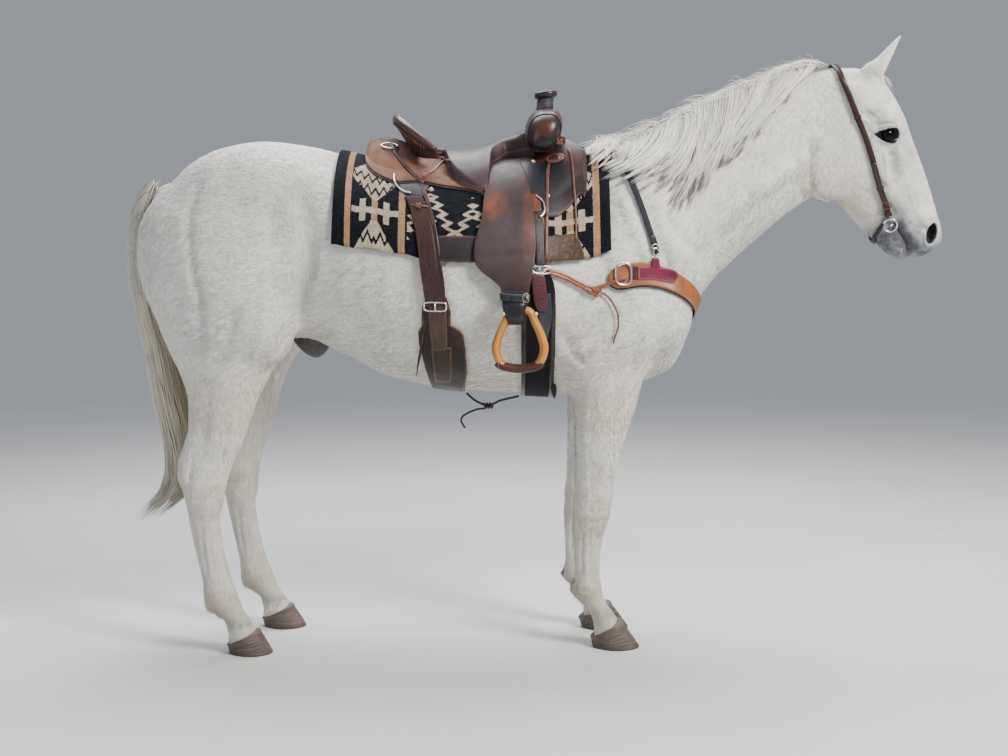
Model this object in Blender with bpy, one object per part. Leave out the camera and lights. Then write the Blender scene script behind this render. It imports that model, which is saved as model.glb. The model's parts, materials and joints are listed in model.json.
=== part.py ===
"""A saddled grey-white gelding of stock-horse build, standing still, at life size in metres.

It faces +X, its left side is +Y, and its hooves stand on z = 0. The flesh is one smooth field,
meshed once and parted with thin cuts; the tack is laid on it in layers."""

import math

import bmesh
import bpy
import numpy as np
from mathutils import Vector
from mathutils.bvhtree import BVHTree

GAP = 0.0003  # clear space between nodes
R = 2.0  # the roundness of an ordinary section

# ---------------------------------------------------------------- the field


def pchip(rows, at):
    """Smooth curves through the rows' columns, with no overshoot, read at the given places."""
    rows = np.array(rows, float)
    x, y = rows[:, 0], rows[:, 1:]
    h = np.diff(x)[:, None]
    slope = np.diff(y, axis=0) / h
    m = np.zeros_like(y)
    same = slope[:-1] * slope[1:] > 0
    w1, w2 = 2 * h[1:] + h[:-1], h[1:] + 2 * h[:-1]
    with np.errstate(divide="ignore", invalid="ignore"):
        inner = (w1 + w2) / (w1 / slope[:-1] + w2 / slope[1:])
    m[1:-1] = np.where(same, inner, 0)
    m[0], m[-1] = slope[0], slope[-1]
    at = np.clip(at, x[0], x[-1])
    i = np.clip(np.searchsorted(x, at) - 1, 0, len(x) - 2)
    s = ((at - x[i]) / (x[i + 1] - x[i]))[:, None]
    step = h[i]
    near = y[i] * (1 + 2 * s) * (1 - s) ** 2 + m[i] * step * s * (1 - s) ** 2
    far = y[i + 1] * s**2 * (3 - 2 * s) - m[i + 1] * step * s**2 * (1 - s)
    return near + far


def smooth_min(a, b, k):
    h = np.maximum(k - np.abs(a - b), 0) / k
    return np.minimum(a, b) - h * h * k / 4


def superellipse(u, v, n):
    """How far out a point is of a superellipse with unit half-axes, and the slopes along u and v."""
    u, v = np.abs(u) + 1e-9, np.abs(v) + 1e-9
    un, vn = u**n, v**n
    r = (un + vn) ** (1 / n)
    return r, un / u * r ** (1 - n), vn / v * r ** (1 - n)


class Tube:
    """A length of body along a straight axis in the XZ plane.

    rows: place along the axis, low and high outline across it, place of the greatest width,
    half-width, centre in y, roundness of the low side and of the high side (2 is an ellipse)."""

    def __init__(self, start, way, rows, caps, margin=0.14):
        self.o = np.array(start, float)
        self.d = np.array(way, float) / np.linalg.norm(way)
        self.e = np.array([-self.d[1], self.d[0]])
        self.rows = np.array(rows, float)
        self.caps = caps
        low, high = self.rows[:, 1].min(), self.rows[:, 2].max()
        ends = (self.rows[0, 0] - caps[0], self.rows[-1, 0] + caps[1])
        corners = np.array([self.o + self.d * t + self.e * c for t in ends for c in (low, high)])
        yc, w = self.rows[:, 5], self.rows[:, 4]
        x, z = corners.T
        self.low = np.array([x.min(), (yc - w).min(), z.min()]) - margin
        self.high = np.array([x.max(), (yc + w).max(), z.max()]) + margin

    def __call__(self, p):
        q = p[:, [0, 2]] - self.o
        t, c = q @ self.d, q @ self.e
        low, high, mid, w, yc, n_low, n_high = pchip(self.rows, t).T
        up = c > mid
        a = np.where(up, high - mid, mid - low)
        r, gu, gv = superellipse((c - mid) / a, (p[:, 1] - yc) / w, np.where(up, n_high, n_low))
        g = np.sqrt((gu / a) ** 2 + (gv / w) ** 2)
        before, after = self.rows[0, 0] - t, t - self.rows[-1, 0]
        cap = np.maximum(before, 0) / self.caps[0] + np.maximum(after, 0) / self.caps[1]
        whole = np.sqrt(r * r + cap * cap)
        end = np.where(before > 0, 1 / self.caps[0], 1 / self.caps[1])
        slope = np.sqrt((g * r) ** 2 + (end * cap) ** 2) / np.maximum(whole, 1e-6)
        return np.maximum((whole - 1) / np.maximum(slope, 0.5), -np.minimum(a, w))


class Blob:
    """An ellipsoid at a centre with half-axes, its length tipped down by pitch degrees."""

    def __init__(self, centre, radii, pitch=0.0, margin=0.1):
        self.c, self.r = np.array(centre, float), np.array(radii, float)
        a = math.radians(pitch)
        self.m = np.array([[math.cos(a), 0, math.sin(a)], [0, 1, 0], [-math.sin(a), 0, math.cos(a)]])
        reach = np.sqrt(((self.m * self.r) ** 2).sum(1)) + margin
        self.low, self.high = self.c - reach, self.c + reach

    def __call__(self, p):
        q = (p - self.c) @ self.m / self.r
        k0 = np.sqrt((q * q).sum(1)) + 1e-9
        k1 = np.sqrt(((q / self.r) ** 2).sum(1)) + 1e-9
        return np.maximum(k0 * (k0 - 1) / k1, -self.r.min())


class Field:
    """Shapes joined in turn: (shape, blend, +1 to add or -1 to carve). Inside is below zero."""

    def __init__(self, entries):
        self.entries = entries

    def __call__(self, p):
        d = np.full(len(p), 1.0)
        for shape, k, kind in self.entries:
            near = ((p > shape.low) & (p < shape.high)).all(1)
            if near.any():
                d[near] = kind * smooth_min(kind * d[near], shape(p[near]), k)
        return d

    def slope(self, p, step=0.0015):
        """The value, the unit outward direction and the steepness at each point."""
        t = np.array([[1, 1, 1], [1, -1, -1], [-1, 1, -1], [-1, -1, 1]], float)
        v = np.stack([self(p + k * step) for k in t])
        g = np.einsum("kn,kj->nj", v, t) / (4 * step)
        size = np.maximum(np.linalg.norm(g, axis=1), 1e-6)
        return v.mean(0), g / size[:, None], size


# ---------------------------------------------------------------- the horse


def trunk():
    rows = [
        # x     low    high   widest half  y  low  high roundness
        (-1.15, 1.16, 1.475, 1.31, 0.115, 0, R, 2.0),
        (-1.07, 1.06, 1.543, 1.32, 0.185, 0, R, 2.0),
        (-0.97, 1.00, 1.586, 1.33, 0.235, 0, R, 1.9),
        (-0.85, 0.985, 1.602, 1.33, 0.262, 0, R, 1.9),
        (-0.72, 0.975, 1.588, 1.29, 0.265, 0, R, 1.9),
        (-0.60, 0.925, 1.560, 1.24, 0.278, 0, R, 2.0),
        (-0.45, 0.855, 1.528, 1.19, 0.300, 0, R, 2.0),
        (-0.25, 0.818, 1.508, 1.16, 0.312, 0, R, 2.0),
        (-0.05, 0.806, 1.520, 1.14, 0.295, 0, R, 1.85),
        (0.10, 0.800, 1.552, 1.11, 0.262, 0, R, 1.65),
        (0.22, 0.805, 1.566, 1.08, 0.232, 0, R, 1.6),
        (0.32, 0.830, 1.520, 1.07, 0.205, 0, R, 1.7),
        (0.40, 0.880, 1.420, 1.09, 0.175, 0, R, 2.0),
    ]
    return Tube((0, 0), (1, 0), rows, (0.085, 0.085))


def neck():
    rows = [
        # t     low     high   widest half  y  low  high
        (-0.02, -0.26, 0.27, -0.02, 0.185, 0, R, 1.8),
        (0.10, -0.262, 0.268, -0.04, 0.168, 0, R, 1.7),
        (0.22, -0.236, 0.256, -0.05, 0.142, 0, R, 1.65),
        (0.36, -0.206, 0.248, -0.05, 0.120, 0, R, 1.6),
        (0.50, -0.184, 0.236, -0.04, 0.103, 0, R, 1.6),
        (0.62, -0.176, 0.210, -0.02, 0.093, 0, R, 1.7),
        (0.75, -0.160, 0.178, 0.0, 0.086, 0, R, 1.9),
        (0.83, -0.120, 0.145, 0.02, 0.080, 0, R, 2.0),
    ]
    return Tube((0.28, 1.28), (0.860, 0.511), rows, (0.12, 0.045))


HEAD_START = np.array([0.97, 1.72])
HEAD_WAY = np.array([0.45, -0.893])  # from the poll to the muzzle
HEAD_FRONT = np.array([0.893, 0.45])
HEAD_PITCH = 63.3


def on_head(t, e, y=0.0):
    """A place on the head: t down its length from the poll, e towards the face."""
    x, z = HEAD_START + HEAD_WAY * t + HEAD_FRONT * e
    return (x, y, z)


def skull():
    rows = [
        # t     low     high   widest half  y  low  high
        (-0.05, -0.09, 0.105, 0.02, 0.070, 0, R, 2.2),
        (0.00, -0.13, 0.143, 0.05, 0.080, 0, R, 2.5),
        (0.06, -0.15, 0.148, 0.07, 0.090, 0, 1.8, 2.8),
        (0.12, -0.16, 0.148, 0.075, 0.094, 0, 1.7, 2.9),
        (0.18, -0.16, 0.145, 0.060, 0.087, 0, 1.7, 2.6),
        (0.25, -0.15, 0.143, 0.040, 0.074, 0, 1.8, 2.1),
        (0.33, -0.122, 0.136, 0.020, 0.060, 0, R, 2.0),
        (0.40, -0.100, 0.126, 0.010, 0.052, 0, R, 2.1),
        (0.46, -0.070, 0.114, 0.015, 0.050, 0, R, 2.3),
        (0.50, -0.035, 0.095, 0.022, 0.050, 0, R, 2.4),
    ]
    return Tube(HEAD_START, HEAD_WAY, rows, (0.05, 0.038))


def leg(rows, top_y, foot_y, top, shift, caps, margin):
    """A leg up +Z. rows: height, rear, front, half-width, how far towards the foot's y, roundness.

    shift moves the lower leg along X, fading out towards the top."""
    turned = []
    for z, rear, front, w, share, n in rows:
        dx = shift * min(1.0, max(0.0, (top - z) / 0.6))
        y = top_y * (1 - share) + foot_y * share
        turned.append((z, -front - dx, -rear - dx, -(rear + front) / 2 - dx, w, y, n, n))
    return Tube((0, 0), (0, 1), turned, caps, margin)


def foreleg(top_y, foot_y, shift):
    rows = [
        (0.000, 0.192, 0.285, 0.048, 1.0, R),
        (0.075, 0.185, 0.272, 0.047, 1.0, R),
        (0.110, 0.172, 0.246, 0.037, 1.0, R),
        (0.150, 0.146, 0.222, 0.036, 1.0, R),
        (0.180, 0.126, 0.213, 0.041, 1.0, R),
        (0.205, 0.122, 0.209, 0.040, 0.98, R),
        (0.240, 0.127, 0.204, 0.033, 0.95, R),
        (0.300, 0.126, 0.206, 0.029, 0.85, R),
        (0.350, 0.122, 0.214, 0.032, 0.75, R),
        (0.400, 0.118, 0.228, 0.042, 0.6, 2.3),
        (0.445, 0.119, 0.238, 0.048, 0.5, 2.5),
        (0.480, 0.121, 0.244, 0.047, 0.45, 2.4),
        (0.520, 0.122, 0.248, 0.046, 0.35, 2.2),
        (0.600, 0.122, 0.262, 0.055, 0.2, R),
        (0.690, 0.120, 0.286, 0.066, 0.1, R),
        (0.770, 0.116, 0.312, 0.076, 0.0, R),
        (0.850, 0.105, 0.332, 0.084, 0.0, R),
        (0.940, 0.080, 0.355, 0.080, 0.0, R),
    ]
    return leg(rows, top_y, foot_y, 0.95, shift, (0.03, 0.10), 0.10)


def hindleg(top_y, foot_y, shift):
    rows = [
        (0.000, -0.966, -0.861, 0.048, 1.0, R),
        (0.060, -0.968, -0.868, 0.047, 1.0, R),
        (0.095, -0.976, -0.893, 0.038, 1.0, R),
        (0.130, -1.005, -0.915, 0.037, 1.0, R),
        (0.160, -1.034, -0.928, 0.042, 1.0, R),
        (0.190, -1.041, -0.938, 0.042, 1.0, R),
        (0.225, -1.044, -0.951, 0.035, 0.98, R),
        (0.290, -1.057, -0.969, 0.031, 0.92, R),
        (0.360, -1.072, -0.983, 0.034, 0.85, R),
        (0.420, -1.084, -0.988, 0.042, 0.75, 2.2),
        (0.470, -1.093, -0.977, 0.050, 0.7, 2.4),
        (0.520, -1.106, -0.967, 0.050, 0.6, 2.3),
        (0.560, -1.120, -0.957, 0.044, 0.5, 1.9),
        (0.600, -1.119, -0.942, 0.042, 0.4, 1.8),
        (0.650, -1.103, -0.918, 0.050, 0.3, 1.8),
        (0.720, -1.085, -0.892, 0.066, 0.2, 1.9),
        (0.790, -1.084, -0.868, 0.080, 0.1, R),
        (0.870, -1.104, -0.828, 0.096, 0.0, R),
        (0.950, -1.140, -0.790, 0.110, 0.0, R),
        (1.040, -1.176, -0.750, 0.122, 0.0, R),
        (1.130, -1.205, -0.740, 0.128, 0.0, R),
        (1.230, -1.218, -0.780, 0.122, 0.0, R),
        (1.310, -1.212, -0.830, 0.110, 0.0, R),
    ]
    return leg(rows, top_y, foot_y, 1.05, shift, (0.03, 0.10), 0.12)


FORE = {"right": (-0.105, 0.0), "left": (0.135, -0.020)}  # the hoof's y and its shift in x
HIND = {"right": (-0.175, 0.0), "left": (0.150, 0.058)}
SIDES = {"right": -1, "left": 1}


def horse():
    parts = [(trunk(), 0.05, 1), (neck(), 0.10, 1)]

    def one(k, centre, radii, pitch=0.0, kind=1):
        parts.append((Blob(centre, radii, pitch), k, kind))

    def pair(k, centre, radii, pitch=0.0, kind=1):
        """The same shape on the right and on the left."""
        x, y, z = centre
        for side in (-1, 1):
            one(k, (x, side * y, z), radii, pitch, kind)

    for name, side in SIDES.items():
        parts.append((hindleg(side * 0.150, *HIND[name]), 0.05, 1))
        parts.append((foreleg(side * 0.140, *FORE[name]), 0.05, 1))
    # the shoulder: blade, upper arm, point of the shoulder, elbow
    pair(0.07, (0.27, 0.125, 1.29), (0.075, 0.065, 0.25), 24)
    pair(0.07, (0.17, 0.150, 1.14), (0.13, 0.070, 0.17), -30)
    pair(0.06, (0.28, 0.165, 1.02), (0.165, 0.068, 0.095), -30)
    pair(0.05, (0.395, 0.120, 1.055), (0.085, 0.070, 0.105))
    pair(0.05, (0.14, 0.165, 0.94), (0.065, 0.055, 0.09), 20)
    # the breast, and the muscle band of the neck
    pair(0.045, (0.372, 0.068, 0.965), (0.078, 0.062, 0.095), 15)
    pair(0.05, (0.56, 0.085, 1.34), (0.26, 0.045, 0.055), -38)
    # the point of the hip, the croup, the buttock, the flank's hollow
    pair(0.10, (-0.73, 0.185, 1.42), (0.10, 0.052, 0.07), 20)
    pair(0.10, (-0.94, 0.125, 1.40), (0.21, 0.12, 0.135), -20)
    pair(0.05, (-1.11, 0.120, 1.25), (0.120, 0.095, 0.19))
    pair(0.08, (-0.685, 0.325, 1.22), (0.050, 0.055, 0.17), 8, -1)
    # the thigh, the stifle and the flesh between the thighs
    pair(0.08, (-0.93, 0.190, 1.17), (0.17, 0.095, 0.20), -15)
    pair(0.06, (-0.835, 0.190, 1.03), (0.085, 0.070, 0.11), -12)
    one(0.05, (-0.93, 0.0, 1.13), (0.16, 0.07, 0.12))
    # the hollow ahead of the hock's tendon, on the outside
    for name, side in SIDES.items():
        y, dx = HIND[name]
        one(0.03, (-1.045 + dx * 0.7, y + side * 0.062, 0.665), (0.022, 0.030, 0.075), 12, -1)
    # head: the skull, the cheek, the temple, the brow, the facial crest
    parts.append((skull(), 0.035, 1))
    pair(0.035, on_head(0.150, -0.105, 0.056), (0.125, 0.032, 0.125), HEAD_PITCH)
    pair(0.030, on_head(0.030, 0.040, 0.070), (0.060, 0.022, 0.045), HEAD_PITCH)
    pair(0.025, on_head(0.115, 0.085, 0.082), (0.042, 0.020, 0.024), HEAD_PITCH)
    pair(0.020, on_head(0.215, 0.010, 0.070), (0.090, 0.010, 0.014), HEAD_PITCH + 6)
    pair(0.040, on_head(0.345, 0.045, 0.092), (0.090, 0.022, 0.045), HEAD_PITCH, -1)
    # the muzzle: nostril wings, upper lip, lower lip, chin and jaw
    pair(0.030, on_head(0.475, 0.068, 0.034), (0.055, 0.028, 0.034), HEAD_PITCH + 6)
    one(0.03, on_head(0.500, 0.030), (0.040, 0.046, 0.040), HEAD_PITCH)
    one(0.02, on_head(0.470, -0.048), (0.056, 0.034, 0.034), HEAD_PITCH - 14)
    one(0.04, on_head(0.300, -0.080), (0.170, 0.034, 0.045), HEAD_PITCH - 10)
    # the eye sockets and the nostrils
    pair(0.012, on_head(0.147, 0.066, 0.112), (0.026, 0.018, 0.018), 0, -1)
    pair(0.010, on_head(0.482, 0.058, 0.066), (0.024, 0.014, 0.011), HEAD_PITCH - 30, -1)
    return Field(parts)


BODY = horse()


def surface(field, cell, low=(-1.45, -0.42, -0.02), high=(1.35, 0.42, 1.98)):
    """Points and four-sided faces of the field's surface, by surface nets on the blocks near it."""
    low, high = np.array(low), np.array(high)
    side = 8
    count = np.ceil((high - low) / (cell * side)).astype(int)
    ranges = [np.arange(n) for n in count]
    block = np.stack(np.meshgrid(*ranges, indexing="ij"), -1).reshape(-1, 3)
    block = block[np.abs(field(low + (block + 0.5) * cell * side)) < 1.15 * cell * side]
    o = np.stack(np.meshgrid(*[np.arange(side + 1)] * 3, indexing="ij"), -1).reshape(-1, 3)
    v = np.empty((len(block), len(o)))
    for i in range(0, len(block), 400):
        at = low + (block[i : i + 400, None] * side + o[None]) * cell
        v[i : i + 400] = field(at.reshape(-1, 3)).reshape(-1, len(o))
    v = v.reshape(-1, side + 1, side + 1, side + 1)
    corner = [(i, j, k) for i in (0, 1) for j in (0, 1) for k in (0, 1)]
    c = np.stack([v[:, i : i + side, j : j + side, k : k + side] for i, j, k in corner], -1)
    inside = c < 0
    crossed = inside.any(-1) & ~inside.all(-1)
    b, ci, cj, ck = np.nonzero(crossed)
    c = c[crossed]
    cells = block[b] * side + np.stack([ci, cj, ck], 1)
    total, weight = np.zeros((len(c), 3)), np.zeros(len(c))
    for p in range(8):
        for q in range(p + 1, 8):
            step = np.array(corner[q]) - corner[p]
            if np.abs(step).sum() == 1:
                cut = (c[:, p] < 0) != (c[:, q] < 0)
                s = c[:, p] / np.where(cut, c[:, p] - c[:, q], 1)
                total += np.where(cut[:, None], np.array(corner[p]) + s[:, None] * step, 0)
                weight += cut
    points = low + (cells + total / weight[:, None]) * cell
    size = count * side + 2
    code = (cells[:, 0] * size[1] + cells[:, 1]) * size[2] + cells[:, 2]
    order = np.argsort(code)
    ranked = code[order]
    steps = (size[1] * size[2], size[2], 1)
    faces = []
    for axis in range(3):
        cut = (c[:, 0] < 0) != (c[:, 1 << (2 - axis)] < 0)
        u, w = steps[(axis + 1) % 3], steps[(axis + 2) % 3]
        own = code[cut]
        ring = np.stack([own, own - u, own - u - w, own - w], 1)
        found = np.clip(np.searchsorted(ranked, ring), 0, len(order) - 1)
        quad = order[found]
        turn = c[cut][:, 0] > 0
        quad[turn] = quad[turn][:, ::-1]
        faces.append(quad[(ranked[found] == ring).all(1)])
    return points, np.concatenate(faces)


def settle(points, rounds=3):
    """Moves points onto the body's surface."""
    for _ in range(rounds):
        value, way, steep = BODY.slope(points)
        points = points - way * np.clip(value / steep, -0.02, 0.02)[:, None]
    return points


def march(start, way):
    """Where rays from outside meet the body's surface."""
    points = np.array(start, float)
    way = np.array(way, float)
    for _ in range(60):
        points = points + way * np.clip(BODY(points) * 0.8, -0.03, 0.06)[:, None]
    return points


def from_side(x, z):
    """Points of the body's right side at the given places of the side view."""
    x, z = np.ravel(x), np.ravel(z)
    return march(np.stack([x, np.full(len(x), -0.42), z], 1), np.array([[0, 1.0, 0]]))


def around(x, angle, height=1.2):
    """Points of the trunk, by angle from straight up about a line along X at the given height."""
    x, angle = np.ravel(x).astype(float), np.ravel(angle)
    way = np.stack([np.zeros(len(x)), np.sin(angle), np.cos(angle)], 1)
    centre = np.stack([x, np.zeros(len(x)), np.full(len(x), height)], 1)
    return march(centre + way * 0.46, -way)


# ---------------------------------------------------------------- meshes and nodes

MATERIALS = {
    # name: colour, roughness, metallic
    "coat": ((0.80, 0.78, 0.73), 0.6, 0),
    "mane_hair": ((0.74, 0.71, 0.65), 0.55, 0),
    "tail_hair": ((0.66, 0.58, 0.42), 0.55, 0),
    "hoof": ((0.26, 0.20, 0.17), 0.5, 0),
    "eye": ((0.02, 0.015, 0.012), 0.08, 0),
    "dark_skin": ((0.06, 0.06, 0.065), 0.6, 0),
    "blanket": ((0.16, 0.15, 0.14), 0.9, 0),
    "dark_leather": ((0.07, 0.038, 0.03), 0.45, 0),
    "tan_leather": ((0.23, 0.10, 0.055), 0.65, 0),
    "collar_leather": ((0.38, 0.15, 0.05), 0.5, 0),
    "black_web": ((0.012, 0.012, 0.014), 0.7, 0),
    "wood": ((0.60, 0.30, 0.08), 0.3, 0),
    "steel": ((0.72, 0.72, 0.74), 0.22, 1),
}


def material(name):
    if name in bpy.data.materials:
        return bpy.data.materials[name]
    colour, rough, metal = MATERIALS[name]
    m = bpy.data.materials.new(name)
    m.use_nodes = True
    shader = m.node_tree.nodes["Principled BSDF"].inputs
    shader["Base Color"].default_value = (*colour, 1)
    shader["Roughness"].default_value = rough
    shader["Metallic"].default_value = metal
    return m


def bmesh_of(points, faces):
    bm = bmesh.new()
    verts = [bm.verts.new(p) for p in np.asarray(points).tolist()]
    for f in faces:
        bm.faces.new([verts[i] for i in f])
    bmesh.ops.recalc_face_normals(bm, faces=bm.faces)
    return bm


def node(name, bm, mat, smooth=True):
    """Makes the object of one node from a bmesh."""
    bmesh.ops.triangulate(bm, faces=[f for f in bm.faces if len(f.verts) > 4])
    bmesh.ops.recalc_face_normals(bm, faces=bm.faces)
    mesh = bpy.data.meshes.new(name)
    bm.to_mesh(mesh)
    bm.free()
    for p in mesh.polygons:
        p.use_smooth = smooth
    mesh.materials.append(material(mat))
    ob = bpy.data.objects.new(name, mesh)
    bpy.context.scene.collection.objects.link(ob)
    return ob


def bmesh_from(ob):
    bm = bmesh.new()
    bm.from_mesh(ob.data)
    return bm


def inflated(obs, by=GAP):
    """One hidden object: copies of these nodes, grown a little along their normals."""
    bm = bmesh.new()
    for ob in obs:
        bm.from_mesh(ob.data)
    bmesh.ops.triangulate(bm, faces=bm.faces)
    bm.normal_update()
    shifts = []
    for v in bm.verts:
        tight = min(max(v.normal.dot(f.normal), 0.35) for f in v.link_faces)
        shifts.append(v.normal * (by * 1.15 / tight))
    for v, s in zip(bm.verts, shifts):
        v.co += s
    mesh = bpy.data.meshes.new("cutter")
    bm.to_mesh(mesh)
    bm.free()
    ob = bpy.data.objects.new("cutter", mesh)
    bpy.context.scene.collection.objects.link(ob)
    return ob


def boolean(ob, cutter, operation="DIFFERENCE"):
    """Cuts the object's mesh in place, then removes the cutter."""
    mod = ob.modifiers.new("cut", "BOOLEAN")
    mod.operation, mod.solver, mod.object = operation, "EXACT", cutter
    graph = bpy.context.evaluated_depsgraph_get()
    mesh = bpy.data.meshes.new_from_object(ob.evaluated_get(graph))
    ob.modifiers.clear()
    mats = [m for m in ob.data.materials][:1]
    ob.data = mesh
    mesh.materials.clear()
    for m in mats:
        mesh.materials.append(m)
    bpy.data.objects.remove(cutter)
    bm = bmesh_from(ob)
    bmesh.ops.remove_doubles(bm, verts=bm.verts, dist=0.00005)
    bmesh.ops.dissolve_degenerate(bm, edges=bm.edges, dist=0.00005)
    keep_largest(bm)
    bmesh.ops.triangulate(bm, faces=bm.faces)
    for f in bm.faces:
        f.material_index, f.smooth = 0, True
    bm.to_mesh(mesh)
    bm.free()


def islands(bm):
    bm.verts.index_update()
    seen, found = set(), []
    for v in bm.verts:
        if v in seen:
            continue
        group, stack = [], [v]
        seen.add(v)
        while stack:
            w = stack.pop()
            group.append(w)
            for e in w.link_edges:
                o = e.other_vert(w)
                if o not in seen:
                    seen.add(o)
                    stack.append(o)
        found.append(group)
    return found


def keep_largest(bm):
    groups = sorted(islands(bm), key=len)
    bmesh.ops.delete(bm, geom=[v for g in groups[:-1] for v in g], context="VERTS")


def sliced(bm, at, way):
    """Takes off what lies on the far side of a plane, and closes the cut."""
    geom = bm.verts[:] + bm.edges[:] + bm.faces[:]
    cut = bmesh.ops.bisect_plane(bm, geom=geom, plane_co=at, plane_no=way, clear_outer=True)
    edges = [g for g in cut["geom_cut"] if isinstance(g, bmesh.types.BMEdge)]
    edges = [e for e in edges if e.is_valid and len(e.link_faces) == 1]
    bmesh.ops.triangle_fill(bm, use_beauty=True, edges=edges)


def shell(inner, outer, closed=False):
    """A closed skin between two equal grids of points, shaped (rows, columns, 3)."""
    n, m = inner.shape[:2]
    points = np.concatenate([inner.reshape(-1, 3), outer.reshape(-1, 3)])
    k = n * m
    faces = []
    columns = m if closed else m - 1
    for i in range(n - 1):
        for j in range(columns):
            a, b = i * m + j, i * m + (j + 1) % m
            c, d = b + m, a + m
            faces += [(a, b, c, d), (k + d, k + c, k + b, k + a)]
    for i in (0, n - 1):
        for j in range(columns):
            a, b = i * m + j, i * m + (j + 1) % m
            faces.append((b, a, k + a, k + b) if i == 0 else (a, b, k + b, k + a))
    if not closed:
        for i in range(n - 1):
            for j in (0, m - 1):
                a, d = i * m + j, (i + 1) * m + j
                faces.append((a, d, k + d, k + a) if j == 0 else (d, a, k + a, k + d))
    return bmesh_of(points, faces)


def laid(base, shape, low, high):
    """A shell laid over the body: base points on it, standing off by low to high along its normals."""
    base = settle(base, 2)
    way = BODY.slope(base, 0.006)[1]
    low, high = np.broadcast_to(low, shape).reshape(-1, 1), np.broadcast_to(high, shape).reshape(-1, 1)
    return shell((base + way * low).reshape(*shape, 3), (base + way * high).reshape(*shape, 3))


def panel(rows, columns, low, high):
    """A panel on the right side between the left and right ends of rows (x, z, x, z)."""
    rows = np.array(rows, float)
    s = np.linspace(0, 1, columns)[None, :]
    x = rows[:, 0:1] * (1 - s) + rows[:, 2:3] * s
    z = rows[:, 1:2] * (1 - s) + rows[:, 3:4] * s
    low = np.broadcast_to(np.array(low, float).reshape(-1, 1), (len(rows), columns))
    high = np.broadcast_to(np.array(high, float).reshape(-1, 1), (len(rows), columns))
    return laid(from_side(x, z), x.shape, low, high)


def straight(z_rows):
    """Rows of a panel from (z, left x, right x)."""
    return [(a, z, b, z) for z, a, b in z_rows]


def strap(path, width, low, high, across=3):
    """A strap along points on the body, laid flat on it."""
    path = settle(np.array(path, float))
    way = BODY.slope(path, 0.006)[1]
    along = np.gradient(path, axis=0)
    side = np.cross(way, along)
    side /= np.linalg.norm(side, axis=1)[:, None]
    s = np.linspace(-0.5, 0.5, across)
    w = np.broadcast_to(width, (len(path),))[:, None, None]
    grid = path[:, None] + side[:, None] * s[None, :, None] * w
    low = np.broadcast_to(low, (len(path),))[:, None]
    high = np.broadcast_to(high, (len(path),))[:, None]
    shape = grid.shape[:2]
    return laid(grid.reshape(-1, 3), shape, np.broadcast_to(low, shape), np.broadcast_to(high, shape))


def loft(rings):
    """A closed skin through rings of equal numbers of points, ends filled."""
    rings = np.array(rings, float)
    n, m = rings.shape[:2]
    faces = []
    for i in range(n - 1):
        for j in range(m):
            a, b = i * m + j, i * m + (j + 1) % m
            faces.append((a, b, b + m, a + m))
    faces += [tuple(range(m))[::-1], tuple(range((n - 1) * m, n * m))]
    return bmesh_of(rings.reshape(-1, 3), faces)


def swept(path, radius, sides=6, closed=True, flat=1.0):
    """A bar along a closed or open path; flat squashes it across the path's plane."""
    path = np.array(path, float)
    n = len(path)
    if closed:
        along = np.roll(path, -1, 0) - np.roll(path, 1, 0)
    else:
        along = np.gradient(path, axis=0)
    along /= np.linalg.norm(along, axis=1)[:, None]
    centre = path.mean(0)
    up = np.linalg.svd(path - centre)[2][2]
    out = np.cross(along, up)
    a = np.arange(sides) * 2 * math.pi / sides + math.pi / sides
    radius = np.broadcast_to(radius, (n,))[:, None, None]
    rings = path[:, None] + radius * (
        out[:, None] * np.cos(a)[None, :, None] + up[None, None] * flat * np.sin(a)[None, :, None]
    )
    if not closed:
        return loft(rings)
    faces = []
    for i in range(n):
        for j in range(sides):
            k, b = (i + 1) % n, (j + 1) % sides
            faces.append((i * sides + j, i * sides + b, k * sides + b, k * sides + j))
    return bmesh_of(rings.reshape(-1, 3), faces)


def mirrored(ob, name):
    bm = bmesh_from(ob)
    for v in bm.verts:
        v.co.y = -v.co.y
    bmesh.ops.reverse_faces(bm, faces=bm.faces)
    mesh = bpy.data.meshes.new(name)
    bm.to_mesh(mesh)
    bm.free()
    mesh.materials.append(ob.data.materials[0])
    copy = bpy.data.objects.new(name, mesh)
    bpy.context.scene.collection.objects.link(copy)
    return copy


def both(name, bm, mat):
    """The same node on the right and, mirrored, on the left."""
    ob = node(name + "_right", bm, mat)
    return [ob, mirrored(ob, name + "_left")]


def cord(name, path, radius, mat):
    """A round cord along a path, as a curve with closed ends."""
    path = np.array(path, float)
    steps = np.linalg.norm(np.diff(path, axis=0), axis=1)
    total = np.concatenate([[0], np.cumsum(steps)])
    n = int(min(78, max(4, round(total[-1] / (radius * 5.6)))))
    at = np.linspace(0, total[-1], n)
    fine = pchip(np.column_stack([total, path]), at)
    curve = bpy.data.curves.new(name, "CURVE")
    curve.dimensions = "3D"
    curve.bevel_depth, curve.bevel_resolution, curve.use_fill_caps = radius, 2, True
    spline = curve.splines.new("POLY")
    spline.points.add(n - 1)
    for p, q in zip(spline.points, fine.tolist()):
        p.co = (*q, 1)
    curve.materials.append(material(mat))
    ob = bpy.data.objects.new(name, curve)
    bpy.context.scene.collection.objects.link(ob)
    return ob


# ---------------------------------------------------------------- the flesh

FLESH_FACES = 2700
NECK_CUT = Vector((0.36, 0, 1.335)), Vector((0.43, 0, 0.32)).normalized()
HEAD_CUT = Vector((0.905, 0, 1.62)), Vector((0.43, 0, -0.09)).normalized()
FORE_CUT = Vector((0, 0, 0.785)), Vector((0, 0, 1))
HIND_CUT = Vector((-0.79, 0, 0.93)), Vector((0.3, 0, 1)).normalized()


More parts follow.
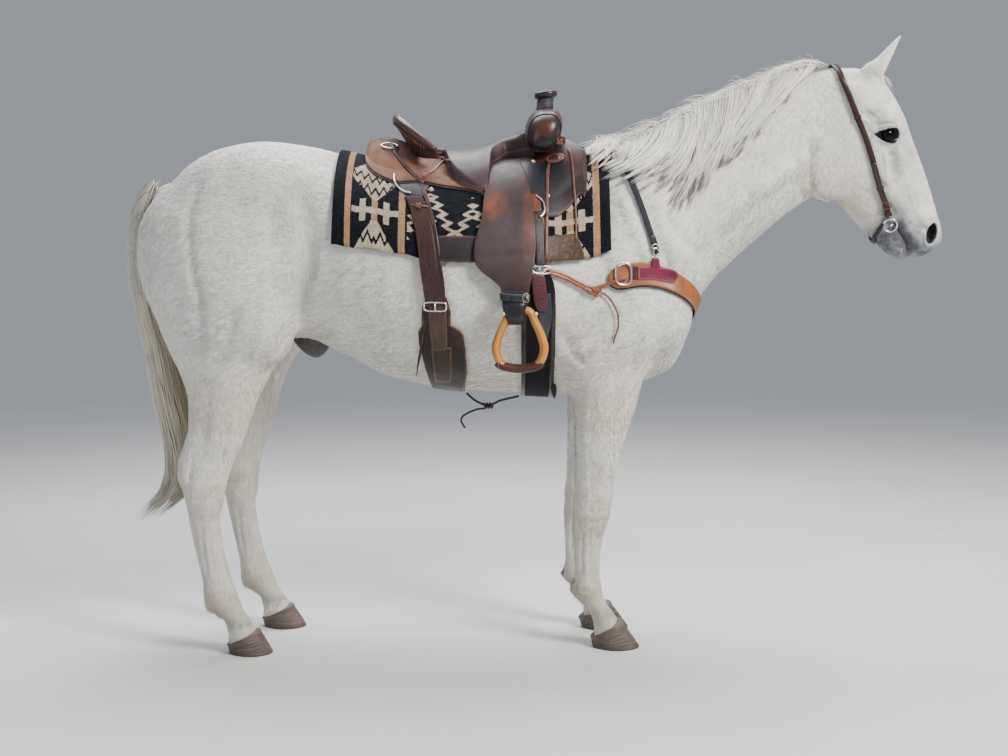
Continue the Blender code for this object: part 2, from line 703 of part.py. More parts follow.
def coronet(front, heel):
    """The plane of the hoof's top edge, through its front and its heel (x, z)."""
    (fx, fz), (hx, hz) = front, heel
    return Vector((fx, 0, fz)), Vector((-(fz - hz), 0, fx - hx)).normalized()


HOOVES = {
    # name: y, coronet at front, coronet at heel, toe on the ground, heel on the ground, half-width
    "hoof_fore_right": (FORE["right"][0], (0.272, 0.090), (0.176, 0.030), 0.334, 0.180, 0.064),
    "hoof_fore_left": (FORE["left"][0], (0.254, 0.088), (0.150, 0.030), 0.318, 0.158, 0.064),
    "hoof_hind_right": (HIND["right"][0], (-0.868, 0.074), (-0.972, 0.028), -0.826, -0.964, 0.060),
    "hoof_hind_left": (HIND["left"][0], (-0.810, 0.074), (-0.914, 0.028), -0.764, -0.906, 0.060),
}


def make_flesh():
    points, faces = surface(BODY, 0.011)
    points = settle(points, 2)
    mesh = bpy.data.meshes.new("flesh")
    mesh.from_pydata(points.tolist(), [], faces.tolist())
    ob = bpy.data.objects.new("flesh", mesh)
    bpy.context.scene.collection.objects.link(ob)
    mod = ob.modifiers.new("fewer", "DECIMATE")
    mod.ratio = FLESH_FACES / (2 * len(faces))
    graph = bpy.context.evaluated_depsgraph_get()
    fewer = bpy.data.meshes.new_from_object(ob.evaluated_get(graph))
    bpy.data.objects.remove(ob)
    bm = bmesh.new()
    bm.from_mesh(fewer)
    bmesh.ops.triangulate(bm, faces=bm.faces)
    keep_largest(bm)
    return bm


def shifted(plane, by):
    at, way = plane
    return at + way * by, way


def above(plane):
    at, way = shifted(plane, GAP / 2)
    return at, -way


def below(plane):
    return shifted(plane, -GAP / 2)


def piece(whole, *planes):
    """The largest part of the flesh left after these cuts."""
    bm = whole.copy()
    for plane in planes:
        sliced(bm, *plane)
    keep_largest(bm)
    return bm


def part_flesh(whole):
    """The whole flesh parted into trunk, neck, head and four legs."""
    obs = {
        "trunk": node("trunk", piece(whole, below(NECK_CUT), above(FORE_CUT), above(HIND_CUT)), "coat"),
        "neck": node("neck", piece(whole, above(NECK_CUT), below(HEAD_CUT)), "coat"),
        "head": node("head", piece(whole, above(HEAD_CUT)), "coat"),
    }
    for end, plane in (("fore", FORE_CUT), ("hind", HIND_CUT)):
        for name, side in SIDES.items():
            bm = whole.copy()
            sliced(bm, *below(plane))
            for group in islands(bm):
                middle = sum((v.co for v in group), Vector()) / len(group)
                if (middle.x > 0) != (end == "fore") or middle.y * side < 0:
                    bmesh.ops.delete(bm, geom=group, context="VERTS")
            _, front, heel, _, _, _ = HOOVES[f"hoof_{end}_{name}"]
            at, way = shifted(coronet(front, heel), GAP)
            sliced(bm, at, -way)
            obs[f"leg_{end}_{name}"] = node(f"leg_{end}_{name}", bm, "coat")
    return obs


def hoof(name, y, front, heel, toe, ground, half):
    """The hoof's wall, straight from the coronet to the ground, round in front and pinched behind."""
    (fx, fz), (hx, hz) = front, heel
    m = 14
    a = np.arange(m) * 2 * math.pi / m
    pinch = 1 - 0.22 * np.clip(-np.cos(a), 0, 1) ** 2
    rings = []
    for s in (0, 0.93, 1):
        flare = s if s < 1 else 0.97
        mid = (fx + hx) / 2 * (1 - flare) + (toe + ground) / 2 * flare
        rx = (fx - hx) / 2 * (1 - flare) + (toe - ground) / 2 * flare
        ry = 0.051 * (1 - flare) + half * flare
        x = mid + rx * np.cos(a)
        z = (hz + (fz - hz) * (np.cos(a) + 1) / 2) * (1 - s)
        rings.append(np.stack([x, y + ry * np.sin(a) * pinch, z], 1))
    return node(name, loft(rings), "hoof")


def ear(side):
    """A cupped leaf, open forwards and a little outwards."""
    base = np.array([1.043, side * 0.062, 1.790])
    tip = np.array([1.129, side * 0.074, 1.920])
    up = tip - base
    length = np.linalg.norm(up)
    up /= length
    face = np.array([0.80, side * 0.52, -0.30])
    face -= up * (face @ up)
    face /= np.linalg.norm(face)
    across = np.cross(up, face)
    rows = [(0.0, 0.030), (0.15, 0.036), (0.35, 0.037), (0.6, 0.029), (0.8, 0.018), (0.93, 0.008), (1.0, 0.003)]
    a = np.radians(np.linspace(-122, 122, 7))
    outer, inner = [], []
    for s, r in rows:
        bend = 0.010 * math.sin(math.pi * s)
        c = base + up * length * s - face * bend
        ring = np.cos(a)[:, None] * -face + np.sin(a)[:, None] * across
        thick = 0.004 if s < 0.9 else 0.0012
        outer.append(c + ring * r)
        inner.append(c + ring * max(r - thick, r * 0.4))
    return shell(np.array(inner), np.array(outer))


def eye(side):
    bm = bmesh.new()
    bmesh.ops.create_uvsphere(bm, u_segments=10, v_segments=7, radius=0.0235)
    for v in bm.verts:
        v.co += Vector(on_head(0.147, 0.064, side * 0.0765))
    return bm


# ---------------------------------------------------------------- mane and tail


def mane():
    """The hair thrown over to the right, from the withers to the poll."""
    rows = [
        # crest x, z, lower edge x, z
        (0.246, 1.580, 0.246, 1.440),
        (0.330, 1.600, 0.330, 1.405),
        (0.400, 1.632, 0.400, 1.400),
        (0.470, 1.668, 0.480, 1.408),
        (0.540, 1.700, 0.545, 1.450),
        (0.610, 1.730, 0.620, 1.535),
        (0.680, 1.757, 0.700, 1.605),
        (0.750, 1.781, 0.765, 1.690),
        (0.820, 1.803, 0.830, 1.755),
        (0.885, 1.818, 0.890, 1.795),
    ]
    rows = np.array(rows)
    n = len(rows)
    base = []
    for y in (0.020, -0.004):
        top = np.stack([rows[:, 0], np.full(n, y), np.full(n, 2.0)], 1)
        base.append(march(top, np.array([[0, 0, -1.0]])))
    top = base[-1]
    for s in (0.22, 0.48, 0.74, 1.0):
        x = rows[:, 0] * (1 - s) + rows[:, 2] * s
        z = (top[:, 2] - 0.012) * (1 - s) + rows[:, 3] * s
        base.append(from_side(x, z))
    base = np.stack(base, 1)
    low = np.array([0.0060, 0.0070, 0.0085, 0.0095, 0.0100, 0.0100])
    high = np.array([0.0110, 0.0200, 0.0200, 0.0200, 0.0190, 0.0135])
    return laid(base.reshape(-1, 3), (n, 6), low[None, :], high[None, :])


def forelock():
    top = [on_head(t, 0.2, y) for t in (-0.055, -0.02, 0.02, 0.055) for y in (-0.022, 0, 0.022)]
    way = np.array([[-0.893, 0, -0.45]])
    base = march(top, way).reshape(4, 3, 3)
    return laid(base.reshape(-1, 3), (4, 3), 0.005, np.array([[0.011], [0.014], [0.012], [0.008]]))


def tail():
    rows = [
        # z, rear x, depth, half-width
        (1.462, -1.232, 0.050, 0.026),
        (1.425, -1.262, 0.066, 0.034),
        (1.371, -1.282, 0.070, 0.040),
        (1.300, -1.289, 0.074, 0.046),
        (1.200, -1.289, 0.078, 0.052),
        (1.080, -1.278, 0.086, 0.058),
        (0.950, -1.250, 0.098, 0.064),
        (0.820, -1.234, 0.110, 0.068),
        (0.700, -1.208, 0.116, 0.068),
        (0.600, -1.192, 0.116, 0.064),
        (0.520, -1.193, 0.114, 0.058),
        (0.460, -1.211, 0.112, 0.044),
        (0.412, -1.230, 0.100, 0.022),
    ]
    m = 10
    a = np.arange(m) * 2 * math.pi / m
    rings = []
    for z, rear, depth, half in rows:
        x = rear + depth / 2 - depth / 2 * np.cos(a)
        lean = (x - rear) * (0.25 if z > 1.4 else 0.06)
        rings.append(np.stack([x, half * np.sin(a), z + lean], 1))
    return loft(rings)


def sheath():
    bm = bmesh.new()
    bmesh.ops.create_uvsphere(bm, u_segments=10, v_segments=6, radius=1)
    for v in bm.verts:
        x, y, z = v.co
        taper = 1 - 0.25 * max(0.0, -z)
        v.co = Vector((-0.715 + 0.062 * x * taper - 0.012 * z, 0.045 * y * taper, 0.978 + 0.062 * z))
    return bm


# ---------------------------------------------------------------- the tack

BLANKET = (0.0066, 0.0140)  # the stand-off of each layer from the horse, inner and outer
SKIRT_EDGE = 0.0215
FENDER = (0.0245, 0.0300)


def edge_angle(x, z_edge, layer, height=1.2):
    """The angle about the trunk at which a layer's outline comes down to each height."""
    angle = np.full(len(x), 1.3)
    for _ in range(6):
        p = around(x, angle, height)
        r = np.hypot(p[:, 1], p[:, 2] - height) + layer
        angle = np.arccos(np.clip((z_edge - height) / r, -0.99, 0.99))
    return angle


def draped(x_rows, z_edge, columns, low, high):
    """A piece over the back, from its lower edge on one side to that on the other.

    low and high are functions of (x, share), share being 0 on the spine and 1 at the edge."""
    x_rows, z_edge = np.array(x_rows, float), np.array(z_edge, float)
    angle = edge_angle(x_rows, z_edge, 0.02)
    s = np.linspace(-1, 1, columns)
    s = np.sign(s) * np.abs(s) ** 1.35
    x = np.repeat(x_rows, columns)
    grid = around(x, (angle[:, None] * s[None]).ravel())
    share = np.abs(np.tile(s, len(x_rows)))
    shape = (len(x_rows), columns)
    return laid(grid, shape, low(x, share).reshape(shape), high(x, share).reshape(shape))


def table(rows):
    """A smooth function through (x, value) rows."""
    return lambda x: pchip(rows, np.ravel(x))[:, 0]


def blanket():
    rows = [(-0.616, 1.283), (-0.41, 1.253), (-0.26, 1.228), (0.04, 1.228), (0.13, 1.236), (0.225, 1.262)]
    x = np.linspace(-0.616, 0.225, 10)
    level = [lambda x, s, h=h: h * np.ones_like(x) for h in BLANKET]
    return draped(x, table(rows)(x), 15, *level)


def skirts():
    edge = [
        (-0.538, 1.575), (-0.525, 1.530), (-0.495, 1.500), (-0.43, 1.473), (-0.30, 1.457),
        (-0.19, 1.437), (-0.10, 1.405), (-0.02, 1.376), (0.045, 1.366), (0.090, 1.388),
        (0.128, 1.430), (0.147, 1.485), (0.154, 1.545),
    ]
    top = table([(-0.54, 0.062), (-0.44, 0.070), (-0.30, 0.050), (0.0, 0.045), (0.10, 0.060), (0.16, 0.046)])

    def high(x, share):
        swell = np.clip(1 - share / 0.75, 0, 1) ** 1.2
        return SKIRT_EDGE + (top(x) - SKIRT_EDGE) * swell

    x, z = np.array(edge).T
    return draped(x, z, 11, lambda x, s: 0.0174 * np.ones_like(x), high)


def seat():
    """The seat and its side jockeys, dished between the cantle and the fork."""
    edge = [
        (-0.390, 1.545), (-0.345, 1.540), (-0.300, 1.515), (-0.262, 1.471), (-0.217, 1.450),
        (-0.175, 1.440), (-0.162, 1.470), (-0.150, 1.512), (-0.10, 1.532), (-0.055, 1.546), (-0.020, 1.556),
    ]
    spine = [(-0.39, 1.590), (-0.34, 1.584), (-0.24, 1.578), (-0.19, 1.583), (-0.145, 1.596)]
    spine += [(-0.10, 1.611), (-0.05, 1.624), (-0.02, 1.640)]
    top = table(spine)
    broad = table([(-0.39, 5.0), (-0.30, 3.5), (-0.20, 1.7), (-0.10, 1.4), (-0.02, 1.4)])

    def high(x, share):
        rise = top(x) - around(x, np.zeros(len(x)))[:, 2]
        return 0.0285 + (rise - 0.0285) * (1 - share ** broad(x))

    x, z = np.array(edge).T
    return draped(x, z, 11, lambda x, s: 0.0225 * np.ones_like(x), high)


def cantle():
    """The dished plate behind the seat, leaning back to a rolled rim."""
    a = np.radians(np.linspace(-86, 86, 11))
    inner, outer = [], []
    for s in (0.0, 0.5, 0.85, 1.0):
        tall = np.cos(a) ** 0.75
        x = -0.330 - 0.045 * np.cos(a) - 0.066 * s * tall
        y = (0.150 + 0.016 * s) * np.sin(a)
        z = 1.530 + 0.030 * np.cos(a) + s * (0.028 + 0.082 * tall)
        width = 0.013 + 0.008 * s
        inner.append(np.stack([x + width * 0.8, y * 0.95, z + width * 0.4], 1))
        outer.append(np.stack([x - width * 0.5, y, z - width * 0.25], 1))
    return shell(np.array(inner), np.array(outer))


def fork():
    """The swell: a rounded bar across the withers."""
    m = 12
    a = np.arange(m) * 2 * math.pi / m
    rings = []
    rows = [(-0.150, 0.016), (-0.142, 0.036), (-0.122, 0.049), (-0.07, 0.057), (0.0, 0.060)]
    rows += [(-y, r) for y, r in rows[-2::-1]]
    for y, r in rows:
        lift = 0.020 * (1 - (y / 0.15) ** 2)
        x = 0.030 + 0.95 * r * np.cos(a) + 0.25 * r * np.sin(a)
        z = 1.608 + lift + 1.12 * r * np.sin(a)
        rings.append(np.stack([x, np.full(m, y), z], 1))
    return loft(rings)


def horn():
    m = 10
    a = np.arange(m) * 2 * math.pi / m
    rings = []
    for x, z, r in (
        (0.026, 1.668, 0.040), (0.027, 1.700, 0.033), (0.029, 1.722, 0.026), (0.031, 1.738, 0.026),
        (0.032, 1.742, 0.034), (0.032, 1.752, 0.035), (0.032, 1.760, 0.027),
    ):
        rings.append(np.stack([x + r * np.cos(a), r * np.sin(a), z + 0.10 * r * np.cos(a)], 1))
    return loft(rings)


def fender():
    rows = [
        (1.500, -0.140, -0.036), (1.453, -0.156, -0.023), (1.410, -0.162, -0.015), (1.365, -0.166, -0.009),
        (1.325, -0.176, -0.006), (1.285, -0.187, -0.004), (1.250, -0.190, -0.006), (1.222, -0.184, -0.009),
        (1.200, -0.168, -0.013), (1.170, -0.130, -0.019), (1.146, -0.109, -0.024),
    ]
    z = np.array([r[0] for r in rows])
    away = np.clip((1.25 - z) / 0.11, 0, 1) * 0.010 + np.clip((z - 1.38) / 0.12, 0, 1) ** 1.5 * 0.015
    return panel(straight(rows), 4, FENDER[0] + away, FENDER[1] + away)


STIRRUP_OUT = 0.358


def stirrup():
    """A bell-shaped wooden loop hanging flat along the horse's side."""
    right = [
        (-0.0525, 1.086, 0.012), (-0.034, 1.085, 0.012), (-0.020, 1.077, 0.012), (-0.008, 1.050, 0.0125),
        (0.010, 1.010, 0.0130), (0.019, 0.972, 0.0135), (0.010, 0.937, 0.013), (-0.012, 0.917, 0.012),
    ]
    left = [(-0.105 - x, z, r) for x, z, r in right[::-1]]
    loop = right + [(-0.0525, 0.911, 0.012)] + left[:-1]  # once round from the middle of the top
    loop = np.array(loop)
    path = np.stack([loop[:, 0], np.full(len(loop), -STIRRUP_OUT), loop[:, 1]], 1)
    return swept(path, loop[:, 2], sides=6, flat=1.9)


def stirrup_leather(side):
    """The hobbled end of the fender, doubled round the stirrup's top bar."""
    rings = []
    for z, x0, x1, d in (
        (1.138, -0.109, -0.026, 0.018), (1.118, -0.108, -0.028, 0.034), (1.102, -0.106, -0.032, 0.058),
        (1.078, -0.101, -0.036, 0.062), (1.058, -0.098, -0.038, 0.056), (1.044, -0.092, -0.044, 0.030),
    ):
        x = [x0, x1, x1, x0]
        y = [side * (STIRRUP_OUT + d / 2)] * 2 + [side * (STIRRUP_OUT - d / 2)] * 2
        rings.append(np.stack([x, y, [z] * 4], 1))
    return loft(rings)


def touch(obs, x, z):
    """Where rays from the right meet these nodes first: points and normals."""
    bm = bmesh.new()
    for ob in obs:
        bm.from_mesh(ob.data)
    tree = BVHTree.FromBMesh(bm)
    hits = [tree.ray_cast(Vector((a, -0.6, b)), Vector((0, 1, 0)))[:2] for a, b in zip(x, z)]
    bm.free()
    return np.array([h[0] for h in hits]), np.array([h[1] for h in hits])


def ring_on(obs, centre, width, height, bar, level=0.0022, power=2.0, count=12):
    """A ring lying flat on the right side of these nodes, clear of them by level."""
    a = np.arange(count) * 2 * math.pi / count
    c, s = np.cos(a), np.sin(a)
    x = centre[0] + np.sign(c) * np.abs(c) ** (2 / power) * width / 2
    z = centre[1] + np.sign(s) * np.abs(s) ** (2 / power) * height / 2
    way = touch(obs, [centre[0]], [centre[1]])[1][0]
    flat = ((x - centre[0]) * way[0] + (z - centre[1]) * way[2]) / -way[1]
    under = touch(obs, np.append(x, centre[0]), np.append(z, centre[1]))[0][:, 1]
    lift = (bar + level) / abs(way[1])
    y = flat + (under - np.append(flat, 0)).min() - lift
    return swept(np.stack([x, y, z], 1), bar, sides=5)


def lying(obs, path, radius, count=16, off=0.0025):
    """A lace's middle line over the right side of these nodes, given in the side view."""
    path = np.array(path, float)
    steps = np.concatenate([[0], np.cumsum(np.linalg.norm(np.diff(path, axis=0), axis=1))])
    at = np.linspace(0, steps[-1], count)
    x, z = pchip(np.column_stack([steps, path]), at).T
    y = touch(obs, x, z)[0][:, 1] - radius - off
    for _ in range(3):
        smooth = np.convolve(np.pad(y, 1, "edge"), [0.25, 0.5, 0.25], "valid")
        y = np.minimum(y, smooth)
    return np.stack([x, y, z], 1)


def lace(line, width, thick):
    """A flat thong along its middle line, its broad side turned outwards."""
    way = np.gradient(line, axis=0)
    across = np.cross(way, [0, -1.0, 0])
    across /= np.linalg.norm(across, axis=1)[:, None]
    out = np.cross(across, way)
    out /= np.linalg.norm(out, axis=1)[:, None]
    corners = [(-0.5, -0.5), (0.5, -0.5), (0.5, 0.5), (-0.5, 0.5)]
    return loft(np.stack([line + across * width * a + out * thick * b for a, b in corners], 1))


def rear_billet():
    rows = [
        (1.450, -0.392, -0.338), (1.400, -0.380, -0.326), (1.340, -0.368, -0.310), (1.270, -0.357, -0.296),
        (1.232, -0.352, -0.288), (1.180, -0.344, -0.280), (1.1265, -0.335, -0.272),
    ]
    low = [0.0172, 0.0172, 0.0172, 0.0172, 0.0172, 0.009, 0.0055]
    return panel(straight(rows), 3, low, np.array(low) + 0.0045)


def flank_cinch():
    """The flank strap: a tongue, a wide end and the belt under the belly, one piece right round."""
    rows = [
        # angle from straight up, rear x, front x
        (104, -0.334, -0.273), (110, -0.333, -0.272), (115, -0.334, -0.262), (120, -0.352, -0.232),
        (124, -0.360, -0.222), (134, -0.352, -0.218), (146, -0.342, -0.215), (158, -0.331, -0.221),
        (169, -0.326, -0.226), (180, -0.326, -0.226),
    ]
    return belt(rows, 0.0045, 0.0100)


def belt(rows, low, high, height=1.2, columns=3):
    rows = rows + [(360 - a, x0, x1) for a, x0, x1 in rows[-2::-1]]
    rows = np.array(rows, float)
    s = np.linspace(0, 1, columns)
    x = rows[:, 1:2] * (1 - s) + rows[:, 2:3] * s
    angle = np.repeat(np.radians(-rows[:, 0]), columns)
    return laid(around(x, angle, height), x.shape, low, high)


def front_cinch():
    rows = [
        (92, -0.016, 0.040), (97, -0.030, 0.046), (104, -0.044, 0.052), (114, -0.048, 0.055),
        (126, -0.048, 0.055), (138, -0.047, 0.055), (150, -0.046, 0.055), (160, -0.046, 0.055),
        (170, -0.046, 0.055), (180, -0.046, 0.055),
    ]
    return belt(rows, 0.0045, 0.0110)


def latigo():
    rows = [(1.362, -0.005, 0.021), (1.310, -0.005, 0.021), (1.260, -0.005, 0.021), (1.222, -0.005, 0.022)]
    low = [0.0175, 0.0170, 0.0170, 0.0170]
    return panel(straight(rows), 2, low, np.array(low) + 0.006)


def cinch_tongue():
    rows = [(1.182, -0.020, 0.024), (1.140, -0.021, 0.023), (1.100, -0.021, 0.022), (1.050, -0.014, 0.024), (1.010, -0.013, 0.024)]
    return panel(straight(rows), 3, 0.0125 * np.ones(5), 0.0175 * np.ones(5))


def breast_collar():
    rows = [
        # azimuth, centre height, half-width
        (-84, 1.177, 0.018), (-80, 1.178, 0.031), (-72, 1.184, 0.036), (-62, 1.189, 0.036), (-52, 1.184, 0.035),
        (-42, 1.166, 0.035), (-32, 1.136, 0.036), (-22, 1.104, 0.036), (-11, 1.076, 0.036), (0, 1.066, 0.036),
    ]
    rows += [(-a, z, w) for a, z, w in rows[-2::-1]]
    rows = np.array(rows, float)
    s = np.linspace(-1, 1, 4)
    z = (rows[:, 1:2] + rows[:, 2:3] * s).ravel()
    a = np.repeat(np.radians(rows[:, 0]), 4)
    way = np.stack([np.cos(a), np.sin(a), 0 * a], 1)
    centre = np.stack([np.full(len(a), 0.2), 0 * a, z], 1)
    base = march(centre + way * 0.42, -way)
    return laid(base, (len(rows), 4), 0.0055, 0.0110)


def neck_strap():
    """From one side of the breast collar to the other, over the neck before the withers."""
    height = 1.25
    a = np.radians(np.concatenate([np.linspace(-91, -20, 7), np.linspace(-10, 10, 3), np.linspace(20, 91, 7)]))
    x = np.full(len(a), 0.33)
    for _ in range(6):
        p = around(x, a, height)
        x = 0.366 - (p[:, 2] - 1.25) * 0.34
    s = np.linspace(-0.5, 0.5, 2) * 0.019
    grid = (x[:, None] + s[None]).ravel()
    return laid(around(grid, np.repeat(a, 2), height), (len(a), 2), 0.0050, 0.0080)


def tug():
    path = [(0.046, 1.196), (0.080, 1.184), (0.112, 1.170), (0.148, 1.155), (0.178, 1.146), (0.205, 1.152), (0.228, 1.162)]
    x, z = np.array(path).T
    low = np.array([0.0130, 0.0090, 0.0070, 0.0060, 0.0065, 0.0120, 0.0135])
    return strap(from_side(x, z), 0.017, low, low + 0.005, across=2)


def headstall():
    """One strap from the right bit ring up the cheek, over the poll and down to the left."""
    side = [
        (1.109, 1.366), (1.100, 1.400), (1.084, 1.436), (1.061, 1.493), (1.043, 1.547), (1.024, 1.601),
        (0.994, 1.672), (0.966, 1.745), (0.948, 1.790),
    ]
    x, z = np.array(side).T
    right = from_side(x, z)
    top = np.array([[0.938, -0.045, 1.830], [0.934, -0.015, 1.842], [0.934, 0.015, 1.842], [0.938, 0.045, 1.830]])
    left = right[::-1] * [1, -1, 1]
    path = np.concatenate([right, top, left])
    return strap(path, 0.019, 0.0050, 0.0092, across=2)


def curb_strap():
    right = from_side(np.array([1.092, 1.076]), np.array([1.338, 1.306]))
    under = np.array([[1.066, -0.026, 1.280], [1.062, 0.0, 1.270], [1.066, 0.026, 1.280]])
    path = np.concatenate([right, under, right[::-1] * [1, -1, 1]])
    return strap(path, 0.012, 0.0045, 0.0080, across=2)


def box_of(ob):
    points = np.array([v.co[:] for v in ob.data.vertices])
    return points.min(0) - 0.001, points.max(0) + 0.001


def fitted(obs, under, by=GAP):
    """Cuts these nodes clear of those beneath them, wherever their boxes meet."""
    for ob in obs:
        for other in under:
            (low, high), (base, roof) = box_of(ob), box_of(other)
            if (low < roof).all() and (base < high).all():
                boolean(ob, inflated([other], by))
    return obs


def hair_and_eyes(flesh):
    """Eyes, ears, tail, sheath and forelock, each cut clear of the flesh."""
    for name, side in SIDES.items():
        ball = node("eye_" + name, eye(side), "eye")
        boolean(flesh["head"], inflated([ball], 0.0004))
        fitted([node("ear_" + name, ear(side), "coat")], [flesh["head"]])
    rear = [flesh["trunk"], flesh["leg_hind_right"], flesh["leg_hind_left"]]
    fitted([node("tail", tail(), "tail_hair"), node("sheath", sheath(), "dark_skin")], rear)
    return node("forelock", forelock(), "mane_hair")


def saddle(flesh):
    """Blanket, skirts, seat with its cantle, fork and horn, from the horse's back up."""
    cloth = node("blanket", blanket(), "blanket")
    fitted([cloth], [flesh["trunk"], flesh["neck"]])
    pads = node("saddle_skirts", skirts(), "tan_leather")
    fitted([pads], [cloth], 0.0007)
    top = node("saddle_seat", seat(), "dark_leather")
    boolean(top, node("plate", cantle(), "dark_leather"), "UNION")
    fitted([top], [pads, cloth])
    swell = node("saddle_fork", fork(), "dark_leather")
    fitted([swell], [pads, top, cloth])
    fitted([node("saddle_horn", horn(), "black_web")], [swell])
    return cloth, pads, top


def stirrups(under):
    """Fenders, stirrups and the hobbled leathers that join them."""
    flaps = fitted(both("fender", fender(), "dark_leather"), under)
    loops = both("stirrup", stirrup(), "wood")
    for loop, name in zip(loops, SIDES):
        end = node("stirrup_leather_" + name, stirrup_leather(SIDES[name]), "dark_leather")
        fitted([end], [loop], 0.0006)
    return flaps


def ring(name, under, centre, width, height, bar, power):
    return both(name, ring_on(under, centre, width, height, bar, power=power), "steel")


def build():
    for ob in list(bpy.data.objects):
        bpy.data.objects.remove(ob)
    flesh = part_flesh(make_flesh())
    for name, row in HOOVES.items():
        hoof(name, *row)
    lock = hair_and_eyes(flesh)
    cloth, pads, top = saddle(flesh)
    skin = [flesh["trunk"], flesh["neck"]]
    flaps = stirrups([pads, top, cloth])

    flank = node("flank_cinch", flank_cinch(), "dark_leather")
    girth = node("front_cinch", front_cinch(), "black_web")
    collar = node("breast_collar", breast_collar(), "collar_leather")
    fitted([flank, girth, collar], skin)
    over = skin + [cloth, pads, flank, girth]
    billets = fitted(both("rear_billet", rear_billet(), "dark_leather"), over)
    ties = fitted(both("latigo", latigo(), "dark_leather"), over + flaps)
    tongues = fitted(both("cinch_tongue", cinch_tongue(), "dark_leather"), over + ties)
    pulls = fitted(both("tug_strap", tug(), "collar_leather"), over + ties + tongues + [collar])
    across = node("collar_neck_strap", neck_strap(), "black_web")
    fitted([across], skin + [collar, cloth])
    halter = node("headstall", headstall(), "dark_leather")
    chin = node("curb_strap", curb_strap(), "black_web")
    face = [flesh["head"], flesh["neck"]]
    fitted([halter, chin], face)

    ring("flank_buckle", skin + [billets[0], flank], (-0.305, 1.094), 0.070, 0.028, 0.0032, 4)
    ring("cinch_ring", over + [ties[0], tongues[0]], (0.012, 1.203), 0.060, 0.024, 0.0035, 3)
    ring("collar_ring", skin + [collar, pulls[0]], (0.262, 1.190), 0.046, 0.066, 0.0030, 2.6)
    bits = ring("bit_ring", face + [halter, chin], (1.116, 1.338), 0.040, 0.040, 0.0032, 2)
    fitted([chin, halter], bits)
    ring("saddle_ring", [pads, top], (-0.458, 1.578), 0.048, 0.040, 0.0028, 2)

    hair = node("mane", mane(), "mane_hair")
    fitted([hair, lock], skin + face + [cloth, across, halter])

    side = over + [top, billets[0], flaps[0], ties[0], tongues[0], collar, pulls[0]]
    down = [(-0.444, 1.552), (-0.40, 1.530), (-0.352, 1.470), (-0.322, 1.400), (-0.296, 1.290), (-0.281, 1.150)]
    end = [(0.176, 1.142), (0.204, 1.133), (0.226, 1.112), (0.247, 1.067), (0.241, 1.021), (0.229, 0.985)]
    for name, path, mat in (("rear_string", down, "dark_leather"), ("tug_tail", end, "collar_leather")):
        thongs = both(name, lace(lying(side, path, 0.0025, len(path) * 3 - 2), 0.009, 0.0045), mat)
        fitted(thongs, over + [top, collar] + billets + pulls)

    low = around(np.array([-0.226, -0.046]), np.radians([180, 180]))[:, 2] - 0.014
    link = [(-0.221, 0, low[0]), (-0.190, 0, 0.776), (-0.150, 0, 0.762), (-0.110, 0, 0.778), (-0.052, 0, low[1])]
    cord("cinch_connector", link, 0.004, "black_web")
    loose = [(-0.158, 0, 0.752), (-0.190, 0, 0.748), (-0.228, 0, 0.730), (-0.238, 0, 0.712), (-0.226, 0, 0.689)]
    cord("connector_end", loose, 0.0035, "black_web")


build()
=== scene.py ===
import json
import math

import bmesh
import bpy
import numpy as np
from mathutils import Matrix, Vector
from mathutils.bvhtree import BVHTree

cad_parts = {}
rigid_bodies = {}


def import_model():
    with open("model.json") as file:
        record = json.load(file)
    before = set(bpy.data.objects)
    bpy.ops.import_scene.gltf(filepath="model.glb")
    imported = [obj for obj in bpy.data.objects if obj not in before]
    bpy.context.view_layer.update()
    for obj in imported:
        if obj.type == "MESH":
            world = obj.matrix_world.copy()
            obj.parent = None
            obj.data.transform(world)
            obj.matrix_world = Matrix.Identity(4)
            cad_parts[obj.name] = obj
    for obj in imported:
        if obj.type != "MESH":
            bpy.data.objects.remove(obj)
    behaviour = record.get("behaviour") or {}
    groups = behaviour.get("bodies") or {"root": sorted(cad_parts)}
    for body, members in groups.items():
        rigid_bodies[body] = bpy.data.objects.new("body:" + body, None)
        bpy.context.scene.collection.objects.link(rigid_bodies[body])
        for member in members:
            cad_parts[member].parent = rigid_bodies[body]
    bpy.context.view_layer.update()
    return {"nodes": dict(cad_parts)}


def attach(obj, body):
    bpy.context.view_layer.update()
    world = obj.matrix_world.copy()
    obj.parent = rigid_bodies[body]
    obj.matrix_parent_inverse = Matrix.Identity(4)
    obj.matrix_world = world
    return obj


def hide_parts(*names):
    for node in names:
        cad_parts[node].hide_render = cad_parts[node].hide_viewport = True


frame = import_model()
SIDES = {"right": -1, "left": 1}
COAT = 0.0035  # how deep the skin lies under the tips of the body's hair
ROOT = "root"  # the frame's one body

# ---------------------------------------------------------------- camera

CAMERA_LENS, CAMERA_DIP = 52.46, 5.37  # millimetres, and degrees below level
CAMERA_PLACE = (-0.10, -4.70, 1.292)


def make_camera():
    data = bpy.data.cameras.new("camera")
    data.lens, data.sensor_width = CAMERA_LENS, 36
    camera = bpy.data.objects.new("camera", data)
    bpy.context.scene.collection.objects.link(camera)
    camera.location = CAMERA_PLACE
    camera.rotation_euler = (math.radians(90 - CAMERA_DIP), 0, 0)
    bpy.context.scene.camera = camera


make_camera()

# ---------------------------------------------------------------- materials


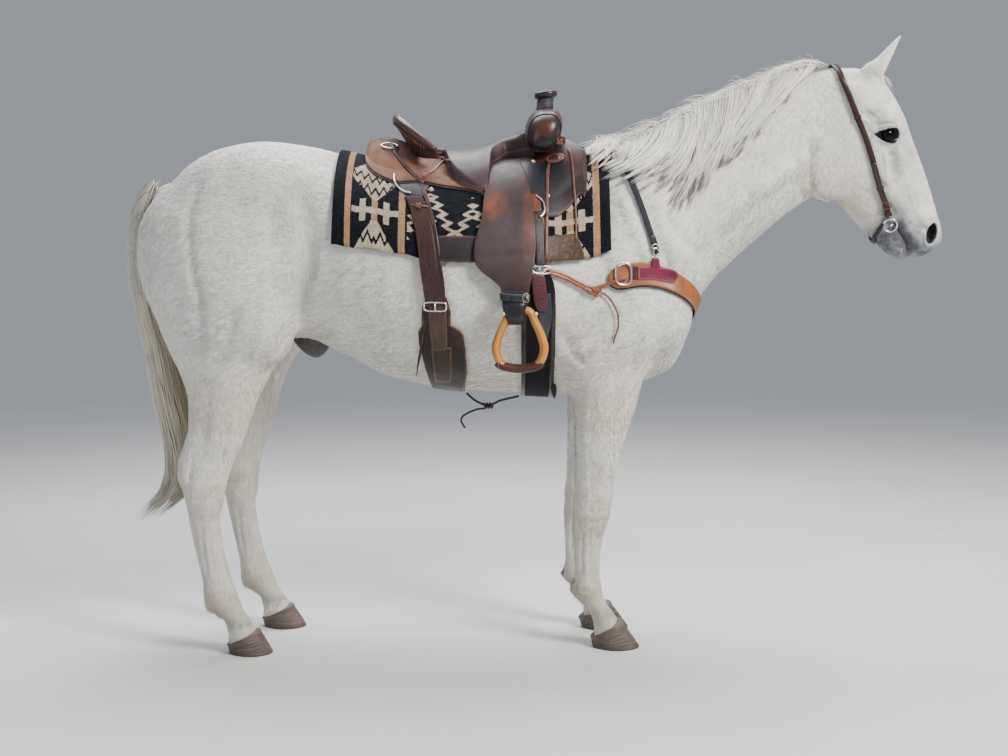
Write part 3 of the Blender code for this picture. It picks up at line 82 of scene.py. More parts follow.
class Look:
    """A procedural material: a Principled shader and the nodes that feed it."""

    def __init__(self, name, rough=0.5, metal=0.0, **fixed):
        self.material = bpy.data.materials.new(name)
        self.material.use_nodes = True
        self.tree = self.material.node_tree
        self.shader = self.tree.nodes["Principled BSDF"]
        self.shader.inputs["Roughness"].default_value = rough
        self.shader.inputs["Metallic"].default_value = metal
        for key, value in fixed.items():
            self.shader.inputs[key.replace("_", " ")].default_value = value
        self.here = self.tree.nodes.new("ShaderNodeTexCoord").outputs["Object"]

    def node(self, kind, inputs=(), **settings):
        made = self.tree.nodes.new("ShaderNode" + kind)
        for key, value in settings.items():
            setattr(made, key, value)
        for key, value in dict(inputs).items():
            if isinstance(value, bpy.types.NodeSocket):
                self.tree.links.new(value, made.inputs[key])
            else:
                made.inputs[key].default_value = value
        return made

    def attribute(self, name="Col"):
        return self.node("Attribute", attribute_name=name)

    def uv(self, name="Cloth"):
        return self.node("UVMap", uv_map=name).outputs["UV"]

    def stretched(self, scale, place=None):
        return self.node("Mapping", {"Vector": place or self.here, "Scale": scale}).outputs["Vector"]

    def noise(self, scale, detail=3.0, place=None):
        """Noise from 0 to 1. scale is one number, or three for a stretched grain."""
        if not isinstance(scale, (int, float)):
            place, scale = self.stretched(scale, place), 1.0
        inputs = {"Vector": place or self.here, "Scale": scale, "Detail": detail, "Roughness": 0.55}
        return self.node("TexNoise", inputs).outputs["Fac"]

    def cells(self, scale, place=None):
        """How far each place is from the nearest of many scattered points."""
        if not isinstance(scale, (int, float)):
            place, scale = self.stretched(scale, place), 1.0
        inputs = {"Vector": place or self.here, "Scale": scale}
        return self.node("TexVoronoi", inputs).outputs["Distance"]

    def math(self, what, a, b=0.0, c=0.0):
        made = self.node("Math", operation=what)
        for socket, value in zip(made.inputs, (a, b, c)):
            if isinstance(value, bpy.types.NodeSocket):
                self.tree.links.new(value, socket)
            else:
                socket.default_value = value
        return made.outputs[0]

    def span(self, value, low, high, to_low=0.0, to_high=1.0):
        inputs = {"Value": value, "From Min": low, "From Max": high, "To Min": to_low, "To Max": to_high}
        return self.node("MapRange", inputs).outputs["Result"]

    def mix(self, share, a, b, how="MIX"):
        made = self.node("Mix", data_type="RGBA", blend_type=how)
        for socket, value in ((made.inputs[0], share), (made.inputs[6], a), (made.inputs[7], b)):
            if isinstance(value, bpy.types.NodeSocket):
                self.tree.links.new(value, socket)
            else:
                socket.default_value = value if isinstance(value, float) else (*value, 1)[:4]
        return made.outputs[2]

    def split(self, vector):
        return self.node("SeparateXYZ", {"Vector": vector}).outputs

    def colour(self, value):
        if isinstance(value, bpy.types.NodeSocket):
            self.tree.links.new(value, self.shader.inputs["Base Color"])
        else:
            self.shader.inputs["Base Color"].default_value = (*value, 1)
        return self

    def roughness(self, value):
        self.tree.links.new(value, self.shader.inputs["Roughness"])
        return self

    def bump(self, height, distance, strength=1.0, under=None):
        inputs = {"Height": height, "Distance": distance, "Strength": strength}
        if under:
            inputs["Normal"] = under
        made = self.node("Bump", inputs).outputs["Normal"]
        self.tree.links.new(made, self.shader.inputs["Normal"])
        return made


class Value:
    """A shader value to write formulas with; comparisons give 1 or 0."""

    def __init__(self, look, socket):
        self.look, self.socket = look, socket

    def do(self, what, other=0.0, swap=False):
        pair_of = (self.socket, getattr(other, "socket", other))
        return Value(self.look, self.look.math(what, *(pair_of[::-1] if swap else pair_of)))

    def __add__(self, other):
        return self.do("ADD", other)

    def __sub__(self, other):
        return self.do("SUBTRACT", other)

    def __rsub__(self, other):
        return self.do("SUBTRACT", other, True)

    def __mul__(self, other):
        return self.do("MULTIPLY", other)

    def __lt__(self, other):
        return self.do("LESS_THAN", other)

    def __gt__(self, other):
        return self.do("GREATER_THAN", other)

    def __and__(self, other):
        return self.do("MULTIPLY", other)

    def __or__(self, other):
        return self.do("MAXIMUM", other)

    def __mod__(self, other):
        return self.do("FLOORED_MODULO", other)

    def __abs__(self):
        return self.do("ABSOLUTE")


# ---------------------------------------------------------------- meshes



def mesh_of(name, points, faces):
    """A mesh from points and one array, or several, of equal-sided faces."""
    points = np.asarray(points, np.float32).reshape(-1, 3)
    groups = [np.asarray(f, np.int32) for f in (faces if isinstance(faces, list) else [faces])]
    groups = [g for g in groups if len(g)]
    corners = np.concatenate([g.ravel() for g in groups])
    sizes = np.concatenate([np.full(len(g), g.shape[1], np.int32) for g in groups])
    mesh = bpy.data.meshes.new(name)
    mesh.vertices.add(len(points))
    mesh.vertices.foreach_set("co", points.ravel())
    mesh.loops.add(len(corners))
    mesh.loops.foreach_set("vertex_index", corners)
    mesh.polygons.add(len(sizes))
    mesh.polygons.foreach_set("loop_start", np.concatenate([[0], np.cumsum(sizes)[:-1]]).astype(np.int32))
    mesh.update(calc_edges=True)
    mesh.validate()
    return mesh


def piece(name, mesh, look, replaces=()):
    """A finished piece of the model, riding on its one body."""
    if not isinstance(mesh, bpy.types.Mesh):
        mesh = mesh_of(name, *mesh)
    ob = bpy.data.objects.new(name, mesh)
    bpy.context.scene.collection.objects.link(ob)
    mesh.materials.clear()
    mesh.materials.append(look.material)
    mesh.polygons.foreach_set("use_smooth", np.full(len(mesh.polygons), True))
    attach(ob, ROOT)
    if replaces:
        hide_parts(*([replaces] if isinstance(replaces, str) else replaces))
    return ob


def paint(mesh, colours):
    """A colour for each point, which every look reads as Col."""
    rgba = np.ones((len(mesh.vertices), 4), np.float32)
    rgba[:, :3] = colours
    layer = mesh.color_attributes.new("Col", "FLOAT_COLOR", "POINT")
    layer.data.foreach_set("color", rgba.ravel())


def points_of(mesh):
    co = np.empty(len(mesh.vertices) * 3, np.float32)
    mesh.vertices.foreach_get("co", co)
    return co.reshape(-1, 3).astype(float)


def corners_of(mesh):
    index = np.empty(len(mesh.loops), np.int32)
    mesh.loops.foreach_get("vertex_index", index)
    return index


def lay_uv(mesh, name, uv_of_points):
    layer = mesh.uv_layers.new(name=name)
    layer.data.foreach_set("uv", np.asarray(uv_of_points, np.float32)[corners_of(mesh)].ravel())


def unit(v):
    return v / np.maximum(np.linalg.norm(v, axis=-1, keepdims=True), 1e-9)


# ---------------------------------------------------------------- noise


def lattice(cells, seed):
    h = (cells[..., 0] * 73856093) ^ (cells[..., 1] * 19349663) ^ (cells[..., 2] * 83492791) ^ (
        seed * 2654435761
    )
    h = (h ^ (h >> 13)) * 1274126177
    h = (h ^ (h >> 16)) & 0xFFFFFF
    return h / float(0xFFFFFF)


def wander(p, scale, seed=0):
    """Smooth noise from -1 to 1 at points, with scale bumps to the metre (one number or three)."""
    q = p * np.asarray(scale, float) + 1000
    i = np.floor(q).astype(np.int64)
    f = q - i
    f = f * f * (3 - 2 * f)
    total = 0
    for dx in (0, 1):
        for dy in (0, 1):
            for dz in (0, 1):
                w = np.abs(1 - dx - f[:, 0]) * np.abs(1 - dy - f[:, 1]) * np.abs(1 - dz - f[:, 2])
                total = total + w * lattice(i + [dx, dy, dz], seed)
    return total * 2 - 1

# ---------------------------------------------------------------- the cords under the belly


def curve_of(name, points, radius, look):
    """A round cord: a curve of one open smooth spline through points."""
    data = bpy.data.curves.new(name, "CURVE")
    data.dimensions = "3D"
    data.bevel_depth, data.bevel_resolution = radius, 3
    data.use_fill_caps = True
    spline = data.splines.new("POLY")
    spline.points.add(len(points) - 1)
    for point, co in zip(spline.points, points):
        point.co = (*co, 1)
    ob = bpy.data.objects.new(name, data)
    bpy.context.scene.collection.objects.link(ob)
    data.materials.append(look.material)
    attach(ob, ROOT)
    return ob


CORD_STEPS = 60  # places along an eased cord


def eased(points):
    """A smooth line through a cord's route points."""
    p = np.array(points, float)
    p = np.concatenate([2 * p[:1] - p[1:2], p, 2 * p[-1:] - p[-2:-1]])
    out = []
    for i in range(1, len(p) - 2):
        for t in np.linspace(0, 1, CORD_STEPS // (len(p) - 3), endpoint=False):
            a, b, c, d = p[i - 1 : i + 3]
            out.append(
                0.5 * (
                    2 * b + (c - a) * t + (2 * a - 5 * b + 4 * c - d) * t**2
                    + (3 * b - a - 3 * c + d) * t**3
                )
            )
    return np.array(out + [p[-2]])


def cords():
    look = Look("cord", 0.6, Coat_Weight=0.1)
    twist = look.noise((500, 900, 900), 2)
    look.colour(look.mix(look.span(twist, 0.35, 0.7), (0.008, 0.007, 0.007), (0.035, 0.030, 0.028)))
    look.bump(twist, 0.0008, 0.7)
    link = eased(
        [
            (-0.221, 0, 0.802), (-0.190, 0, 0.776), (-0.150, 0, 0.762), (-0.110, 0, 0.778),
            (-0.052, 0, 0.7918)
        ]
    )
    main = curve_of("connector", link, 0.0040, look)
    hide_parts("cinch_connector")
    knot = mesh_of("connector_knot", *knot_of(np.array([-0.152, 0.0, 0.7615])))
    knot = piece("connector_knot", knot, look)
    loose = eased(
        [(-0.158, 0, 0.752), (-0.190, 0, 0.748), (-0.228, 0, 0.730), (-0.238, 0, 0.712), (-0.226, 0, 0.689)]
    )
    end = curve_of("connector_tail", loose, 0.0035, look)
    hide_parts("connector_end")


def knot_of(centre):
    """Three turns of cord drawn up round the connector, and their faces."""
    n, m = 60, 8
    t = np.linspace(0, 1, n)
    turn = t * 2 * math.pi * 3
    radius = 0.0085 - 0.002 * np.abs(t - 0.5)
    path = centre + np.stack([(t - 0.5) * 0.030, radius * np.cos(turn), radius * np.sin(turn) - 0.001], 1)
    along = unit(np.gradient(path, axis=0))
    side = unit(np.cross(along, [1.0, 0.1, 0.0]))
    up = np.cross(side, along)
    a = np.arange(m) * 2 * math.pi / m
    rings = path[:, None] + 0.0034 * (
        side[:, None] * np.cos(a)[None, :, None] + up[:, None] * np.sin(a)[None, :, None]
    )
    i, j = np.meshgrid(np.arange(n - 1), np.arange(m), indexing="ij")
    k = (j + 1) % m
    quads = np.stack([i * m + j, i * m + k, (i + 1) * m + k, (i + 1) * m + j], -1).reshape(-1, 4)
    points = np.concatenate([rings.reshape(-1, 3), path[:1], path[-1:]])
    j = np.arange(m)
    k = (j + 1) % m
    fans = [
        np.stack([np.full(m, n * m), k, j], 1),
        np.stack([np.full(m, n * m + 1), (n - 1) * m + j, (n - 1) * m + k], 1)
    ]
    return points, [quads, np.concatenate(fans)]


cords()

# ---------------------------------------------------------------- the body's shape

R = 2.0  # the roundness of an ordinary section


def pchip(rows, at):
    """Smooth curves through the rows' columns, with no overshoot, read at the given places."""
    rows = np.array(rows, float)
    x, y = rows[:, 0], rows[:, 1:]
    h = np.diff(x)[:, None]
    slope = np.diff(y, axis=0) / h
    m = np.zeros_like(y)
    same = slope[:-1] * slope[1:] > 0
    w1, w2 = 2 * h[1:] + h[:-1], h[1:] + 2 * h[:-1]
    with np.errstate(divide="ignore", invalid="ignore"):
        inner = (w1 + w2) / (w1 / slope[:-1] + w2 / slope[1:])
    m[1:-1] = np.where(same, inner, 0)
    m[0], m[-1] = slope[0], slope[-1]
    at = np.clip(at, x[0], x[-1])
    i = np.clip(np.searchsorted(x, at) - 1, 0, len(x) - 2)
    s = ((at - x[i]) / (x[i + 1] - x[i]))[:, None]
    step = h[i]
    near = y[i] * (1 + 2 * s) * (1 - s) ** 2 + m[i] * step * s * (1 - s) ** 2
    far = y[i + 1] * s**2 * (3 - 2 * s) - m[i + 1] * step * s**2 * (1 - s)
    return near + far


def smooth_min(a, b, k):
    h = np.maximum(k - np.abs(a - b), 0) / k
    return np.minimum(a, b) - h * h * k / 4


def superellipse(u, v, n):
    """How far out a point is of a superellipse with unit half-axes, and the slopes along u and v."""
    u, v = np.abs(u) + 1e-9, np.abs(v) + 1e-9
    un, vn = u**n, v**n
    r = (un + vn) ** (1 / n)
    return r, un / u * r ** (1 - n), vn / v * r ** (1 - n)


class Tube:
    """A length of body along a straight axis in the XZ plane.

    rows: place along the axis, low and high outline across it, place of the greatest width,
    half-width, centre in y, roundness of the low side and of the high side (2 is an ellipse)."""

    def __init__(self, start, way, rows, caps, margin=0.14):
        self.o = np.array(start, float)
        self.d = np.array(way, float) / np.linalg.norm(way)
        self.e = np.array([-self.d[1], self.d[0]])
        self.rows = np.array(rows, float)
        self.caps = caps
        low, high = self.rows[:, 1].min(), self.rows[:, 2].max()
        ends = (self.rows[0, 0] - caps[0], self.rows[-1, 0] + caps[1])
        corners = np.array([self.o + self.d * t + self.e * c for t in ends for c in (low, high)])
        yc, w = self.rows[:, 5], self.rows[:, 4]
        x, z = corners.T
        self.low = np.array([x.min(), (yc - w).min(), z.min()]) - margin
        self.high = np.array([x.max(), (yc + w).max(), z.max()]) + margin

    def __call__(self, p):
        q = p[:, [0, 2]] - self.o
        t, c = q @ self.d, q @ self.e
        low, high, mid, w, yc, n_low, n_high = pchip(self.rows, t).T
        up = c > mid
        a = np.where(up, high - mid, mid - low)
        r, gu, gv = superellipse((c - mid) / a, (p[:, 1] - yc) / w, np.where(up, n_high, n_low))
        g = np.sqrt((gu / a) ** 2 + (gv / w) ** 2)
        before, after = self.rows[0, 0] - t, t - self.rows[-1, 0]
        cap = np.maximum(before, 0) / self.caps[0] + np.maximum(after, 0) / self.caps[1]
        whole = np.sqrt(r * r + cap * cap)
        end = np.where(before > 0, 1 / self.caps[0], 1 / self.caps[1])
        slope = np.sqrt((g * r) ** 2 + (end * cap) ** 2) / np.maximum(whole, 1e-6)
        return np.maximum((whole - 1) / np.maximum(slope, 0.5), -np.minimum(a, w))


class Blob:
    """An ellipsoid at a centre with half-axes, its length tipped down by pitch degrees."""

    def __init__(self, centre, radii, pitch=0.0, margin=0.1):
        self.c, self.r = np.array(centre, float), np.array(radii, float)
        a = math.radians(pitch)
        self.m = np.array([[math.cos(a), 0, math.sin(a)], [0, 1, 0], [-math.sin(a), 0, math.cos(a)]])
        reach = np.sqrt(((self.m * self.r) ** 2).sum(1)) + margin
        self.low, self.high = self.c - reach, self.c + reach

    def __call__(self, p):
        q = (p - self.c) @ self.m / self.r
        k0 = np.sqrt((q * q).sum(1)) + 1e-9
        k1 = np.sqrt(((q / self.r) ** 2).sum(1)) + 1e-9
        return np.maximum(k0 * (k0 - 1) / k1, -self.r.min())


class Field:
    """Shapes joined in turn: (shape, blend, +1 to add or -1 to carve). Inside is below zero."""

    def __init__(self, entries):
        self.entries = entries

    def __call__(self, p):
        d = np.full(len(p), 1.0)
        for shape, k, kind in self.entries:
            near = ((p > shape.low) & (p < shape.high)).all(1)
            if near.any():
                d[near] = kind * smooth_min(kind * d[near], shape(p[near]), k)
        return d

    def slope(self, p, step=0.0015):
        """The value, the unit outward direction and the steepness at each point."""
        t = np.array([[1, 1, 1], [1, -1, -1], [-1, 1, -1], [-1, -1, 1]], float)
        v = np.stack([self(p + k * step) for k in t])
        g = np.einsum("kn,kj->nj", v, t) / (4 * step)
        size = np.maximum(np.linalg.norm(g, axis=1), 1e-6)
        return v.mean(0), g / size[:, None], size


# ---------------------------------------------------------------- the horse


def trunk():
    rows = [
        # x     low    high   widest half  y  low  high roundness
        (-1.15, 1.16, 1.475, 1.31, 0.115, 0, R, 2.0),
        (-1.07, 1.06, 1.543, 1.32, 0.185, 0, R, 2.0),
        (-0.97, 1.00, 1.586, 1.33, 0.235, 0, R, 1.9),
        (-0.85, 0.985, 1.602, 1.33, 0.262, 0, R, 1.9),
        (-0.72, 0.975, 1.588, 1.29, 0.265, 0, R, 1.9),
        (-0.60, 0.925, 1.560, 1.24, 0.278, 0, R, 2.0),
        (-0.45, 0.855, 1.528, 1.19, 0.300, 0, R, 2.0),
        (-0.25, 0.818, 1.508, 1.16, 0.312, 0, R, 2.0),
        (-0.05, 0.806, 1.520, 1.14, 0.295, 0, R, 1.85),
        (0.10, 0.800, 1.552, 1.11, 0.262, 0, R, 1.65),
        (0.22, 0.805, 1.566, 1.08, 0.232, 0, R, 1.6),
        (0.32, 0.830, 1.520, 1.07, 0.205, 0, R, 1.7),
        (0.40, 0.880, 1.420, 1.09, 0.175, 0, R, 2.0),
    ]
    return Tube((0, 0), (1, 0), rows, (0.085, 0.085))


def neck():
    rows = [
        # t     low     high   widest half  y  low  high
        (-0.02, -0.26, 0.27, -0.02, 0.185, 0, R, 1.8),
        (0.10, -0.262, 0.268, -0.04, 0.168, 0, R, 1.7),
        (0.22, -0.236, 0.256, -0.05, 0.142, 0, R, 1.65),
        (0.36, -0.206, 0.248, -0.05, 0.120, 0, R, 1.6),
        (0.50, -0.184, 0.236, -0.04, 0.103, 0, R, 1.6),
        (0.62, -0.176, 0.210, -0.02, 0.093, 0, R, 1.7),
        (0.75, -0.160, 0.178, 0.0, 0.086, 0, R, 1.9),
        (0.83, -0.120, 0.145, 0.02, 0.080, 0, R, 2.0),
    ]
    return Tube((0.28, 1.28), (0.860, 0.511), rows, (0.12, 0.045))


HEAD_START = np.array([0.97, 1.72])
HEAD_WAY = np.array([0.45, -0.893])  # from the poll to the muzzle
HEAD_FRONT = np.array([0.893, 0.45])
HEAD_PITCH = 63.3


def on_head(t, e, y=0.0):
    """A place on the head: t down its length from the poll, e towards the face."""
    x, z = HEAD_START + HEAD_WAY * t + HEAD_FRONT * e
    return (x, y, z)


def skull():
    rows = [
        # t     low     high   widest half  y  low  high
        (-0.05, -0.09, 0.105, 0.02, 0.070, 0, R, 2.2),
        (0.00, -0.13, 0.143, 0.05, 0.080, 0, R, 2.5),
        (0.06, -0.15, 0.148, 0.07, 0.090, 0, 1.8, 2.8),
        (0.12, -0.16, 0.148, 0.075, 0.094, 0, 1.7, 2.9),
        (0.18, -0.16, 0.145, 0.060, 0.087, 0, 1.7, 2.6),
        (0.25, -0.15, 0.143, 0.040, 0.074, 0, 1.8, 2.1),
        (0.33, -0.122, 0.136, 0.020, 0.060, 0, R, 2.0),
        (0.40, -0.100, 0.126, 0.010, 0.052, 0, R, 2.1),
        (0.46, -0.070, 0.114, 0.015, 0.050, 0, R, 2.3),
        (0.50, -0.035, 0.095, 0.022, 0.050, 0, R, 2.4),
    ]
    return Tube(HEAD_START, HEAD_WAY, rows, (0.05, 0.038))


def leg(rows, top_y, foot_y, top, shift, caps, margin):
    """A leg up +Z. rows: height, rear, front, half-width, how far towards the foot's y, roundness.

    shift moves the lower leg along X, fading out towards the top."""
    turned = []
    for z, rear, front, w, share, n in rows:
        dx = shift * min(1.0, max(0.0, (top - z) / 0.6))
        y = top_y * (1 - share) + foot_y * share
        turned.append((z, -front - dx, -rear - dx, -(rear + front) / 2 - dx, w, y, n, n))
    return Tube((0, 0), (0, 1), turned, caps, margin)


def foreleg(top_y, foot_y, shift):
    rows = [
        (0.000, 0.192, 0.285, 0.048, 1.0, R),
        (0.075, 0.185, 0.272, 0.047, 1.0, R),
        (0.110, 0.172, 0.246, 0.037, 1.0, R),
        (0.150, 0.146, 0.222, 0.036, 1.0, R),
        (0.180, 0.126, 0.213, 0.041, 1.0, R),
        (0.205, 0.122, 0.209, 0.040, 0.98, R),
        (0.240, 0.127, 0.204, 0.033, 0.95, R),
        (0.300, 0.126, 0.206, 0.029, 0.85, R),
        (0.350, 0.122, 0.214, 0.032, 0.75, R),
        (0.400, 0.118, 0.228, 0.042, 0.6, 2.3),
        (0.445, 0.119, 0.238, 0.048, 0.5, 2.5),
        (0.480, 0.121, 0.244, 0.047, 0.45, 2.4),
        (0.520, 0.122, 0.248, 0.046, 0.35, 2.2),
        (0.600, 0.122, 0.262, 0.055, 0.2, R),
        (0.690, 0.120, 0.286, 0.066, 0.1, R),
        (0.770, 0.116, 0.312, 0.076, 0.0, R),
        (0.850, 0.105, 0.332, 0.084, 0.0, R),
        (0.940, 0.080, 0.355, 0.080, 0.0, R),
    ]
    return leg(rows, top_y, foot_y, 0.95, shift, (0.03, 0.10), 0.10)


def hindleg(top_y, foot_y, shift):
    rows = [
        (0.000, -0.966, -0.861, 0.048, 1.0, R),
        (0.060, -0.968, -0.868, 0.047, 1.0, R),
        (0.095, -0.976, -0.893, 0.038, 1.0, R),
        (0.130, -1.005, -0.915, 0.037, 1.0, R),
        (0.160, -1.034, -0.928, 0.042, 1.0, R),
        (0.190, -1.041, -0.938, 0.042, 1.0, R),
        (0.225, -1.044, -0.951, 0.035, 0.98, R),
        (0.290, -1.057, -0.969, 0.031, 0.92, R),
        (0.360, -1.072, -0.983, 0.034, 0.85, R),
        (0.420, -1.084, -0.988, 0.042, 0.75, 2.2),
        (0.470, -1.093, -0.977, 0.050, 0.7, 2.4),
        (0.520, -1.106, -0.967, 0.050, 0.6, 2.3),
        (0.560, -1.120, -0.957, 0.044, 0.5, 1.9),
        (0.600, -1.119, -0.942, 0.042, 0.4, 1.8),
        (0.650, -1.103, -0.918, 0.050, 0.3, 1.8),
        (0.720, -1.085, -0.892, 0.066, 0.2, 1.9),
        (0.790, -1.084, -0.868, 0.080, 0.1, R),
        (0.870, -1.104, -0.828, 0.096, 0.0, R),
        (0.950, -1.140, -0.790, 0.110, 0.0, R),
        (1.040, -1.176, -0.750, 0.122, 0.0, R),
        (1.130, -1.205, -0.740, 0.128, 0.0, R),
        (1.230, -1.218, -0.780, 0.122, 0.0, R),
        (1.310, -1.212, -0.830, 0.110, 0.0, R),
    ]
    return leg(rows, top_y, foot_y, 1.05, shift, (0.03, 0.10), 0.12)


FORE = {"right": (-0.105, 0.0), "left": (0.135, -0.020)}  # the hoof's y and its shift in x
HIND = {"right": (-0.175, 0.0), "left": (0.150, 0.058)}


def body_shape():
    parts = [(trunk(), 0.05, 1), (neck(), 0.10, 1)]

    def one(k, centre, radii, pitch=0.0, kind=1):
        parts.append((Blob(centre, radii, pitch), k, kind))

    def pair(k, centre, radii, pitch=0.0, kind=1):
        """The same shape on the right and on the left."""
        x, y, z = centre
        for side in (-1, 1):
            one(k, (x, side * y, z), radii, pitch, kind)

    for name, side in SIDES.items():
        parts.append((hindleg(side * 0.150, *HIND[name]), 0.05, 1))
        parts.append((foreleg(side * 0.140, *FORE[name]), 0.05, 1))
    # the shoulder: blade, upper arm, point of the shoulder, elbow
    pair(0.07, (0.27, 0.125, 1.29), (0.075, 0.065, 0.25), 24)
    pair(0.07, (0.17, 0.150, 1.14), (0.13, 0.070, 0.17), -30)
    pair(0.06, (0.28, 0.165, 1.02), (0.165, 0.068, 0.095), -30)
    pair(0.05, (0.395, 0.120, 1.055), (0.085, 0.070, 0.105))
    pair(0.05, (0.14, 0.165, 0.94), (0.065, 0.055, 0.09), 20)
    # the breast, and the muscle band of the neck
    pair(0.045, (0.372, 0.068, 0.965), (0.078, 0.062, 0.095), 15)
    pair(0.05, (0.56, 0.085, 1.34), (0.26, 0.045, 0.055), -38)
    # the point of the hip, the croup, the buttock, the flank's hollow
    pair(0.10, (-0.73, 0.185, 1.42), (0.10, 0.052, 0.07), 20)
    pair(0.10, (-0.94, 0.125, 1.40), (0.21, 0.12, 0.135), -20)
    pair(0.05, (-1.11, 0.120, 1.25), (0.120, 0.095, 0.19))
    pair(0.08, (-0.685, 0.325, 1.22), (0.050, 0.055, 0.17), 8, -1)
    # the thigh, the stifle and the flesh between the thighs
    pair(0.08, (-0.93, 0.190, 1.17), (0.17, 0.095, 0.20), -15)
    pair(0.06, (-0.835, 0.190, 1.03), (0.085, 0.070, 0.11), -12)
    one(0.05, (-0.93, 0.0, 1.13), (0.16, 0.07, 0.12))
    # the hollow ahead of the hock's tendon, on the outside
    for name, side in SIDES.items():
        y, dx = HIND[name]
        one(0.03, (-1.045 + dx * 0.7, y + side * 0.062, 0.665), (0.022, 0.030, 0.075), 12, -1)
    # head: the skull, the cheek, the temple, the brow, the facial crest
    parts.append((skull(), 0.035, 1))
    pair(0.035, on_head(0.150, -0.105, 0.056), (0.125, 0.032, 0.125), HEAD_PITCH)
    pair(0.030, on_head(0.030, 0.040, 0.070), (0.060, 0.022, 0.045), HEAD_PITCH)
    pair(0.025, on_head(0.115, 0.085, 0.082), (0.042, 0.020, 0.024), HEAD_PITCH)
    pair(0.020, on_head(0.215, 0.010, 0.070), (0.090, 0.010, 0.014), HEAD_PITCH + 6)
    pair(0.040, on_head(0.345, 0.045, 0.092), (0.090, 0.022, 0.045), HEAD_PITCH, -1)
    # the muzzle: nostril wings, upper lip, lower lip, chin and jaw
    pair(0.030, on_head(0.475, 0.068, 0.034), (0.055, 0.028, 0.034), HEAD_PITCH + 6)
    one(0.03, on_head(0.500, 0.030), (0.040, 0.046, 0.040), HEAD_PITCH)
    one(0.02, on_head(0.470, -0.048), (0.056, 0.034, 0.034), HEAD_PITCH - 14)
    one(0.04, on_head(0.300, -0.080), (0.170, 0.034, 0.045), HEAD_PITCH - 10)
    # the eye sockets and the nostrils
    pair(0.012, on_head(0.147, 0.066, 0.112), (0.026, 0.018, 0.018), 0, -1)
    pair(0.010, on_head(0.482, 0.058, 0.066), (0.024, 0.014, 0.011), HEAD_PITCH - 30, -1)
    return Field(parts)


BODY = body_shape()


ROOM = np.array([(-1.45, -0.42, -0.02), (1.35, 0.42, 1.98)])  # the box that the whole body lies in


def surface(field, cell):
    """Points and four-sided faces of the field's surface, by surface nets on the blocks near it."""
    low, high = ROOM
    side = 8
    count = np.ceil((high - low) / (cell * side)).astype(int)
    ranges = [np.arange(n) for n in count]
    block = np.stack(np.meshgrid(*ranges, indexing="ij"), -1).reshape(-1, 3)
    block = block[np.abs(field(low + (block + 0.5) * cell * side)) < 1.15 * cell * side]
    o = np.stack(np.meshgrid(*[np.arange(side + 1)] * 3, indexing="ij"), -1).reshape(-1, 3)
    v = np.empty((len(block), len(o)))
    for i in range(0, len(block), 400):
        at = low + (block[i : i + 400, None] * side + o[None]) * cell
        v[i : i + 400] = field(at.reshape(-1, 3)).reshape(-1, len(o))
    v = v.reshape(-1, side + 1, side + 1, side + 1)
    corner = [(i, j, k) for i in (0, 1) for j in (0, 1) for k in (0, 1)]
    c = np.stack([v[:, i : i + side, j : j + side, k : k + side] for i, j, k in corner], -1)
    inside = c < 0
    crossed = inside.any(-1) & ~inside.all(-1)
    b, ci, cj, ck = np.nonzero(crossed)
    c = c[crossed]
    cells = block[b] * side + np.stack([ci, cj, ck], 1)
    total, weight = np.zeros((len(c), 3)), np.zeros(len(c))
    for p in range(8):
        for q in range(p + 1, 8):
            step = np.array(corner[q]) - corner[p]
            if np.abs(step).sum() == 1:
                cut = (c[:, p] < 0) != (c[:, q] < 0)
                s = c[:, p] / np.where(cut, c[:, p] - c[:, q], 1)
                total += np.where(cut[:, None], np.array(corner[p]) + s[:, None] * step, 0)
                weight += cut
    points = low + (cells + total / weight[:, None]) * cell
    size = count * side + 2
    code = (cells[:, 0] * size[1] + cells[:, 1]) * size[2] + cells[:, 2]
    order = np.argsort(code)
    ranked = code[order]
    steps = (size[1] * size[2], size[2], 1)
    faces = []
    for axis in range(3):
        cut = (c[:, 0] < 0) != (c[:, 1 << (2 - axis)] < 0)
        u, w = steps[(axis + 1) % 3], steps[(axis + 2) % 3]
        own = code[cut]
        ring = np.stack([own, own - u, own - u - w, own - w], 1)
        found = np.clip(np.searchsorted(ranked, ring), 0, len(order) - 1)
        quad = order[found]
        turn = c[cut][:, 0] > 0
        quad[turn] = quad[turn][:, ::-1]
        faces.append(quad[(ranked[found] == ring).all(1)])
    return points, np.concatenate(faces)


def settle(points, rounds=3):
    """Moves points onto the body's surface."""
    for _ in range(rounds):
        value, way, steep = BODY.slope(points)
        points = points - way * np.clip(value / steep, -0.02, 0.02)[:, None]
    return points


def march(start, way):
    """Where rays from outside meet the body's surface."""
    points = np.array(start, float)
    way = np.array(way, float)
    for _ in range(60):
        points = points + way * np.clip(BODY(points) * 0.8, -0.03, 0.06)[:, None]
    return points


def from_side(x, z):
    """Points of the body's right side at places of the side view, or the nearest ones past its outline."""
    x, z = np.ravel(x), np.ravel(z)
    hit = march(np.stack([x, np.full(len(x), -0.42), z], 1), np.array([[0, 1.0, 0]]))
    past = np.flatnonzero(hit[:, 1] > -0.002)
    if len(past):
        hit[past] = settle(np.stack([x[past], np.full(len(past), -0.02), z[past]], 1), 8)
    return hit


def around(x, angle, height=1.2):
    """Points of the trunk, by angle from straight up about a line along X at the given height."""
    x, angle = np.ravel(x).astype(float), np.ravel(angle)
    way = np.stack([np.zeros(len(x)), np.sin(angle), np.cos(angle)], 1)
    centre = np.stack([x, np.zeros(len(x)), np.full(len(x), height)], 1)
    return march(centre + way * 0.46, -way)


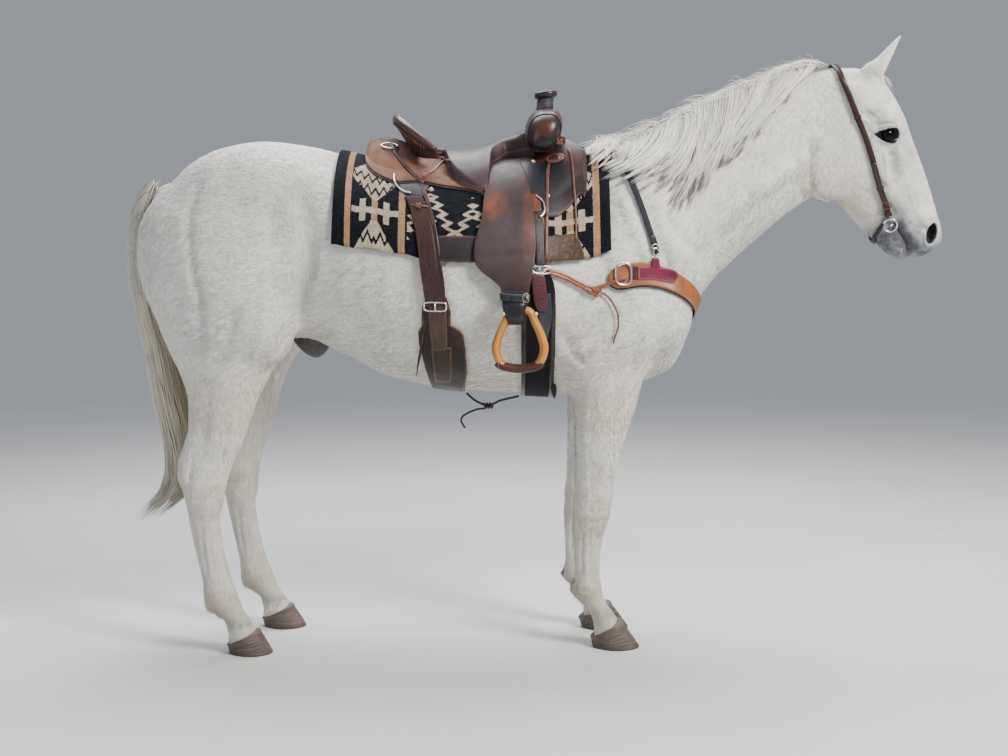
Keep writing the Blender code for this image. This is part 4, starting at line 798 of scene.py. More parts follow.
class Crease:
    """A soft groove (height below zero) or ridge along a line of the side view, on both sides.

    The line is (x, z) points; reach, if given, is the range of |y| in which it shows."""

    def __init__(self, line, width, height, reach=None, taper=True):
        self.line = np.array(line, float)
        self.width, self.height, self.reach, self.taper = width, height, reach, taper
        self.low = self.line.min(0) - 3.2 * width
        self.high = self.line.max(0) + 3.2 * width

    def __call__(self, p):
        q = p[:, [0, 2]]
        best, along = np.full(len(q), 9.0), np.zeros(len(q))
        n = len(self.line) - 1
        for i, (a, b) in enumerate(zip(self.line[:-1], self.line[1:])):
            ab = b - a
            s = np.clip((q - a) @ ab / (ab @ ab), 0, 1)
            d = np.linalg.norm(q - a - s[:, None] * ab, axis=1)
            nearer = d < best
            best[nearer], along[nearer] = d[nearer], ((i + s) / n)[nearer]
        out = self.height * np.exp(-((best / self.width) ** 2))
        if self.taper:
            out = out * np.clip(np.minimum(along, 1 - along) * 5 + 0.15, 0, 1)
        if self.reach:
            y = np.abs(p[:, 1])
            low, high = self.reach
            out = out * np.clip((y - low) / 0.012, 0, 1) * np.clip((high - y) / 0.012, 0, 1)
        return out


EYE_UPPER = [
    (1.0505, 1.6195), (1.059, 1.6245), (1.069, 1.6280), (1.080, 1.6315), (1.092, 1.6350), (1.104, 1.6370),
    (1.114, 1.6365), (1.121, 1.6325), (1.1255, 1.617)
]
EYE_LOWER = [
    (1.0505, 1.6195), (1.059, 1.6120), (1.069, 1.6050), (1.080, 1.5985), (1.092, 1.5940), (1.104, 1.5920),
    (1.114, 1.5935), (1.121, 1.5990), (1.1255, 1.617)
]
NOSTRIL = [
    (1.2545, 1.3460), (1.2470, 1.3445), (1.2360, 1.3330), (1.2285, 1.312), (1.2270, 1.292), (1.2350, 1.279),
    (1.2480, 1.2815), (1.2590, 1.299), (1.2630, 1.322), (1.2600, 1.339)
]
MOUTH = [
    (1.122, 1.360), (1.131, 1.346), (1.143, 1.323), (1.161, 1.298), (1.174, 1.276), (1.181, 1.256),
    (1.183, 1.236), (1.182, 1.215)
]
UPPER_LIP = [(1.120, 1.372), (1.138, 1.348), (1.160, 1.312), (1.188, 1.280), (1.216, 1.262), (1.240, 1.252)]


def eye_gap(p):
    """How far a point of the side view is outside the gap between the lids; inside is below zero."""
    upper = pchip(EYE_UPPER, p[:, 0])[:, 0]
    lower = pchip(EYE_LOWER, p[:, 0])[:, 0]
    ends = np.abs(p[:, 0] - 1.0872) - 0.0375
    return np.maximum(np.maximum(p[:, 2] - upper, lower - p[:, 2]) * 0.85, ends)


def polyline_gap(p, line):
    q, line = p[:, [0, 2]], np.array(line)
    best = np.full(len(q), 9.0)
    for a, b in zip(line[:-1], line[1:]):
        ab = b - a
        s = np.clip((q - a) @ ab / (ab @ ab), 0, 1)
        best = np.minimum(best, np.linalg.norm(q - a - s[:, None] * ab, axis=1))
    return best


def polygon_gap(p, ring):
    """Signed distance in the side view to a closed ring of (x, z) points."""
    q, ring = p[:, [0, 2]], np.array(ring)
    best, inside = np.full(len(q), 9.0), np.zeros(len(q), bool)
    for a, b in zip(ring, np.roll(ring, -1, axis=0)):
        ab = b - a
        s = np.clip((q - a) @ ab / (ab @ ab), 0, 1)
        best = np.minimum(best, np.linalg.norm(q - a - s[:, None] * ab, axis=1))
        cross = (a[1] > q[:, 1]) != (b[1] > q[:, 1])
        inside ^= cross & (q[:, 0] < (b[0] - a[0]) * (q[:, 1] - a[1]) / (b[1] - a[1] + 1e-12) + a[0])
    return np.where(inside, -best, best)


EYE = np.array(on_head(0.147, 0.064, 0.0765))
EYE_R = 0.0235


def folds():
    """Grooves and ridges of the skin: (line, width, height, |y| range)."""
    found = [
        # the fold above the upper lid, the folds below the lower one
        ([(1.050, 1.640), (1.064, 1.6485), (1.084, 1.6530), (1.104, 1.6510), (1.120, 1.641)],
         0.0038, -0.0022, (0.05, 0.2)),
        ([(1.056, 1.653), (1.074, 1.662), (1.096, 1.663), (1.112, 1.657)], 0.009, 0.0020, (0.04, 0.2)),
        ([(1.058, 1.601), (1.072, 1.5905), (1.090, 1.5850), (1.108, 1.5855), (1.122, 1.594)],
         0.0028, -0.0013, (0.05, 0.2)),
        ([(1.064, 1.590), (1.080, 1.5800), (1.098, 1.5770), (1.112, 1.579)], 0.0028, -0.0010, (0.05, 0.2)),
        # the hollow above the eye and the one behind its outer corner
        ([(1.020, 1.664), (1.040, 1.690)], 0.017, -0.0085, (0.03, 0.2)),
        ([(0.985, 1.650), (1.010, 1.668), (1.036, 1.662)], 0.009, 0.0026, (0.04, 0.2)),
        ([(1.020, 1.632), (1.040, 1.624)], 0.009, -0.0020, (0.05, 0.2)),
        # the facial crest, the hollow before it, the vein and muscle running to the nostril
        ([(1.081, 1.572), (1.091, 1.540), (1.099, 1.503), (1.110, 1.460)], 0.007, 0.0052, (0.03, 0.2)),
        ([(1.108, 1.572), (1.118, 1.530), (1.128, 1.485)], 0.012, -0.0048, (0.03, 0.2)),
        ([(1.124, 1.585), (1.150, 1.530), (1.166, 1.470), (1.190, 1.400), (1.216, 1.350)],
         0.0042, 0.0012, (0.02, 0.2)),
        ([(1.112, 1.468), (1.140, 1.420), (1.168, 1.370), (1.196, 1.335)], 0.0075, 0.0016, (0.02, 0.2)),
        ([(1.088, 1.446), (1.114, 1.400), (1.136, 1.366)], 0.010, -0.0040, (0.02, 0.2)),
        # the cheek's rear rim, the vein along the jaw
        ([(0.866, 1.600), (0.857, 1.540), (0.858, 1.480), (0.870, 1.437), (0.905, 1.416)],
         0.011, -0.0062, (0.03, 0.2)),
        ([(1.010, 1.452), (1.040, 1.440), (1.066, 1.452)], 0.006, -0.0016, (0.03, 0.2)),
        # the mouth, the folds at its corner, the line above the upper lip, the chin's groove
        (MOUTH, 0.0036, -0.0085, None),
        ([(1.122, 1.356), (1.132, 1.366), (1.144, 1.362)], 0.0032, -0.0018, (0.02, 0.2)),
        ([(1.118, 1.340), (1.122, 1.352), (1.130, 1.372)], 0.0034, -0.0014, (0.02, 0.2)),
        ([(1.150, 1.356), (1.172, 1.322), (1.196, 1.298), (1.222, 1.280)], 0.011, 0.0022, (0.01, 0.2)),
        ([(1.172, 1.228), (1.186, 1.250), (1.190, 1.272)], 0.010, 0.0030, (0.0, 0.2)),
        ([(1.122, 1.318), (1.134, 1.286), (1.152, 1.262)], 0.007, -0.0026, (0.0, 0.2)),
        # the neck: the groove of the throat, the band above it, creases behind the jaw
        ([(0.845, 1.512), (0.76, 1.455), (0.65, 1.375), (0.54, 1.290), (0.46, 1.215)],
         0.020, -0.0052, (0.02, 0.3)),
        ([(0.880, 1.565), (0.790, 1.520), (0.680, 1.450), (0.570, 1.370)], 0.028, 0.0035, (0.02, 0.3)),
        ([(0.872, 1.660), (0.850, 1.610), (0.842, 1.560)], 0.009, -0.0022, (0.03, 0.3)),
        ([(0.842, 1.672), (0.815, 1.622), (0.806, 1.570)], 0.010, -0.0016, (0.03, 0.3)),
        ([(0.520, 1.230), (0.450, 1.290), (0.400, 1.360)], 0.022, -0.0035, (0.05, 0.3)),
        # the shoulder: the spine of the blade, the line before it, the arm's long muscle, the elbow
        ([(0.240, 1.470), (0.290, 1.350), (0.345, 1.230), (0.395, 1.130)], 0.016, 0.0040, (0.05, 0.4)),
        ([(0.345, 1.395), (0.375, 1.290), (0.420, 1.190)], 0.018, -0.0040, (0.05, 0.4)),
        ([(0.160, 1.330), (0.215, 1.200), (0.285, 1.090)], 0.020, -0.0042, (0.05, 0.4)),
        ([(0.080, 1.020), (0.110, 0.950), (0.160, 0.905)], 0.014, -0.0040, (0.05, 0.4)),
        ([(0.330, 1.010), (0.300, 0.950), (0.285, 0.880)], 0.014, -0.0036, (0.05, 0.4)),
        ([(0.262, 0.900), (0.240, 0.800), (0.220, 0.690), (0.205, 0.600)], 0.009, -0.0026, (0.05, 0.4)),
        ([(0.180, 0.860), (0.175, 0.760), (0.165, 0.660)], 0.009, -0.0022, (0.05, 0.4)),
        # the flank: its fold and the skin's soft ripples, the hip, the line between thigh and buttock
        ([(-0.720, 1.460), (-0.690, 1.340), (-0.690, 1.220), (-0.740, 1.080)], 0.024, -0.0062, (0.05, 0.4)),
        ([(-0.650, 1.300), (-0.655, 1.180), (-0.700, 1.060)], 0.020, 0.0040, (0.05, 0.4)),
        ([(-0.790, 1.440), (-0.800, 1.340), (-0.780, 1.230)], 0.030, -0.0030, (0.05, 0.4)),
        ([(-1.010, 1.500), (-1.045, 1.380), (-1.040, 1.240), (-1.010, 1.100), (-1.020, 0.960)],
         0.018, -0.0050, (0.05, 0.4)),
        ([(-0.900, 1.080), (-0.930, 0.980), (-0.985, 0.880)], 0.020, -0.0036, (0.05, 0.4)),
        ([(-0.820, 1.060), (-0.840, 0.980), (-0.880, 0.900)], 0.012, 0.0026, (0.05, 0.4)),
        ([(-1.000, 0.860), (-1.010, 0.760), (-1.030, 0.660)], 0.010, -0.0032, (0.05, 0.4)),
        ([(-0.640, 1.000), (-0.720, 0.985), (-0.790, 1.010)], 0.012, -0.0026, (0.05, 0.4)),
    ]
    for x in (-0.43, -0.50, -0.565):
        found.append(([(x + 0.02, 1.33), (x - 0.02, 1.16), (x - 0.01, 1.02)], 0.016, 0.0013, (0.05, 0.4)))
    return [Crease(*row) for row in found]


def leg_folds():
    """Tendons, joints and the coronet's rim: each leg's own, told apart by which side of y = 0."""
    found = {-1: [], 1: []}
    for name, side in SIDES.items():
        dx = FORE[name][1]
        f = lambda rows: [(x + dx * min(1.0, (0.95 - z) / 0.6), z) for x, z in rows]
        found[side] += [
            Crease(f([(0.150, 0.385), (0.148, 0.300), (0.150, 0.240)]), 0.0050, -0.0042),
            Crease(f([(0.168, 0.385), (0.166, 0.300), (0.168, 0.245)]), 0.0045, -0.0020),
            Crease(f([(0.128, 0.452), (0.180, 0.446), (0.232, 0.450)]), 0.006, -0.0016),
            Crease(f([(0.128, 0.418), (0.180, 0.412), (0.226, 0.414)]), 0.006, -0.0013),
            Crease(f([(0.200, 0.505), (0.205, 0.470)]), 0.010, 0.0020),
            Crease(f([(0.118, 0.500), (0.120, 0.440)]), 0.008, 0.0030),
            Crease(f([(0.150, 0.185), (0.172, 0.215), (0.200, 0.205)]), 0.007, -0.0016),
            Crease(f([(0.196, 0.100), (0.236, 0.115), (0.262, 0.112)]), 0.008, 0.0016),
        ]
        dx = HIND[name][1]
        h = lambda rows: [(x + dx * min(1.0, (1.05 - z) / 0.6), z) for x, z in rows]
        found[side] += [
            Crease(h([(-1.040, 0.420), (-1.034, 0.330), (-1.022, 0.250)]), 0.0052, -0.0044),
            Crease(h([(-1.018, 0.420), (-1.012, 0.330), (-1.002, 0.255)]), 0.0046, -0.0020),
            Crease(h([(-1.060, 0.640), (-1.072, 0.590), (-1.076, 0.545)]), 0.010, -0.0050),
            Crease(h([(-0.985, 0.555), (-1.020, 0.520), (-1.040, 0.480)]), 0.010, 0.0030),
            Crease(h([(-0.990, 0.500), (-1.040, 0.492), (-1.080, 0.498)]), 0.006, -0.0016),
            Crease(h([(-1.020, 0.175), (-0.990, 0.200), (-0.955, 0.190)]), 0.007, -0.0016),
            Crease(h([(-0.950, 0.088), (-0.910, 0.104), (-0.880, 0.100)]), 0.008, 0.0016),
        ]
    return found


FOLDS, LEG_FOLDS = folds(), leg_folds()


def depth(p):
    """How deep the skin lies below the coat: shallow on the face and the lower legs."""
    t = (p[:, [0, 2]] - HEAD_START) @ HEAD_WAY
    face = np.clip((t + 0.02) / 0.10, 0, 1) * (p[:, 0] > 0.85)
    low = np.clip((0.55 - p[:, 2]) / 0.2, 0, 1)
    return COAT - (COAT - 0.0018) * np.maximum(face, low)


HOOF_ROWS = {
    # name: y, coronet at front, coronet at heel, toe on the ground, heel on the ground, half-width
    "hoof_fore_right": (FORE["right"][0], (0.272, 0.090), (0.176, 0.030), 0.334, 0.180, 0.064),
    "hoof_fore_left": (FORE["left"][0], (0.254, 0.088), (0.150, 0.030), 0.318, 0.158, 0.064),
    "hoof_hind_right": (HIND["right"][0], (-0.868, 0.074), (-0.972, 0.028), -0.826, -0.964, 0.060),
    "hoof_hind_left": (HIND["left"][0], (-0.810, 0.074), (-0.914, 0.028), -0.764, -0.906, 0.060),
}


class Skin:
    """The body's field with its folds, lids, nostrils and mouth, sunk by the coat's depth."""

    def __call__(self, p):
        d = BODY(p)
        for crease in FOLDS:
            q = p[:, [0, 2]]
            near = ((q > crease.low) & (q < crease.high)).all(1)
            if near.any():
                d[near] -= crease(p[near])
        for side, creases in LEG_FOLDS.items():
            mine = (p[:, 1] * side > 0) & (p[:, 2] < 0.75)
            for crease in creases if mine.any() else ():
                near = mine & ((p[:, [0, 2]] > crease.low) & (p[:, [0, 2]] < crease.high)).all(1)
                if near.any():
                    d[near] -= crease(p[near])
        d = d + depth(p)
        # a low mound that each ear stands on
        near = (np.abs(p[:, 0] - 1.05) < 0.09) & (p[:, 2] > 1.73)
        if near.any():
            q = np.stack([p[near, 0], np.abs(p[near, 1]), p[near, 2]], 1)
            mound = (np.linalg.norm((q - [1.050, 0.047, 1.795]) / [0.035, 0.027, 0.036], axis=1) - 1) * 0.027
            d[near] = smooth_min(d[near], mound, 0.022)
        # cut off inside each hoof
        for y, (fx, fz), (hx, hz), *_ in HOOF_ROWS.values():
            near = (np.abs(p[:, 1] - y) < 0.12) & (np.abs(p[:, 0] - (fx + hx) / 2) < 0.16) & (p[:, 2] < 0.15)
            if near.any():
                q = p[near]
                crown = hz + (fz - hz) * (q[:, 0] - hx) / (fx - hx)
                d[near] = np.maximum(d[near], (np.maximum(crown - 0.014, 0.010) - q[:, 2]) * 0.86)
        near = (p[:, 0] > 0.99) & (p[:, 2] > 1.54) & (p[:, 2] < 1.70)
        if near.any():
            d[near] = self.lids(p[near], d[near])
        near = (p[:, 0] > 1.15) & (p[:, 2] < 1.40)
        if near.any():
            d[near] = self.nostrils(p[near], d[near])
        return d

    def lids(self, p, d):
        q = np.stack([p[:, 0], np.abs(p[:, 1]), p[:, 2]], 1)
        r = np.linalg.norm(q - EYE, axis=1)
        gap = eye_gap(p)
        lid = r - (EYE_R + 0.0034 + 0.0010 * np.exp(-((gap - 0.002) / 0.0022) ** 2))
        d = smooth_min(d, lid, 0.012)
        hole = np.maximum(gap, EYE_R - 0.0012 - r)
        away = q[:, 1] < EYE[1] * 0.6
        hole[away] = 1.0
        return -smooth_min(-d, hole, 0.0016)

    def nostrils(self, p, d):
        y = np.abs(p[:, 1])
        gap = polygon_gap(p, NOSTRIL)
        rim = 0.0042 * np.exp(-((gap - 0.004) / 0.0048) ** 2)
        lower = np.clip((1.345 - p[:, 2]) / 0.05, 0.35, 1)
        d = d - rim * lower * np.clip((y - 0.012) / 0.01, 0, 1)
        floor = 0.026 - y - np.clip((p[:, 2] - 1.300) / 0.05, -0.4, 1) * 0.006
        hole = np.maximum(gap + np.clip(0.060 - y, 0, 0.03) * 0.15, floor)
        return -smooth_min(-d, hole, 0.003)

    def slope(self, p, step=0.0012):
        t = np.array([[1, 1, 1], [1, -1, -1], [-1, 1, -1], [-1, -1, 1]], float)
        v = np.stack([self(p + k * step) for k in t])
        g = np.einsum("kn,kj->nj", v, t) / (4 * step)
        size = np.maximum(np.linalg.norm(g, axis=1), 1e-6)
        return v.mean(0), g / size[:, None], size


SKIN = Skin()
SKIN_CELL = 0.013  # the skin's grid before finer() halves it on the legs, the head, the mouth and the eyes


def make_skin():
    """One closed mesh of the horse without its ears, eyes, hooves and hair, finest at eyes and nostrils."""
    points, faces = surface(SKIN, SKIN_CELL)
    bm = bmesh.new()
    verts = [bm.verts.new(p) for p in points.tolist()]
    for face in faces.tolist():
        bm.faces.new([verts[i] for i in face])
    bm.verts.index_update()

    def finer(chosen):
        co = np.array([v.co[:] for v in bm.verts])
        bm.verts.ensure_lookup_table()
        pick = chosen(co)
        bm.verts.index_update()
        edges = {e for v in bm.verts if pick[v.index] for f in v.link_faces for e in f.edges}
        bmesh.ops.subdivide_edges(bm, edges=list(edges), cuts=1, use_grid_fill=True)
        co = np.array([v.co[:] for v in bm.verts])
        for _ in range(2):
            value, way, steep = SKIN.slope(co)
            co = co - way * np.clip(value / steep, -0.006, 0.006)[:, None]
        for v, p in zip(bm.verts, co.tolist()):
            v.co = p

    def near(centre, radius):
        return lambda p: (
            np.linalg.norm(np.stack([p[:, 0], np.abs(p[:, 1]), p[:, 2]], 1) - centre, axis=1)
        ) < radius

    nose = np.array(on_head(0.482, 0.058, 0.045))
    lips = np.array(on_head(0.46, 0.0, 0.0))
    finer(lambda p: (p[:, 2] < 0.60) | ((p[:, [0, 2]] - HEAD_START) @ HEAD_WAY > -0.06) & (p[:, 0] > 0.88))
    finer(lambda p: near(EYE, 0.062)(p) | near(lips, 0.105)(p))
    finer(lambda p: near(EYE, 0.044)(p) | near(nose, 0.036)(p) | (np.abs(polyline_gap(p, MOUTH)) < 0.010))
    bmesh.ops.triangulate(bm, faces=[f for f in bm.faces if len(f.verts) > 4])
    bmesh.ops.recalc_face_normals(bm, faces=bm.faces)
    mesh = bpy.data.meshes.new("horse_skin")
    bm.to_mesh(mesh)
    bm.free()
    co = points_of(mesh)
    for _ in range(2):
        value, way, steep = SKIN.slope(co)
        co = co - way * np.clip(value / steep, -0.003, 0.003)[:, None]
    mesh.vertices.foreach_set("co", co.astype(np.float32).ravel())
    mesh.update()
    return mesh


# ---------------------------------------------------------------- markings and the lie of the coat

WHITE = np.array([0.745, 0.722, 0.668])
# a mid grey: the coat's real grey marks, and painted shade in hollows and creases
GREY_AND_SHADE = np.array([0.500, 0.490, 0.470])
SLATE = np.array([0.075, 0.080, 0.092])
BLUISH = np.array([0.270, 0.285, 0.320])
STAIN = np.array([0.520, 0.420, 0.270])


# side-view lines of hollows and creases, each with a width and a share, along which painted shade is laid
SHADE_LINES = [
    ([(0.845, 1.512), (0.76, 1.455), (0.65, 1.375), (0.54, 1.290), (0.46, 1.215)], 0.022, 0.42),
    ([(0.866, 1.600), (0.857, 1.540), (0.858, 1.480), (0.870, 1.437), (0.905, 1.416)], 0.013, 0.60),
    ([(0.345, 1.395), (0.375, 1.290), (0.420, 1.190)], 0.024, 0.40),
    ([(0.160, 1.330), (0.215, 1.200), (0.285, 1.090)], 0.026, 0.36),
    ([(0.080, 1.020), (0.110, 0.950), (0.160, 0.905)], 0.022, 0.45),
    ([(0.330, 1.010), (0.300, 0.950), (0.285, 0.880)], 0.020, 0.35),
    ([(-0.720, 1.460), (-0.690, 1.340), (-0.690, 1.220), (-0.740, 1.080)], 0.032, 0.50),
    ([(-1.010, 1.500), (-1.045, 1.380), (-1.040, 1.240), (-1.010, 1.100), (-1.020, 0.960)], 0.024, 0.42),
    ([(-0.900, 1.080), (-0.930, 0.980), (-0.985, 0.880)], 0.024, 0.40),
    ([(-0.640, 1.000), (-0.720, 0.985), (-0.790, 1.010)], 0.018, 0.35),
]


def bell(d, w):
    return np.exp(-((d / w) ** 2))


def tone(p):
    """The colour of skin and coat at points: a white-grey coat, slate lips and eyelids, stained legs, with
    painted shade in hollows, creases and nostrils and painted bounced light under the jaw.
    """
    x, y, z = p.T
    c = WHITE * (1 + 0.035 * wander(p, 7, 1) + 0.045 * wander(p, 38, 2))[:, None]

    def blend(target, share):
        c[:] = c + (target - c) * np.clip(share, 0, 1)[:, None]

    mottle = wander(p, 95, 3) + 0.6 * wander(p, 210, 4)
    dapple = wander(p, 16, 5)
    # hollows and creases hold a little grey
    # painted shade: a little grey laid along the hollows and creases
    for line, wide, share in SHADE_LINES:
        blend(GREY_AND_SHADE * 0.92, share * bell(polyline_gap(p, line), wide) * (1 + 0.5 * mottle))
    blend(GREY_AND_SHADE, 0.20 * np.clip(dapple, 0, 1) * (z > 0.8))
    # the belly, the inner thighs, the elbows and under the tail
    blend(STAIN, 0.30 * np.clip((0.98 - z) / 0.2, 0, 1) * (z > 0.7) * (1 + 0.5 * mottle))
    blend(STAIN * 0.8, 0.35 * bell(x + 1.10, 0.12) * bell(z - 0.90, 0.30) * (np.abs(y) < 0.12))
    # a warm band along the jaw's rear edge: stain, and painted light bounced up from the ground
    blend(
        STAIN,
        0.40 * bell(
            polyline_gap(p, [(0.858, 1.500), (0.862, 1.440), (0.915, 1.412), (0.985, 1.392)]), 0.022
        ) * (1 + 0.5 * mottle)
    )
    # the legs: warm all down, more at knee, hock and fetlock
    low = np.clip((0.70 - z) / 0.35, 0, 1)
    hind = x < -0.5
    joint = np.where(hind, bell(z - 0.52, 0.09), bell(z - 0.44, 0.08)) + bell(
        z - np.where(hind, 0.16, 0.17), 0.06
    )
    blend(STAIN, low * (0.16 + 0.34 * joint) * (1 + 0.5 * wander(p, 26, 6)))
    blend(GREY_AND_SHADE * 0.8, low * 0.22 * np.clip(wander(p * [1, 1, 0.35], 60, 7) + 0.2, 0, 1))
    blend(GREY_AND_SHADE * 0.55, 0.5 * bell(z - 0.105, 0.03) * (z < 0.2))
    # the head
    face = x > 0.86
    q = p[face]
    if len(q):
        k = c[face]
        t, e = (q[:, [0, 2]] - HEAD_START) @ HEAD_WAY, (q[:, [0, 2]] - HEAD_START) @ HEAD_FRONT
        m = mottle[face]

        def on_face(target, share):
            k[:] = k + (target - k) * np.clip(share, 0, 1)[:, None]

        mouth, lip = polyline_gap(q, MOUTH), polyline_gap(q, UPPER_LIP)
        # warm under the jaw: stain, and painted light bounced up from the ground
        on_face(STAIN, 0.30 * bell(e + 0.12, 0.05) * bell(t - 0.28, 0.12))
        on_face(
            BLUISH,
            0.60 * np.clip((t - 0.33) / 0.12, 0, 1) * np.clip((0.062 - e) / 0.05, 0, 1) * (1 + 0.6 * m)
        )
        on_face(BLUISH * 0.8, 0.75 * bell(lip, 0.050) * (1 + 0.4 * m))
        on_face(SLATE * 0.8, 1.15 * bell(lip, 0.0255) * (1 + 0.20 * m))
        on_face(SLATE * 0.9, 0.85 * bell(mouth, 0.012) * (t > 0.34))
        low_lip = np.clip((-0.020 - e) / 0.03, 0, 1) * np.clip((t - 0.375) / 0.05, 0, 1)
        on_face(SLATE * 1.35, 0.90 * low_lip * (1 + 0.35 * m))
        on_face(SLATE * 0.6, 0.60 * low_lip * np.clip(wander(q * [1, 1, 0.25], 150, 8) + 0.15, 0, 1))
        # painted shade: soft grey in the face's hollows; then grey mottling scattered over the cheek
        on_face(GREY_AND_SHADE * 0.80, 0.50 * bell(np.hypot(q[:, 0] - 1.028, q[:, 2] - 1.675), 0.024) * (1 + 0.4 * m))
        on_face(
            GREY_AND_SHADE * 0.85,
            0.42 * bell(polyline_gap(q, [(1.112, 1.570), (1.128, 1.490)]), 0.014) * (1 + 0.6 * m)
        )
        on_face(
            GREY_AND_SHADE * 0.85,
            0.40 * bell(polyline_gap(q, [(1.085, 1.447), (1.130, 1.372)]), 0.014) * (1 + 0.6 * m)
        )
        on_face(GREY_AND_SHADE * 0.90, 0.30 * np.clip(wander(q, 30, 9) + 0.1, 0, 1) * (1 + 0.7 * m))
        gap = polygon_gap(q, NOSTRIL)
        nose = (np.abs(q[:, 1]) > 0.012) & (t > 0.42)
        on_face(BLUISH * 1.2, nose * 0.55 * bell(gap - 0.008, 0.016) * (1 + 0.5 * m))
        on_face(
            WHITE * 0.92,
            nose * 0.75 * bell(gap - 0.0050, 0.0036) * np.clip(
                (q[:, 0] - 1.232) / 0.02 + (1.30 - q[:, 2]) / 0.03, 0.25, 1
            )
        )
        # painted shade: near-black inside each nostril, over its dark skin
        on_face(SLATE * 0.22, nose * np.clip(0.5 - gap / 0.003, 0, 1))
        on_face(BLUISH * 1.5, 0.35 * np.clip((t - 0.47) / 0.05, 0, 1) * np.clip(m + 0.3, 0, 1))
        gap = eye_gap(q)
        eye = np.linalg.norm(np.stack([q[:, 0], np.abs(q[:, 1]), q[:, 2]], 1) - EYE, axis=1) < 0.075
        on_face(BLUISH * 1.7, eye * 0.55 * bell(np.maximum(gap, 0), 0.020))
        on_face(BLUISH * 0.9, eye * 0.75 * bell(np.maximum(gap, 0), 0.0085))
        on_face(SLATE * 0.22, eye * np.clip(1.15 - np.maximum(gap, 0) / 0.0030, 0, 1))
        # painted shade in the fold below the lower lid
        on_face(GREY_AND_SHADE * 0.9, eye * 0.35 * bell(gap - 0.014, 0.006) * (q[:, 2] < 1.60) * (1 + 0.8 * m))
        c[face] = k
    return np.clip(c, 0.004, 0.85)


def lie(p, way):
    """The direction in which the hair lies at points whose outward direction is way."""
    x, z = p[:, [0, 2]].T
    d = np.tile([-0.90, 0.0, -0.42], (len(p), 1))

    def turn(target, share):
        d[:] = d + (np.asarray(target, float) - d) * np.clip(share, 0, 1)[:, None]

    turn([-1.0, 0, -0.14], np.clip((-0.60 - x) / 0.2, 0, 1))
    turn([-0.62, 0, -0.80], np.clip((-1.00 - x) / 0.15, 0, 1) * np.clip((1.45 - z) / 0.1, 0, 1))
    turn([-0.10, 0, -1.0], np.clip((-1.13 - x) / 0.08, 0, 1))
    turn([-0.97, 0, 0.05], np.clip((1.0 - z) / 0.15, 0, 1) * (np.abs(x + 0.25) < 0.5))
    turn([-0.50, 0, -0.86], np.clip((x - 0.30) / 0.2, 0, 1) * np.clip((z - 1.15) / 0.2, 0, 1))
    turn([0.05, 0, -1.0], np.clip((x - 0.40) / 0.1, 0, 1) * np.clip((1.30 - z) / 0.2, 0, 1))
    turn([-0.12, 0, -1.0], np.clip((0.95 - z) / 0.18, 0, 1) * ((np.abs(x + 0.25) > 0.42)))
    fold = polyline_gap(p, [(-0.720, 1.460), (-0.690, 1.340), (-0.690, 1.220), (-0.740, 1.080)])
    turn([0.25, 0, 0.97], 0.9 * bell(fold, 0.055))
    face = np.clip((x - 0.87) / 0.08, 0, 1) * (z > 1.15)
    turn([0.30, 0, -0.95], face)
    e = (p[:, [0, 2]] - HEAD_START) @ HEAD_FRONT
    turn([0.45, 0, -0.89], face * np.clip((e - 0.03) / 0.05, 0, 1))
    d += 0.22 * np.stack([wander(p, 11, 11), wander(p, 11, 12), wander(p, 11, 13)], 1)
    d += 0.10 * np.stack([wander(p, 60, 14), wander(p, 60, 15), wander(p, 60, 16)], 1)
    d -= way * (d * way).sum(1)[:, None]
    return unit(d)


def streaks(p):
    """Noise from -1 to 1 drawn out along the lie of the coat, for the rows that short hair falls into."""
    x, y, z = p.T
    total, weight = np.zeros(len(p)), np.zeros(len(p))
    front = np.clip((x - 0.25) / 0.2, 0, 1)
    low = np.clip((0.90 - z) / 0.2, 0, 1)
    face = np.clip((x - 0.90) / 0.05, 0, 1) * (z > 1.2)
    shares = [(-0.99, -0.14, (1 - front) * (1 - low)), (-0.50, -0.86, front * (1 - low) * (1 - face)),
              (0.0, -1.0, low), (0.42, -0.91, face)]
    for k, (dx, dz, share) in enumerate(shares):
        on = share > 0.01
        if on.any():
            q = np.stack([x * dx + z * dz, y, -x * dz + z * dx], 1)[on]
            bent = q + 0.012 * np.stack([wander(q, 9, 40), 0 * q[:, 0], wander(q, 9, 41)], 1)
            total[on] += share[on] * wander(bent, (32, 62.5, 125), 21 + k)
            weight[on] += share[on]
    return total / np.maximum(weight, 0.01)


